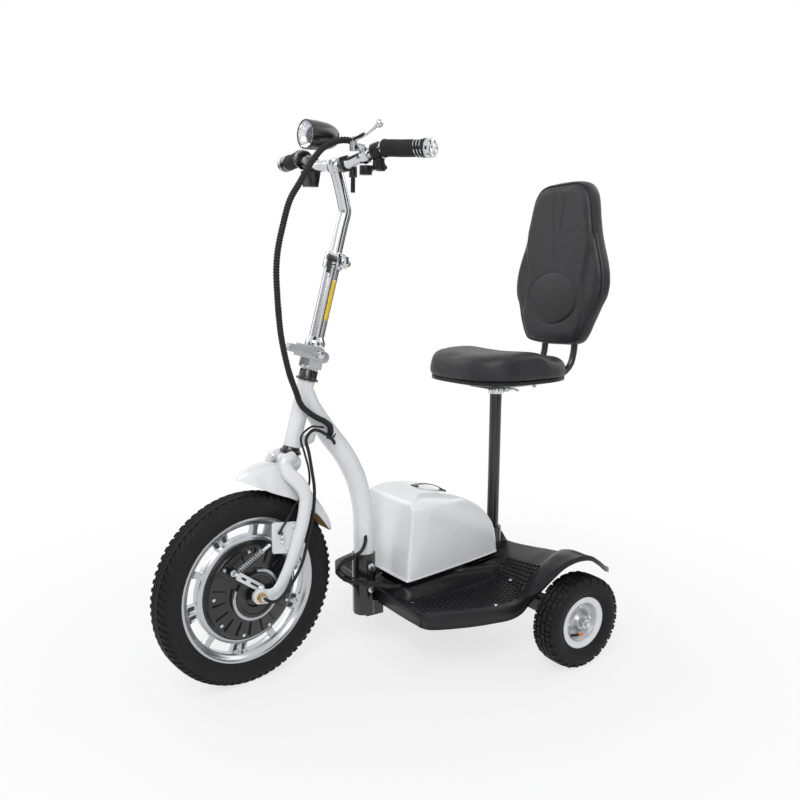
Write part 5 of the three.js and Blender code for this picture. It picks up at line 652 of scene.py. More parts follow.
def facing_of(out, ahead):
    """The Euler turn that sets +Z to out and +Y near ahead."""
    out = unit(out)
    right = unit(Vector(ahead).cross(out))
    return Matrix((right, out.cross(right), out)).transposed().to_euler()


# Tyres
FRONT_TYRE_RADIUS, REAR_TYRE_RADIUS = 205, 102.5


def tyre_body(centre, axis, radius, half, bead, bead_half, lug, rings):
    """A tyre without its tread, with thin raised rings on its walls."""
    wall = radius - bead
    shoulder = radius - lug - wall * 0.09
    rows = [
        (0, radius - lug),
        (half * 0.45, radius - lug - 0.7),
        (half * 0.78, shoulder + 0.6),
        (half * 0.95, shoulder - wall * 0.15),
        (half, (bead + radius) / 2 + 1),
        (half * 0.93, bead + wall * 0.28),
        (half * 0.78, bead + wall * 0.1),
        (bead_half + 0.8, bead + 0.6),
    ]
    outer = []
    for along, r in path_through(rows, 6):
        lift = sum(0.55 * max(0, 1 - (r - ring) ** 2) for ring in rings if along > half * 0.5)
        outer.append((along + lift, r))
    right = [(-a, r) for a, r in reversed(outer[1:])]
    inner = [(bead_half - 3, bead - 1), (0, bead + 6), (3 - bead_half, bead - 1)]
    return turned_about(right + outer + inner, centre, axis, 160, True)


def tread_unit(pitches, centre, axis, radius, half, lug, ribs, lugs):
    """One pitch of the tread: zigzag ribs and shoulder lugs on the crown."""
    axis = unit(axis)
    ray = rays(axis)

    def block(corners, foot, faces, mirror=1, shift=0.0):
        points = []
        for rise in (foot, lug):
            for u, s in corners:
                s *= mirror
                r = radius - lug - 1.4 * abs(s) ** 2 - max(0, abs(s) - 0.8) * 26 * abs(s) + rise
                along = half * 0.92 * min(1.04, abs(s)) * (1 if s > 0 else -1)
                angle = (u + shift) * (2 * math.pi / pitches)
                points.append(Vector(centre) + (axis * along + ray(angle) * r) * MM)
        return points, faces

    shapes = []
    for low, high, shift in ribs:
        for u0, u1, a, b in ((0, 0.5, 0, shift), (0.5, 1, shift, 0)):
            corners = [(u0, low + a), (u0, high + a), (u1, high + b), (u1, low + b)]
            shapes.append(block(corners, -1.0, [(4, 5, 6, 7), (0, 4, 7, 3), (1, 2, 6, 5)]))
    walls = [(4, 5, 6, 7), (0, 1, 5, 4), (1, 2, 6, 5), (2, 3, 7, 6), (3, 0, 4, 7)]
    for corners in lugs:
        shapes += [block(corners, -1.2, walls, -1, 0.5), block(corners, -1.2, walls)]
    return together(*shapes)


FRONT_RIBS = [(-0.2, -0.04, 0.08), (0.1, 0.26, 0.08), (0.34, 0.46, 0.06), (-0.46, -0.34, 0.06)]
FRONT_LUGS = [
    [(0.05, 0.55), (0.5, 0.6), (0.78, 0.92), (0.32, 0.9)],
    [(0.3, 0.93), (0.82, 0.95), (0.86, 1.03), (0.36, 1.03)],
]
REAR_LUGS = [
    [(0.04, 0.05), (0.5, 0.03), (0.62, 0.36), (0.14, 0.42)],
    [(0.55, 0.1), (0.92, 0.12), (0.98, 0.4), (0.68, 0.42)],
    [(0.1, 0.52), (0.56, 0.5), (0.6, 0.86), (0.16, 0.9)],
    [(0.7, 0.5), (0.98, 0.52), (0.98, 0.82), (0.72, 0.8)],
    [(0.18, 0.93), (0.62, 0.92), (0.66, 1.14), (0.24, 1.14)],
]


# Front wheel
def front_tyre():
    rings = (192, 186.5, 171, 165)
    shape = tyre_body(WHEEL, SIDE, FRONT_TYRE_RADIUS, 28.5, 156, 18, 2.6, rings)
    fitted("front_tyre_carcass", shape, TYRE, "front_wheel", "front_tyre")
    pitches = 76
    shape = tread_unit(pitches, WHEEL, SIDE, FRONT_TYRE_RADIUS, 28.5, 1.9, FRONT_RIBS, FRONT_LUGS)
    round_axle("front_tyre_tread", shape, pitches, WHEEL, SIDE, TYRE, "front_wheel")


def front_rim():
    """A dished alloy web with paired windows and sunk pockets between the pairs; black plates on the pocket floors
    are painted shade.
    """
    radii = [107, 109, 112, 115, 117, 122, 128, 134, 139, 141, 144, 147, 150, 153, 155, 156.4, 156.6, 156]
    half_at = [13, 13.6, 12, 9.5, 8, 6.8, 6.4, 7, 8.4, 9.4, 12, 15.5, 18.5, 19.8, 19.9, 19.2, 17, 14]
    web_in, web_out = 117, 139
    steps = 240
    ray = rays(SIDE)

    def off_spoke(k):
        """Degrees from the nearest of five spokes."""
        return abs(((k * 360 / steps + 36) % 72) - 36)

    def window(i, k):
        return web_in <= radii[i] < web_out and 7.5 < off_spoke(k + 0.5) < 33.2

    points, faces = [], []
    for sign in (1, -1):
        for radius, half in zip(radii, half_at):
            for k in range(steps):
                sunk = 4.5 if web_in < radius < web_out and 2.2 < off_spoke(k) < 6.2 else 0
                points.append(WHEEL + (SIDE * ((half - sunk) * sign) + ray(2 * math.pi * k / steps) * radius) * MM)
    rows = len(radii)
    for i in range(rows - 1):
        for k in range(steps):
            if window(i, k):
                continue
            n = (k + 1) % steps
            front = (i * steps + k, i * steps + n, (i + 1) * steps + n, (i + 1) * steps + k)
            faces.append(front)
            faces.append(tuple(rows * steps + v for v in reversed(front)))
            walls = []
            if window(i, (k - 1) % steps):
                walls.append((front[0], front[3]))
            if window(i, n):
                walls.append((front[1], front[2]))
            if window(i - 1, k) or i == 0:
                walls.append((front[0], front[1]))
            if window(i + 1, k) or i == rows - 2:
                walls.append((front[3], front[2]))
            faces += [(a, b, rows * steps + b, rows * steps + a) for a, b in walls]
    fitted("front_rim_alloy", (points, faces), ALLOY, "front_wheel", "front_rim", edge=0.5, angle=42)
    # Black plates on the floors of the sunk pockets: painted shade in the recesses.
    pockets = []
    for angle in (i * 72 + side * 4.2 for i in range(5) for side in (-1, 1)):
        spoke = ray(math.radians(angle))
        for level in (2.9, -2.9):
            at = WHEEL + (spoke * 128 + SIDE * level) * MM
            pockets.append(boxed((21, 7.6, 0.8), at, spoke, SIDE.cross(spoke), SIDE))
    fitted("front_rim_pockets", together(*pockets), BLACK, "front_wheel", edge=0.3)


def hub_motor():
    right = [
        (-31, 30), (-30.5, 56), (-29, 60), (-27.5, 66), (-26, 94), (-24, 100), (-17, 103), (-13.2, 104.5),
        (-12.6, 106.6),
    ]
    left = [(12.6, 106.6), (13.2, 104.5), (17, 103), (24, 100), (26, 94), (27.5, 66), (29, 62), (29.5, 52), (31, 50)]
    drum = [(31.5, 48), (43, 48), (44, 47), (44, 41), (42, 40), (41, 26), (36, 24), (35, 10)]
    shell = [(-35, 10), (-35, 20), (-33, 22), *right, *left, *drum]
    shape = turned_about(shell, WHEEL, SIDE, 128)
    look = {"edge": 0.6, "angle": 30, "slot": "black_paint"}
    fitted("hub_motor_case", shape, BLACK_SHELL, "front_wheel", "hub_motor_shell", **look)
    ray = rays(SIDE)
    spoke = ray(0)
    fins = [
        boxed((30, 2.4, 5), WHEEL + (spoke * 80 + SIDE * level) * MM, spoke, SIDE.cross(spoke), SIDE)
        for level in (28, -28)
    ]
    fins = together(*fins)
    round_axle("hub_case_fins", fins, 18, WHEEL, SIDE, BLACK_SHELL, "front_wheel", 0.5, slot="black_paint")
    at = WHEEL + ray(math.radians(10)) * (91 * MM)
    head = [(25, 0.01), (29.4, 0.01), (29.4, 2.4), (28.8, 3.6), (25, 3.6)]
    screws = together(*[turned_about([(side * a, r) for a, r in head], at, SIDE, 12) for side in (1, -1)])
    round_axle("hub_case_screws", screws, 9, WHEEL, SIDE, STEEL, "front_wheel", 0, 30)


front_tyre()
front_rim()
hub_motor()


# Rear wheels
def rear_wheel(name, s):
    body = "rear_wheel_" + name
    centre = joint_place(body + "_spin")
    shape = tyre_body(centre, X, REAR_TYRE_RADIUS, 30, 57, 22, 4.2, (92, 74, 70))
    fitted(f"rear_tyre_{name}_carcass", shape, TYRE, body, "rear_tyre_" + name)
    pitches = 26
    shape = tread_unit(pitches, centre, X, REAR_TYRE_RADIUS, 30, 4.0, [], REAR_LUGS)
    round_axle(f"rear_tyre_{name}_tread", shape, pitches, centre, X, TYRE, body)
    ring = [(22, 57.5), (23, 56.5), (23.2, 54), (22.4, 46), (21, 43.5), (17, 43), (12, 44.5)]
    shape = turned_about(ring + [(-a, r) for a, r in reversed(ring)], centre, X, 96, True)
    fitted(f"rear_rim_{name}_ring", shape, WHITE, body, "rear_rim_" + name, edge=0.5, angle=30)
    dish = [(17, 43.6), (16, 42.4), (10, 38), (7.5, 30), (9.5, 23), (14, 18), (20, 16), (21, 14), (21, 7)]
    dish += [(-21, 7), (-21, 15), (-8, 17), (-3, 30), (-6, 40), (-12, 43.6)]
    shape = turned_about([(s * a, r) for a, r in dish], centre, X, 72, True)
    fitted(f"rear_wheel_{name}_dish", shape, CAST, body, edge=0.5, angle=30)
    head = [(6, 0.01), (12.4, 0.01), (12.4, 3.2), (11.6, 4), (6, 4)]
    shape = turned_about([(s * a, r) for a, r in head], centre + Y * (33 * MM), X, 6)
    round_axle(f"rear_wheel_{name}_bolts", shape, 4, centre, X, STEEL, body, 0.3)
    stem = centre + (X * s * 12 - Z * 28 - Y * 22) * MM
    lean = unit(X * s + (Z * 0.5 + Y * 0.4) * 0.9)
    valve = swept([stem, stem + lean * 0.006, stem + lean * 0.018], [3.4, 2.8, 2.6], Y, 14)
    fitted(f"rear_wheel_{name}_valve", valve, PLASTIC_FINE, body, edge=0.3, slot="rubber")
    cap = swept([stem + lean * 0.0185, stem + lean * 0.024, stem + lean * 0.027], [3.1, 3.1, 2.4], Y, 10)
    fitted(f"rear_wheel_{name}_valve_cap", cap, ORANGE, body, edge=0.3)


rear_wheel("left", 1)
rear_wheel("right", -1)


# Fork
FORK_LEG = [
    (0.73, 0.989, 1, 0.933), (0.739, 0.944, 1, 1), (0.75, 0.895, 1, 1), (0.9, 0.805, 1, 1),
    (0.998, 0.702, 1, 1), (0.986, 0.615, 0.909, 1), (0.942, 0.521, 0.909, 1), (0.863, 0.407, 0.818, 1),
    (0.785, 0.309, 0.727, 1), (0.586, 0.132, 0.545, 0.933), (0.389, 0.004, 0.455, 1),
    (0.209, -0.019, 0.455, 1), (0, 0, 0.455, 1.133),
]


def slotted_plate(outline, slot, levels):
    """A plate between two distances from the middle, with a slot through it."""
    points = [steered(x, y, AXLE_Z + z) for x in levels for y, z in outline + slot]
    mesh = bmesh.new()
    verts = [mesh.verts.new(p) for p in points]
    count = len(outline) + len(slot)
    loops = [range(len(outline)), range(len(outline), count)]
    pairs = [(i, loop[(k + 1) % len(loop)]) for loop in loops for k, i in enumerate(loop)]
    for base in (0, count):
        edges = [mesh.edges.new((verts[base + i], verts[base + j])) for i, j in pairs]
        bmesh.ops.triangle_fill(mesh, edges=edges, use_beauty=True)
    for i, j in pairs:
        mesh.faces.new((verts[i], verts[j], verts[count + j], verts[count + i]))
    mesh.verts.index_update()
    shape = [v.co.copy() for v in mesh.verts], [tuple(v.index for v in f.verts) for f in mesh.faces]
    mesh.free()
    return shape


def fork():
    shapes = []
    rows = path_through(FORK_LEG, 6)[2:]
    for side in (-1, 1):
        path = [on_axis(-97, -8, side * 7), on_axis(-92, -7, side * 13), on_axis(-90.5, -6, side * 18)]
        widths = [(3, 4), (9, 11), (11.5, 14.5)]
        for y, z, across, ahead in rows:
            path.append(steered(side * (52 - 30 * soft_step((z - 0.76) / 0.24)), 115 * y, AXLE_Z + 268 * z))
            widths.append((11 * across, 15 * ahead))
        shapes.append(swept(path, widths, SIDE, 24))
    fitted("fork_legs", together(*shapes), WHITE, "steering", "fork", edge=1.2, angle=50)
    crown = [(-126, 3), (-124, 12), (-118, 21), (-110, 26), (-101, 27.5), (-94, 25.5), (-89, 21), (-86, 18.4)]
    crown += [(-84.4, 16.5), (-84.4, 12.7)]
    fitted("fork_crown", turned_about(crown, on_axis(0), AXIS_UP, 48), WHITE, "steering", angle=50)
    race = [
        (-84.2, 16), (-84.2, 21), (-82.4, 22.2), (-78.5, 22.2), (-77, 20.6), (-77, 19.5), (-82.4, 19.5), (-82.4, 16),
    ]
    fitted("fork_crown_race", turned_about(race, on_axis(0), AXIS_UP, 48, True), BLACK, "steering", edge=0.4)
    steerer = [(-84, 12.6), (60, 12.6), (92.5, 12.6), (92.5, 6)]
    fitted("fork_steerer", turned_about(steerer, on_axis(0), AXIS_UP, 32), STEEL, "steering")

    # The slotted plate that anchors the brake line
    outline = [(36, 84), (40, 80.5), (80, 72), (84, 73.5), (96, 135), (94, 138), (40, 146.6), (36, 143)]
    slot = [(56, 98), (64, 98), (64, 122), (60, 126), (56, 122)]
    shape = slotted_plate(outline, slot, (44, 47))
    fitted("brake_anchor_plate", shape, WHITE, "steering", edge=0.5, angle=40)
    head = [(44, 5.2), (50, 5.2), (50.8, 4.2), (50.8, 2)]
    places = ((60, 112), (60, 101), (74, 84), (88, 131))
    bolts = [turned_about(head, steered(0, y, AXLE_Z + z), SIDE, 6) for y, z in places]
    fitted("brake_anchor_bolts", together(*bolts), STEEL, "steering", edge=0.4)

    # Dropout plates, and the fender's bolt in the crown
    plates = []
    for side in (-1, 1):
        rows = [(side * -4.5, 15.5), (side * 4.6, 15.5), (side * 5.4, 14.6), (side * 5.4, 6.2)]
        plates.append(turned_about(rows, steered(side * 52, 0, AXLE_Z), SIDE, 40))
    fitted("fork_dropouts", together(*plates), WHITE, "steering", edge=0.5)
    at = on_axis(-95, -44)
    nut = turned_about([(-0.5, 7), (2.4, 7), (3.2, 6), (3.4, 2)], at, -BACK, 6)
    washer = turned_about([(-1, 9.5), (0.4, 9.5), (0.8, 9), (0.8, 4)], at, -BACK, 32)
    fitted("fender_bolt_head", together(nut, washer), STEEL, "steering", edge=0.3)


fork()

# The front fender's rows: angle in quarter turns, crown and edge heights, half width
FENDER = [
    (1.044, 0.5, 0.5, 0.079), (1, 0.726, 0.371, 0.474), (0.944, 0.855, 0.234, 0.789), (0.889, 0.952, 0.129, 0.947),
    (0.844, 1, 0.065, 1), (0.778, 1, 0.024, 1), (0.711, 0.919, 0.024, 1), (0.633, 0.758, 0.024, 1),
    (0.533, 0.613, 0.032, 1), (0.433, 0.532, 0.097, 1), (0.333, 0.5, 0.145, 0.947), (0.267, 0.46, 0.274, 0.684),
    (0.228, 0.419, 0.403, 0.132),
]


def front_fender():
    columns = 20
    rows = []
    for around, middle, edge, half in path_through(FENDER, 4):
        angle = around * math.pi / 2
        row = []
        for j in range(columns + 1):
            t = j / columns * 2 - 1
            radius = FRONT_TYRE_RADIUS + 62 * (middle + (edge - middle) * abs(t) ** 3)
            width = max(34.5 * half, 2.2)
            row.append(steered(width * t, radius * math.cos(angle), AXLE_Z + radius * math.sin(angle)))
        rows.append(row)
    piece = skin_piece("front_fender_shell", rows, 2.0, [WHITE_COVER, BROWN])
    settle(piece, "steering", "white_paint", "front_fender")


front_fender()


# Band brake
def round_drum(rows, low=0.0, share=1.0):
    """A strip of four-cornered section round the drum, open at the front."""
    steps = 90
    start, span = math.radians(157), math.radians(290)
    ahead, upward = TURN @ Y, TURN @ Z
    points = []
    for i in range(steps + 1):
        t = start + span * (low + share * i / steps)
        ray = ahead * math.cos(t) + upward * math.sin(t)
        points += [WHEEL + (SIDE * along + ray * radius) * MM for along, radius in rows]
    return points, ring_faces(steps + 1, 4)


ring = round_drum(((34, 48.8), (34, 53.6), (42, 53.6), (42, 48.8)))
fitted("brake_band_ring", ring, CAST, "steering", edge=0.7, angle=30)
strap = round_drum(((35.5, 53.2), (35.5, 54.8), (40.5, 54.8), (40.5, 53.2)), 0.06, 0.88)
fitted("brake_band_strap", strap, STEEL, "steering", edge=0.3, angle=30)
dressed("brake_band", CAST, "steering", 0.4)
dressed("brake_arm", STEEL, "brake_arm")


def brake_arm_plate():
    """The zinc plate along the arm; its slot openings are thin black sheets on its face, painted shade."""
    foot, tip = Vector((0, 9, AXLE_Z + 13)), Vector((0, -50, AXLE_Z + 58))
    along = unit(tip - foot)
    wide = unit(X.cross(along))
    length = (tip - foot).length

    def bar(low, high, half, inner, outer):
        end = half * 0.7
        outline = [(low, -half), (high, -half), (high + end, -half * 0.5), (high + end, half * 0.5)]
        outline += [(high, half), (low, half), (low - end, half * 0.5), (low - end, -half * 0.5)]
        return lofted([[steered(*(foot + along * a + wide * b + X * x)) for a, b in outline] for x in (inner, outer)])

    fitted("brake_arm_plate", bar(2, length - 4, 8.4, 48.2, 50.6), STEEL, "brake_arm", edge=0.5)
    # Thin black sheets on the plate's face: painted shade standing for the slot openings.
    slot_shade = together(bar(14, 34, 2.4, 50.55, 50.9), bar(50, 60, 2.4, 50.55, 50.9))
    fitted("brake_arm_slots", slot_shade, PLASTIC_FINE, "brake_arm")
    head = [(50.4, 5.6), (54, 5.6), (54.8, 4.6), (54.8, 1)]
    heads = [turned_about(head, steered(*(foot + along * a)), SIDE, 6) for a in (4, length - 2)]
    fitted("brake_arm_bolts", together(*heads), STEEL, "brake_arm", edge=0.3, angle=20)


brake_arm_plate()
dressed("hub_axle", STEEL, "steering", 0.4)
dressed("axle_nut_left", BRASS, "steering", 0.6)
dressed("motor_stator", COPPER, "steering", 0.3)


# Neck and head tube
NECK = [
    (0.086, 1.107, 0.756), (0.13, 1.077, 0.782), (0.172, 1.039, 0.827), (0.287, 0.971, 0.911), (0.479, 0.879, 1),
    (0.628, 0.817, 1), (0.756, 0.751, 1), (0.885, 0.661, 1), (0.958, 0.575, 1), (0.992, 0.499, 1), (1, 0.403, 1),
    (1, 0.302, 1), (1, 0.15, 1), (1, 0, 1),
]


def neck():
    rows = path_through(NECK, 6)
    path = [place(0, 137 + 151 * y, 90 + 466 * z) for y, z, _ in rows]
    tube = swept(path, [22.5 * w for _, _, w in rows], X, 40)
    fitted("neck_tube_bent", tube, WHITE, "frame", "neck_tube", edge=1.0, angle=60)
    head = [(-70, 14.6), (-70, 17), (-69, 17.8), (-60, 17.2), (60, 17.2), (69, 17.8), (70, 17), (70, 14.6)]
    fitted("neck_head_tube", turned_about(head, frame_place(0), AXIS_UP, 48, True), WHITE, "frame", edge=0.4)
    gusset = []
    for y, z, w in ((17, -58, 5), (30, -50, 7), (46, -40, 6)):
        corners = ((-w, -12), (w, -12), (w + 2, 0), (w, 12), (-w, 12), (-w - 2, 0))
        gusset.append([frame_place(z + dz, y, x) for x, dz in corners])
    fitted("neck_gusset", lofted(gusset), WHITE, "frame", edge=2.0, angle=30, steps=3)
    lower = [(-82, 14.4), (-82, 18), (-81, 19), (-75, 19), (-73, 18), (-71, 17.6), (-70.2, 17), (-70.2, 14.4)]
    upper = [(70.2, 14.4), (70.2, 18.5), (72, 20), (76, 20), (77.5, 18.5), (77.5, 14.4)]
    for name, cup in (("lower", lower), ("upper", upper)):
        shape = turned_about(cup, frame_place(0), AXIS_UP, 48, True)
        fitted(f"headset_{name}_cup", shape, BLACK, "frame", edge=0.3)
    rows = [(-1, 9.6), (-1, 13), (1.2, 13.4), (2.6, 12), (2.6, 9.6)]
    grommet = turned_about(rows, place(14, 199.5, 510), Vector((0.75, -0.35, 0.5)), 32, True)
    fitted("cable_entry_grommet", grommet, GRIP, "frame", edge=0.3)


neck()
dressed("headset_nut", BLACK, "steering", 0.7)
dressed("neck_bolts", STEEL, "frame", 0.6)
dressed("chassis_frame", BLACK, "frame", 1.4, 30)
dressed("rear_axle", STEEL, "frame", 0.4)
dressed("battery_pack", WRAP, "frame", 2.0)
dressed("motor_controller", CAST, "frame", 0.6)

# The deck's rows from the front, as shares of its half width, length and rise
DECK = [
    [(0, 0, 0), (0.174, 0, 0), (0.319, 0, 0), (0.435, 0.002, 0), (0.499, 0.005, 0), (0.528, 0.01, -0.017)],
    [(0, 0.014, 0), (0.191, 0.014, 0), (0.362, 0.014, 0), (0.493, 0.017, 0), (0.551, 0.019, 0),
        (0.574, 0.026, -0.017)],
    [(0, 0.055, 0), (0.261, 0.055, 0), (0.406, 0.055, 0), (0.539, 0.057, 0), (0.588, 0.06, 0),
        (0.606, 0.062, -0.017)],
    [(0, 0.124, 0), (0.29, 0.124, 0), (0.435, 0.124, 0), (0.58, 0.124, 0), (0.623, 0.124, 0), (0.639, 0.124, -0.017)],
    [(0, 0.248, 0), (0.29, 0.248, 0), (0.464, 0.248, 0), (0.629, 0.248, 0), (0.672, 0.248, 0), (0.69, 0.248, -0.017)],
    [(0, 0.352, 0), (0.281, 0.352, 0), (0.478, 0.352, 0), (0.655, 0.352, 0), (0.699, 0.352, 0),
        (0.716, 0.352, -0.017)],
    [(0, 0.457, 0), (0.27, 0.457, 0), (0.478, 0.457, 0), (0.675, 0.457, 0), (0.719, 0.457, 0),
        (0.736, 0.457, -0.008)],
    [(0, 0.519, 0), (0.261, 0.519, 0), (0.464, 0.519, 0), (0.661, 0.519, 0.004), (0.716, 0.519, 0.034),
        (0.745, 0.519, 0.067)],
    [(0, 0.567, 0), (0.255, 0.567, 0), (0.441, 0.567, 0.008), (0.623, 0.567, 0.017), (0.696, 0.567, 0.109),
        (0.759, 0.567, 0.235)],
    [(0, 0.6, 0.008), (0.252, 0.6, 0.013), (0.423, 0.6, 0.017), (0.594, 0.6, 0.025), (0.725, 0.6, 0.336),
        (0.846, 0.6, 0.546)],
    [(0, 0.643, 0.025), (0.249, 0.643, 0.029), (0.414, 0.643, 0.034), (0.58, 0.645, 0.042), (0.759, 0.643, 0.63),
        (0.942, 0.643, 0.874)],
    [(0, 0.69, 0.059), (0.246, 0.69, 0.076), (0.409, 0.69, 0.092), (0.568, 0.698, 0.143), (0.765, 0.69, 0.807),
        (0.986, 0.69, 0.983)],
    [(0, 0.762, 0.134), (0.243, 0.762, 0.168), (0.4, 0.762, 0.21), (0.554, 0.769, 0.303), (0.748, 0.762, 0.866),
        (1, 0.762, 0.975)],
    [(0, 0.833, 0.218), (0.241, 0.833, 0.261), (0.391, 0.833, 0.319), (0.539, 0.84, 0.403), (0.73, 0.833, 0.815),
        (0.991, 0.838, 0.824)],
    [(0, 0.905, 0.294), (0.238, 0.91, 0.345), (0.383, 0.914, 0.412), (0.522, 0.919, 0.479), (0.71, 0.919, 0.689),
        (0.951, 0.924, 0.622)],
    [(0, 0.943, 0.328), (0.232, 0.952, 0.387), (0.377, 0.962, 0.445), (0.51, 0.967, 0.496), (0.69, 0.986, 0.571),
        (0.893, 1, 0.496)],
]
SKIRT_DROP = [1, 1, 1, 1, 1, 1, 1, 1, 0.9, 0.5, 0.1, 0, 0, 0, 0, 0]
NECK_FOOT, SEAT_POST = 288, 660


def deck_net(per_row=4, per_column=5):
    key = [[Vector((345 * x, 312 + 420 * y, 140 + 119 * z)) for x, y, z in row] for row in DECK]
    columns = [path_through([row[j] for row in key], per_row) for j in range(6)]
    net = []
    for points in zip(*columns):
        inner = points[1]
        half = path_through([(-inner.x, inner.y, inner.z), *points], per_column)[per_column:]
        net.append([Vector((-p.x, p.y, p.z)) for p in reversed(half[1:])] + half)
    return net


def deck():
    net = deck_net()
    rows, columns = len(net), len(net[0])
    drops = [11 + 19 * sampled(list(enumerate(SKIRT_DROP)), i / (rows - 1) * 15) for i in range(rows)]
    around = [(2.2, 1.0), (3.4, 3.6), (3.6, 8), (3.0, 1000)]
    grid = []
    for i in range(-len(around), rows):
        row = []
        for j in range(-len(around), columns + len(around)):
            over_j = max(-j, j - columns + 1, 0)
            over_i = max(-i, 0)
            p = net[max(i, 0)][min(max(j, 0), columns - 1)].copy()
            over = max(over_i, over_j)
            if over:
                out, down = around[over - 1]
                p.x += math.copysign(out * 0.25, p.x) if over_j else 0
                p.y -= out * 0.25 if over_i else 0
                p.z -= min(down, drops[max(i, 0)])
            row.append(p)
        grid.append(row)
    # Round openings for the neck's foot, which is open ahead, and for the seat post
    for p in (p for row in grid for p in row):
        for middle, radius in ((NECK_FOOT, 31), (SEAT_POST, 22)):
            away = Vector((p.x, p.y - middle, 0))
            if away.length < radius:
                behind = abs(away.y) if middle == NECK_FOOT else away.y
                p.x = away.x * radius / max(away.length, 1)
                p.y = middle + behind * radius / max(away.length, 1)
    piece = skin_piece("deck_shell", [[(p + ROW) * MM for p in row] for row in grid], 3.0, [PLASTIC], 0.0, 44)
    return settle(piece, "frame", "black_plastic", "deck_cover")


DECK_SHELL = deck()


def deck_details():
    """Arched grip studs on the foot pads, up to where the fenders start to rise, with screws and pad borders."""
    tree = BVHTree.FromObject(DECK_SHELL, bpy.context.evaluated_depsgraph_get())

    def dropped(x, y):
        hit, normal, _, _ = tree.ray_cast(place(x, y, 400), -Z)
        return hit, normal

    skirt = [(322, 90), (330, 112), (345, 124), (400, 122), (520, 116), (560, 110), (600, 98), (625, 70), (660, 60)]
    edge = [
        (322, 178), (335, 197), (364, 208), (416, 226), (460, 236), (504, 242), (530, 244), (552, 236), (575, 222),
        (600, 206), (640, 196), (668, 190),
    ]
    places, facings = [], []
    row, y = 0, 330.0
    while y < 655:
        x = 78.0 + (6.2 if row % 2 else 0)
        while x < 245:
            if sampled(skirt, y) + 6 < x < sampled(edge, y) - 12:
                for side in (-1, 1):
                    hit, normal = dropped(side * x, y)
                    if hit and normal.z > 0.72:
                        places.append(hit)
                        facings.append(facing_of(normal, -Y))
            x += 12.4
        y += 10.6
        row += 1
    count, points = 7, []
    for k in range(count):
        t = math.pi * k / (count - 1)
        for radius, height in ((6.1, -0.3), (5.3, 3.0), (3.7, 3.0), (2.9, -0.3)):
            points.append(Vector((math.cos(t) * radius, math.sin(t) * radius * 1.15 - 2, height)) * MM)
    scattered("deck_grip_studs", places, facings, (points, ring_faces(count, 4)), PLASTIC_FINE, "frame", 50)

    screws, turns = [], []
    for x, y in ((-150, 590), (150, 590), (-128, 332), (128, 332), (-232, 478), (232, 478)):
        hit, normal = dropped(x, y)
        screws.append(hit + normal * 0.0002)
        turns.append(facing_of(normal, -Y))
    head = turned_about([(-1, 4.4), (0.8, 4.4), (1.8, 3.6), (2.1, 1.6), (0.9, 1.3), (0.9, 0.4)], (0, 0, 0), Z, 16)
    scattered("deck_screws", screws, turns, head, STEEL, "frame", 30)
    borders = []
    for side in (-1, 1):
        line = [dropped(side * (sampled(edge, y) - 8), y)[0] for y in (332, 350, 380, 416, 460, 500, 525)]
        path = path_through(line, 6)
        borders.append(swept(path, [(1.6, 1.0)] * len(path), X, 8))
    fitted("deck_pad_borders", together(*borders), PLASTIC, "frame")


deck_details()

# Battery box: its plan and its skirt's as shares of half width and length
PLAN = [
    (0, 0.0), (0.3, 0.0), (0.6, 0.003), (0.85, 0.008), (0.95, 0.011), (0.982, 0.018), (0.996, 0.034), (1, 0.07),
    (0.999, 0.18), (0.988, 0.35), (0.962, 0.6), (0.938, 0.763), (0.9, 0.93), (0.885, 0.972), (0.85, 0.995), (0.7, 1),
    (0.35, 1.0), (0, 1),
]
SKIRT_LOW = [
    (0, 0), (0.5, 0), (0.763, 0.0), (0.949, 0.026), (1, 0.075), (0.99, 0.16), (0.983, 0.253), (0.96, 0.45),
    (0.932, 0.643), (0.847, 0.903), (0.712, 0.987), (0.4, 1), (0, 1),
]
BOX_FRONT, BOX_LENGTH, BOX_FOOT, BOX_HEIGHT, BOX_HALF = 337, 266, 174, 187, 98.5


def seam(y):
    """The height where the cover meets its base."""
    return BOX_FOOT + 20 * (y - BOX_FRONT) / BOX_LENGTH


def plan_ring(table, half, low_y, high_y, height, shrink=1.0):
    fine = path_through([(half * x * shrink, low_y + (high_y - low_y) * y) for x, y in table], 4)
    fine[0].x = fine[-1].x = 0
    ring = fine + [Vector((-p.x, p.y)) for p in reversed(fine[1:-1])]
    return [place(p.x, p.y, height(p.y)) for p in ring]


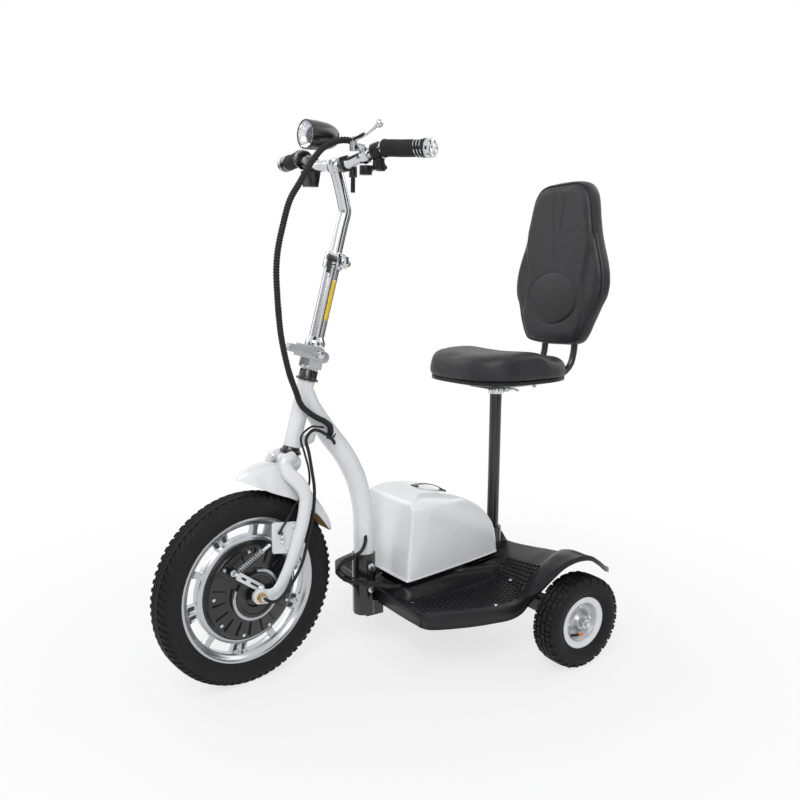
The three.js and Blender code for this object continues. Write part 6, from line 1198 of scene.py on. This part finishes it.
def battery_box():
    front = [
        (0, 0.011), (0.2, 0.016), (0.5, 0.036), (0.8, 0.062), (0.895, 0.072), (0.925, 0.082), (0.96, 0.13),
        (0.985, 0.175), (1.0, 0.21),
    ]
    rear = [
        (0, 1), (0.107, 1), (0.299, 0.989), (0.471, 0.959), (0.6, 0.902), (0.706, 0.831), (0.8, 0.74),
        (0.888, 0.613), (0.95, 0.47), (0.989, 0.35), (1.0, 0.3),
    ]
    width = [
        (0, 1), (0.4, 0.99), (0.8, 0.962), (0.842, 0.957), (0.856, 0.95), (0.87, 0.935), (0.92, 0.86), (0.96, 0.79),
        (0.985, 0.72), (1.0, 0.62),
    ]
    levels = [
        0, 0.05, 0.107, 0.2, 0.3, 0.4, 0.5, 0.6, 0.68, 0.75, 0.8, 0.835, 0.848, 0.856, 0.864, 0.873, 0.888, 0.91,
        0.93, 0.948, 0.962, 0.975, 0.985, 0.993, 0.998, 1.0,
    ]
    smooth_rear = [(a, b) for a, b in path_through(rear, 4)]
    rings = []
    for h in levels:
        def height(y, h=h):
            return max(BOX_FOOT + BOX_HEIGHT * h, seam(y) + 0.3 + 3 * h)
        ends = (BOX_FRONT + BOX_LENGTH * sampled(table, h) for table in (front, smooth_rear))
        rings.append(plan_ring(PLAN, BOX_HALF, *ends, height, sampled(width, h)))
    fitted("battery_cover_shell", lofted(rings), WHITE_COVER, "frame", "battery_cover", angle=34)
    lip = []
    for up, out in ((0.0, 0), (1.2, 0.9), (3.2, 0.9), (4.4, 0.2)):
        ends = (BOX_FRONT - out, BOX_FRONT + BOX_LENGTH + out)
        lip.append(plan_ring(PLAN, BOX_HALF + out, *ends, lambda y, up=up: seam(y) + up + 0.2))
    fitted("battery_cover_lip", lofted(lip), WHITE_COVER, "frame", angle=30)
    top = sorted((BOX_FRONT + BOX_LENGTH * b, BOX_FOOT + BOX_HEIGHT * a) for a, b in smooth_rear)
    strap, low, high = [], 424, 506
    for k in range(25):
        y = low + (high - low) * k / 24
        strap.append(place(0, y, sampled(top, y) + 1.2 + 7 * math.sin(math.pi * k / 24) ** 0.7))
    fitted("battery_cover_strap", swept(strap, [(6.5, 1.2)] * 25, X, 12), GREY, "frame")
    feet = together(*[boxed((21, 9, 3), place(0, y, sampled(top, y) + 0.6)) for y in (low + 2, high - 2)])
    fitted("strap_feet", feet, PLASTIC_FINE, "frame", edge=0.8)
    rings = [
        plan_ring(SKIRT_LOW, 118, 322, 630, lambda y: 140.4),
        plan_ring(SKIRT_LOW, 117, 322.6, 628, lambda y: 144),
        plan_ring(SKIRT_LOW, 112, 326, 620, lambda y: 152 + (y - BOX_FRONT) * 0.02),
        plan_ring(PLAN, 104.5, 331, 611, lambda y: seam(y) - 10),
        plan_ring(PLAN, 100.5, 335, 606, lambda y: seam(y) - 3.4),
        plan_ring(PLAN, 98.9, 336.6, 604, lambda y: seam(y) - 0.4),
    ]
    fitted("battery_base_skirt", lofted(rings), PLASTIC, "frame", "battery_base", angle=40)


battery_box()


# Seat
def post(name, radius, low, high, look, body):
    inner = radius - 1.6
    rows = [(low, inner), (low, radius - 0.5), (low + 0.5, radius)]
    rows += [(high - 0.8, radius), (high, radius - 0.8), (high, inner)]
    fitted(name + "_tube", turned_about(rows, place(0, SEAT_POST, 0), Z, 48, True), look, body, name)


post("seat_post_outer", 14, 92, 560, BLACK, "frame")
post("seat_post_inner", 11.3, 330, 582, CHROME, "seat")

# Layers of the cushion and of the backrest: share of the plan, share of the height or depth
CUSHION = [
    (0.75, 0.1), (0.9, 0.09), (0.965, 0.1), (0.985, 0.15), (0.988, 0.3), (0.975, 0.5), (0.962, 0.68), (0.945, 0.78),
    (0.915, 0.84), (0.86, 0.885), (0.78, 0.91), (0.64, 0.935), (0.5, 0.94), (0.3, 0.945), (0.12, 0.945),
]
BACK_LAYERS = [
    (0.6, 1.02), (0.85, 1.02), (0.93, 1.0), (0.975, 0.95), (0.995, 0.85), (1, 0.6), (0.995, 0.36), (0.985, 0.26),
    (0.955, 0.2), (0.95, 0.15), (0.965, 0.1), (0.955, 0.06), (0.93, 0.045), (0.88, 0.055), (0.75, 0.08), (0.5, 0.09),
    (0.1, 0.09),
]
BACK_FACE = [
    (0, 0), (0.2, 0.0), (0.42, 0.004), (0.58, 0.02), (0.67, 0.06), (0.77, 0.14), (0.89, 0.235), (0.975, 0.3),
    (1, 0.365), (0.985, 0.44), (0.93, 0.52), (0.85, 0.6), (0.77, 0.69), (0.71, 0.78), (0.665, 0.86), (0.61, 0.925),
    (0.5, 0.975), (0.34, 0.997), (0.16, 1.0), (0, 1),
]


def cushion_place(angle, scale, high, grow=1.0):
    c, s = math.cos(angle), math.sin(angle)
    radius = (abs(c) ** 2.5 + abs(s) ** 2.5) ** (-1 / 2.5)
    pull = 1 - 0.045 * math.cos(2 * angle) ** 2 * scale
    u, v = c * radius * pull * scale, s * radius * pull * scale
    upper = max(high - 0.58, 0) / 0.42
    saddle = 0.16 * (u * u - 1 / 3) * upper
    dip = 0.1 * max(v, 0) * (1 - v * v) * upper
    low_rear = 0.17 * soft_step((v + 0.02) / 0.5) * soft_step((high - 0.3) / 0.5)
    return place(157 * u * grow, 662 + 155 * v * grow, 590 + 71 * (high + saddle - dip - low_rear))


def swollen(name, shape, look, cap, voxel, frames=20):
    """A padded form: a slightly small shape that is blown up by simulation, no further than cap millimetres."""
    piece = made(name, shape, look, 0, 80)
    remesh = piece.modifiers.new("skin", "REMESH")
    remesh.mode, remesh.voxel_size, remesh.use_smooth_shade = "VOXEL", voxel * MM, True
    applied(piece)
    start = [v.co.copy() for v in piece.data.vertices]
    cloth = piece.modifiers.new("padding", "CLOTH")
    cloth.settings.use_pressure = True
    cloth.settings.uniform_pressure_force = 4.0
    cloth.settings.effector_weights.gravity = 0
    cloth.settings.tension_stiffness = cloth.settings.compression_stiffness = 25
    cloth.settings.quality = 4
    scene = bpy.context.scene
    cloth.point_cache.frame_start, cloth.point_cache.frame_end = 1, frames
    for step in range(1, frames + 1):
        scene.frame_set(step)
    blown = piece.evaluated_get(bpy.context.evaluated_depsgraph_get()).to_mesh()
    ends = [v.co.copy() for v in blown.vertices]
    piece.modifiers.remove(cloth)
    scene.frame_set(1)
    for vertex, was, now in zip(piece.data.vertices, start, ends):
        move = now - was
        far = move.length / (cap * MM)
        vertex.co = was + (move / far if far > 1 else move)
    calm = piece.modifiers.new("calm", "SMOOTH")
    calm.factor, calm.iterations = 0.5, 14
    applied(piece)
    rounding = piece.modifiers.new("rounding", "SUBSURF")
    rounding.levels = rounding.render_levels = 1
    return shaded(applied(piece), 80)


def seat_cushion():
    def ring(steps, share, high, grow=1.0, drop=0.0):
        return [cushion_place(2 * math.pi * k / steps, share, high, grow) - Z * drop * MM for k in range(steps)]

    rings = [ring(96, share, high, 0.985) for share, high in path_through(CUSHION, 3)]
    piece = swollen("seat_cushion_pad", lofted(rings), SEAT, 4, 5.0)
    for vertex in piece.data.vertices:
        vertex.co.z = max(vertex.co.z, 0.59)
    settle(piece, "seat", "seat_vinyl", "seat_cushion")
    rows = ((0.72, 0.04, 3.2), (0.88, 0.04, 3.2), (0.93, 0.05, 1.8), (0.93, 0.12, 0), (0.7, 0.13, 0))
    pan = [ring(64, share, high, 1.0, drop) for share, high, drop in rows]
    fitted("seat_underside", lofted(pan), PLASTIC, "seat")


seat_cushion()

# Backrest: its foot, lean and half height
BACK_Y, BACK_Z, BACK_MIDDLE = 822, 660, 193
BACK_LEAN = math.tan(math.radians(3))


def back_place(x, z, deep):
    return place(x, BACK_Y + z * BACK_LEAN + deep, BACK_Z + z)


def back_depth(x, z):
    """The face's shape: the lumbar disc, the thin keyhole line and the swept-back wings."""
    away = math.hypot(x / 80, (z - 113) / 60)
    disc = -5.5 * max(0, 1 - away * away) - 1.2 * soft_step((1 - away) / 0.06)
    disc += 1.3 * math.exp(-(((away - 1.03) / 0.035) ** 2))
    middle = 84 + 22 * abs(z - 150) / 150
    wing = 5.5 * soft_step((abs(x) - middle) / 12) * soft_step((z - 50) / 50) * soft_step((320 - z) / 90)
    half = 4 + 13 * soft_step((z - 190) / 160)
    off = abs(math.hypot(x, max(0, z - 344)) - half)
    keyhole = 1.1 * math.exp(-((off / 1.8) ** 2)) if 204 < z < 366 else 0
    return disc + wing + keyhole


def backrest():
    half = path_through([(149 * x, 386 * z) for x, z in BACK_FACE], 6)
    half[0].x = half[-1].x = 0
    rim = half + [Vector((-p.x, p.y)) for p in reversed(half[1:-1])]

    def ring(share, deep):
        return [back_place(x * share, BACK_MIDDLE + (z - BACK_MIDDLE) * share, deep) for x, z in rim]

    rings = [ring(share, 44 * deep) for share, deep in path_through(BACK_LAYERS, 3)]
    piece = swollen("backrest_pad_form", lofted(rings), SEAT, 3, 4.0)
    for vertex in piece.data.vertices:
        p = vertex.co / MM - ROW
        z = p.z - BACK_Z
        deep = p.y - BACK_Y - z * BACK_LEAN
        if deep < 18:
            vertex.co.y += back_depth(p.x, z) * min(1, (18 - deep) / 8) * MM
    settle(piece, "seat", "seat_vinyl", "backrest_pad")
    # A thin black tube sunk into the pad along the groove line: painted shade in the groove.
    line = []
    for x, z in rim:
        x *= 0.945
        line.append(back_place(x, BACK_MIDDLE + (z - BACK_MIDDLE) * 0.962, 8.0 + back_depth(x, z)))
    shape = swept([*line, line[0]], [1.5] * (len(line) + 1), Y, 8, False)
    fitted("backrest_groove_cord", shape, PLASTIC_FINE, "seat", slot="seat_vinyl")
    shell = [ring(share, deep) for share, deep in ((0.9, 43.4), (0.9, 45.8), (0.86, 46.6), (0.5, 46.8))]
    fitted("backrest_rear_shell", lofted(shell), PLASTIC, "seat")


backrest()


def back_frame():
    route = [(640, 0), (742, 0), (786, 2), (822, 12), (848, 31), (858, 58), (861, 86), (862, 118), (864, 178)]
    tubes = []
    for side in (-1, 1):
        line = path_through([place(side * 50, y, 582.3 + z) for y, z in route], 6)
        tubes.append(swept(line, 8, X, 24))
    for y, z in ((640, 582.3), (862, 700.3)):
        tubes.append(swept([place(-50, y, z), place(50, y, z)], 8, Z, 24))
    fitted("backrest_tubes", together(*tubes), BLACK, "seat", "backrest_frame", angle=50)
    bolts = [place(x, y, 573.2) for x in (-50, 50) for y in (654, 735)]
    head = turned_about([(0, 5.4), (3.4, 5.4), (4.4, 4.6), (4.4, 2.6), (2, 2.6), (2, 0.4)], (0, 0, 0), Z, 6)
    scattered("seat_bolts", bolts, [facing_of(-Z, Y)] * 4, head, STEEL, "seat", 20)


back_frame()
dressed("seat_bracket", BLACK, "seat", 0.8)
dressed("seat_clamp_collar", CHROME, "frame", 0.8)
dressed("seat_clamp_lever", CHROME, "seat_clamp_lever", 1.2)


# Steering column
STEM_TOP_Y, STEM_TOP_Z = 226, 1046


def column():
    up = on_axis(1) - on_axis(0)
    tube = [(138, 13.2), (138, 15), (138.5, 15.5), (330, 15.5), (331, 14.5), (331, 13.2)]
    fitted("lower_stem", turned_about(tube, on_axis(0), up, 56, True), ALLOY, "column", "lower_stem_tube")
    socket = [(138.4, 15.6), (138.4, 20), (140, 21), (150, 21), (153, 19.5), (158, 16.6), (160, 15.6)]
    fitted("lower_stem_socket", turned_about(socket, on_axis(0), up, 56, True), CHROME, "column", edge=0.4)
    line = [on_axis(up) for up in (205, 300, 390, 420)]
    line += [steered(0, y, z) for y, z in ((249, 975), (240, 1006), (229, 1037), (STEM_TOP_Y, STEM_TOP_Z))]
    fitted("upper_stem", swept(path_through(line, 6), 12.7, SIDE, 40), CHROME, "bars", "upper_stem_tube")
    line = [steered(0, STEM_TOP_Y + 10 * k / 8, STEM_TOP_Z - 32 * k / 8) for k in range(-3, 4)]
    sleeve = swept(line, [14.6, 16.2, 16.6, 16.6, 16.6, 16, 14.2], SIDE, 40)
    fitted("stem_head_sleeve", sleeve, CHROME, "bars", edge=0.4)
    patch = []
    for k in range(13):
        angles = [math.radians(-14 + 40 * (j / 8)) for j in range(9)]
        patch.append([on_axis(196 + 84 * k / 12, 15.75 * math.sin(a), 15.75 * math.cos(a)) for a in angles])
    settle(skin_piece("stem_side_strip", patch, 0.25, [YELLOW], 0, 60), "column")


column()
dressed("fold_base", CAST, "steering", 1.0)
dressed("fold_pin", STEEL, "steering", 0.6)
dressed("fold_latch_lever", CAST, "fold_latch", 1.2)
dressed("stem_clamp", CHROME, "column", 0.9)
dressed("stem_clamp_lever", BLACK, "stem_clamp_lever", 1.2)


# Handlebar
def bar_line():
    shares = [
        (0, 0, 0), (0.1, -0.03, 0.01), (0.216, -0.1, 0.045), (0.431, 0.05, 0.636), (0.552, 0.26, 0.995),
        (0.75, 0.63, 0.93), (1, 1, 0.818),
    ]
    right = [(232 * x, STEM_TOP_Y + 40 * y, STEM_TOP_Z + 22 * z) for x, y, z in shares]
    right = path_through(right, 8)
    return [Vector((-p.x, p.y, p.z)) for p in reversed(right[1:])] + right


BAR = bar_line()


def bar_at(x):
    """The bar's middle and its direction at a distance from the centre."""
    for a, b in zip(BAR, BAR[1:]):
        if a.x <= x <= b.x:
            return a + (b - a) * ((x - a.x) / max(b.x - a.x, 1e-6)), unit(b - a)
    return BAR[-1], unit(BAR[-1] - BAR[-2])


def along_bar(rows):
    """A turned form on the bar: rows of (x, radius)."""
    return swept([steered(*bar_at(x)[0]) for x, _ in rows], [radius for _, radius in rows], Z, 40)


def handlebar():
    line = [steered(*p) for p in BAR if abs(p.x) < 229]
    fitted("handlebar_tube", swept(line, 11.1, Z, 36), CHROME, "bars", "handlebar")
    rows = [(131, 12.5), (131.6, 15.6), (133, 16.6), (136, 16.6), (137.4, 15.6), (138, 15.4)]
    for k in range(1, 16):
        x = 138 + k * 4.4
        rows += [(x - 1.2, 15.4), (x - 0.7, 14.9), (x + 0.7, 14.9), (x + 1.2, 15.4)]
    rows += [(212, 15.4), (213, 16.4), (219.6, 16.6), (220.6, 15.8), (221, 12.5)]
    fitted("grip_left_cover", along_bar(rows), GRIP, "bars", "grip_left", angle=32)
    rows = [(-x, r) for x, r in reversed(rows)]
    fitted("grip_right_cover", along_bar(rows), GRIP, "throttle_grip", "throttle_grip_right", angle=32)
    section = [(-0.8, 15.6), (-0.8, 16.8), (0.8, 16.8), (0.8, 15.6)]
    for name, side, body in (("left", 1, "bars"), ("right", -1, "throttle_grip")):
        bands = []
        for x in (214, 207.5, 201):
            at, along = bar_at(side * x)
            slant = unit(along + Vector((0, 0.0, 0.22 * side)))
            bands.append(turned_about(section, steered(*at), steered(*(at + slant)) - steered(*at), 40, True))
        fitted(f"grip_{name}_bands", together(*bands), CHROME, body)


handlebar()
dressed("bar_end_left", CHROME, "bars", 0.8)
dressed("bar_end_right", CHROME, "bars", 0.8)
dressed("brake_lever_perch", CHROME, "bars", 0.8)
dressed("horn", BLACK_SHELL, "bars", 0.8)
dressed("throttle_housing", BLACK_SHELL, "bars", 0.8)
dressed("switch_body", PLASTIC_FINE, "bars", 0.9)
dressed("ignition_lock", BLACK_SHELL, "bars", 0.5)
dressed("ignition_key", PLASTIC_FINE, "ignition_key", 0.2)
dressed("horn_button", PLASTIC, "horn_button", 0.6)
dressed("light_switch", PLASTIC, "light_switch", 0.5)


def brake_lever():
    mid = [
        (84, 204, 1085), (100, 200, 1086.5), (116, 195.5, 1088), (133, 189, 1089), (150, 185, 1092),
        (166, 184, 1097.5), (172, 184.6, 1100),
    ]
    sizes = [(4.6, 2.9), (4.9, 2.9), (5.2, 2.8), (5.2, 2.8), (4.8, 2.8), (4.4, 3.0), (4.2, 3.4)]
    line = path_through([steered(*p) for p in mid], 5)
    blade = swept(line, [(a, b) for a, b in path_through(sizes, 5)], Z, 20)
    turns = [math.pi * k / 12 for k in range(1, 12)]
    rows = [(-7.2 * math.cos(t), 7.2 * math.sin(t)) for t in turns]
    at = steered(178, 185, 1102)
    ball = turned_about(rows, at, steered(179, 185, 1102.3) - at, 24)
    fitted("brake_lever_blade", together(blade, ball), CHROME, "brake_lever", "brake_lever", angle=60)


brake_lever()


def headlight():
    ahead = TURN @ -Y
    centre = steered(0, 191, 1097)
    outer = [(-38, 6), (-36.5, 12), (-32, 17.5), (-24, 21.5), (-12, 24.6), (2, 26.2), (18, 27), (32, 27)]
    outer += [(38, 27), (38, 25.2), (36.8, 24.6), (24, 22.6), (24, 4)]
    shape = turned_about(outer, centre, ahead, 56)
    fitted("headlight_shell", shape, BLACK_SHELL, "bars", "headlight_body", edge=0.3)
    bowl = [(37, 24.4), (33, 23.2), (27, 19), (22, 12), (19.6, 5), (19.6, 4), (18.4, 4), (21, 13)]
    bowl += [(26, 20), (32, 24.4), (36, 24.5)]
    fitted("headlight_reflector", turned_about(bowl, centre, ahead, 48, True), CHROME, "bars")
    glass = [(36.4, 24.3), (37.4, 24.3), (39, 21), (40.4, 15), (41.2, 8), (41.4, 0.6)]
    glass += [(40.2, 0.6), (40, 8), (39.2, 15), (37.8, 21)]
    fitted("headlight_glass", turned_about(glass, centre, ahead, 48, True), LENS, "bars", "headlight_lens")
    bulb = [(18, 2), (20, 4.4), (27, 4.4), (29.6, 2.4), (30, 0.5)]
    fitted("headlight_bulb", turned_about(bulb, centre, ahead, 24), LENS, "bars")


headlight()


# Cables
def ribbed(points, radius, pitch=5.4):
    """A sleeve with rings along it, as the bundle's corrugated cover."""
    line = path_through(points, 6)
    lengths = [0.0]
    for a, b in zip(line, line[1:]):
        lengths.append(lengths[-1] + (b - a).length / MM)
    rib = (1, 1, 0.93, 0.86, 0.86, 0.93)
    steps = int(lengths[-1] / pitch) * len(rib)
    path, widths = [], []
    j = 0
    for k in range(steps + 1):
        at = lengths[-1] * k / steps
        while j < len(lengths) - 2 and lengths[j + 1] < at:
            j += 1
        share = (at - lengths[j]) / max(lengths[j + 1] - lengths[j], 1e-9)
        path.append(line[j] + (line[j + 1] - line[j]) * share)
        widths.append(radius * rib[k % len(rib)])
    return swept(path, widths, X, 18)


def blended(name, shape, first, second, start, end, node):
    """A cable, made in place, which stands for its node."""
    piece = made(name, shape, GRIP, 0, 60)
    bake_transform(piece)
    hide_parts(node)


def held(held_by_frame, held_by_steering):
    """A cable's places: the first ones on the frame, the others on the steering."""
    return path_through([place(*p) for p in held_by_frame] + [steered(*p) for p in held_by_steering], 6)


def bundle():
    upper = [
        (64, 224, 1083), (60, 207, 1086), (54, 187, 1083), (49, 163, 1072), (45, 138, 1046), (42, 111, 1006),
        (40, 89, 973), (40, 73, 928), (40, 61, 883), (40, 57, 846), (40, 58, 810), (40, 61, 768), (40, 66, 725),
        (38, 76, 685), (36, 89, 645), (33, 106, 609),
    ]
    lower = [
        (32, 126, 579), (32, 142, 563), (33, 160, 550), (35, 178, 540), (36, 189, 530), (31, 193, 518),
        (20, 197, 510), (10, 200, 506),
    ]
    whole = path_through([*[steered(*p) for p in upper], *[place(*p) for p in lower]], 6)
    for name, low, high, first, second in (
        ("top", 0.752, 9, "column", "bars"),
        ("middle", 0.625, 0.778, "steering", "column"),
        ("foot", -9, 0.655, "frame", "steering"),
    ):
        line = [p for p in whole if low <= p.z <= high]
        line = line[::2] + ([line[-1]] if len(line) % 2 == 0 else [])
        ends = min(line, key=lambda p: p.z), max(line, key=lambda p: p.z)
        blended("cable_bundle_" + name, ribbed(line, 6.4), first, second, *ends, "cable_bundle")


def front_cables():
    motor_low = [(20, 207, 489), (30, 200, 496), (35, 185, 509), (37, 165, 522), (40, 147, 526)]
    motor_high = [
        (42, 124, 512), (47, 127, 484), (50, 133, 443), (51, 138, 408), (51, 137, 371), (51, 130, 329),
        (53, 117, 288), (60, 99, 252), (64, 76, 224), (66, 54, 204), (70, 32, 194), (73, 14, 197), (71.4, 2, 205),
    ]
    shape = swept(held(motor_low, motor_high), 3.4, X, 16)
    ends = place(35, 185, 509), place(35, 137, 485)
    blended("motor_cable_sheath", shape, "frame", "steering", *ends, "motor_cable")
    brake_low = [(34, 175, 528), (35, 161, 531), (37, 146, 533)]
    brake_high = [
        (34, 117, 516), (36, 124, 482), (37.6, 134, 443), (37.6, 134, 412), (37.6, 117, 389), (38.2, 99, 376),
        (42, 89, 369), (47.5, 77, 359), (50.2, 62, 343), (50.2, 49, 326),
    ]
    shape = swept(held(brake_low, brake_high), 2.2, X, 12)
    ends = place(34, 175, 528), place(34, 124, 502.5)
    blended("brake_cable_sheath", shape, "frame", "steering", *ends, "brake_cable")


def deck_loops():
    """The loop from the neck's foot into the deck, with thin wires beside it."""
    loop = [
        (10, 286, 277), (27, 277, 263), (35, 263, 246), (33, 243, 233), (18, 229, 220), (0, 224, 204),
        (-5, 223, 190), (10, 226, 182), (34, 238, 178), (46, 262, 172), (58, 288, 168), (76, 308, 166),
        (86, 329, 165),
    ]
    shape = swept(held(loop, []), 4, X, 16)
    fitted("loop_cable_sheath", shape, GRIP, "frame", "loop_cable", angle=60)
    wires = []
    for dx, dz, dy in ((9, 5, -5), (-8, -4, 4), (4, 9, 3)):
        points = []
        for k, (x, y, z) in enumerate(loop):
            out = math.sin(math.pi * k / 12)
            points.append((x + dx * (0.3 + 0.7 * out), y + dy * out, z + dz * out))
        wires.append(swept(held(points, []), 2.3, X, 10))
    fitted("loop_wires", together(*wires), GRIP, "frame", angle=60)
    sleeves = []
    for a, b, radius in (((44, 256, 173), (56, 282, 169.4), 7.2), ((14, 228, 181.4), (30, 236, 179), 6.4)):
        sleeves.append(swept([place(*a), place(*b)], radius, Z, 14))
    fitted("loop_connectors", together(*sleeves), PLASTIC_FINE, "frame", edge=1.2)
    rows = [(-2.2, 10.2), (-2.2, 11.4), (2.2, 11.4), (2.2, 10.2)]
    at = place(36, 243, 177)
    tie = turned_about(rows, at, place(52, 262, 172) - at, 28, True)
    fitted("loop_tie", tie, PLASTIC_FINE, "frame", edge=0.2)


bundle()
front_cables()
deck_loops()


def brake_spring():
    """The return spring on the brake wire, with its adjuster barrel and nut."""
    foot = Vector((50, -55, AXLE_Z + 62))
    along = unit(Vector((0, 26, 13)))
    over = unit(along.cross(X))
    turns, radius, wire, length, sides = 11, 5.4, 0.9, 58, 18
    coil = length - wire * 2
    path = []
    for k in range(turns * sides + 1):
        angle = 2 * math.pi * k / sides
        p = foot + along * (9 + wire + coil * k / (turns * sides))
        path.append(steered(*(p + X * radius * math.cos(angle) + over * radius * math.sin(angle))))
    shape = swept(path, wire, X, 7)
    spring = fitted(
        "brake_spring_coil", shape, CHROME, "steering", "brake_spring", angle=60, slot="bright_steel"
    )
    at = steered(*(foot + along * 67.3))
    axis = steered(*(foot + along * 70)) - at
    knurl = [(1 + k, 3.7 if k % 2 else 3.3) for k in range(24)]
    rows = [(0, 1.5), (0, 3.2), (0.4, 3.7), *knurl, (26, 3.2), (26, 1.5)]
    fitted("brake_adjuster_barrel", turned_about(rows, at, axis, 20, True), STEEL, "steering")
    rows = [(0.4, 3.6), (0.4, 5.4), (1, 6.2), (5, 6.2), (5.6, 5.4), (5.6, 3.6)]
    nut = turned_about(rows, at, axis, 6, True)
    fitted("brake_adjuster_nut", nut, STEEL, "steering", edge=0.2, angle=20)
    line = [steered(*(foot + along * d)) for d in (-4, 20, 50, 67)]
    inner = fitted("brake_inner_wire", swept(line, 0.8, X, 8), STEEL, "steering")
    for piece, keep in ((spring, 0.7), (inner, 0.76)):
        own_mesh(piece)


brake_spring()


# Floor, lamps and dark cards
def facing(middle, at, track):
    return (Vector(middle) - Vector(at)).to_track_quat(track, "Y").to_euler()


def plane(name, size, at, look):
    bpy.ops.mesh.primitive_plane_add(size=size, location=at)
    piece = bpy.context.object
    piece.name = name
    piece.data.materials.append(look)
    return piece


def floor_look():
    """A white floor that fades into the white room away from the object."""
    look = Look("floor", Base_Color=(0.86, 0.865, 0.875), Roughness=0.6)
    reach = look.node("VectorMath", {"operation": "LENGTH"}, {0: look.place}, "Value")
    share = look.seen_directly() * reach.step(0.35, 1.5, 0.72, 1.0)
    lit = Value(look, look.shader.outputs[0])
    plain = look.node("Emission", {}, {"Strength": 1.0})
    seen = look.node("MixShader", {}, {0: share, 1: lit, 2: plain})
    look.give(look.tree.nodes["Material Output"], "Surface", seen)
    return look.material


LAMPS = (
    ("key_lamp", (1.9, -1.9, 2.9), 1.8, 62),
    ("fill_lamp", (-2.6, -1.4, 2.0), 2.2, 20),
    ("back_lamp", (0.4, 2.8, 2.4), 2.0, 18),
)
DARK_CARDS = (
    ((3.2, 0.6, 0.9), 1.5, 2.6),
    ((2.4, -3.0, 0.9), 1.3, 2.6),
    ((-0.4, -3.6, 0.9), 1.2, 2.6),
    ((-3.2, -0.8, 0.9), 1.6, 2.6),
    ((-1.6, 3.2, 0.9), 1.6, 2.6),
    ((1.9, 3.0, 0.9), 1.4, 2.6),
    ((0.5, -0.4, 3.6), 1.7, 1.7),
)


def stage():
    plane("floor", 40, (0, 0, 0), floor_look())
    for name, at, size, power in LAMPS:
        data = bpy.data.lights.new(name, "AREA")
        data.size, data.energy = size, power
        lamp = bpy.data.objects.new(name, data)
        lamp.location = at
        lamp.rotation_euler = facing((0, 0, 0.45), at, "-Z")
        bpy.context.scene.collection.objects.link(lamp)
    dark = Look("dark card", Base_Color=(0.012, 0.012, 0.013), Roughness=1.0).material
    for k, (at, width, height) in enumerate(DARK_CARDS):
        card = plane(f"dark_card_{k}", 1, at, dark)
        card.scale = (width, height, 1)
        card.rotation_euler = facing((0, 0, 0.7), at, "Z")
        for ray in ("camera", "diffuse", "shadow", "transmission"):
            setattr(card, "visible_" + ray, False)
    world = bpy.data.worlds.new("room")
    bpy.context.scene.world = world
    world.use_nodes = True
    room = Nodes(world.node_tree)
    back = world.node_tree.nodes["Background"]
    strength = room.node("MapRange", {}, {"Value": room.seen_directly(), "To Min": 0.5, "To Max": 1.0})
    room.give(back, "Strength", strength)
    room.give(back, "Color", (1, 1, 1))
    bpy.context.scene.view_settings.view_transform = "Standard"


stage()
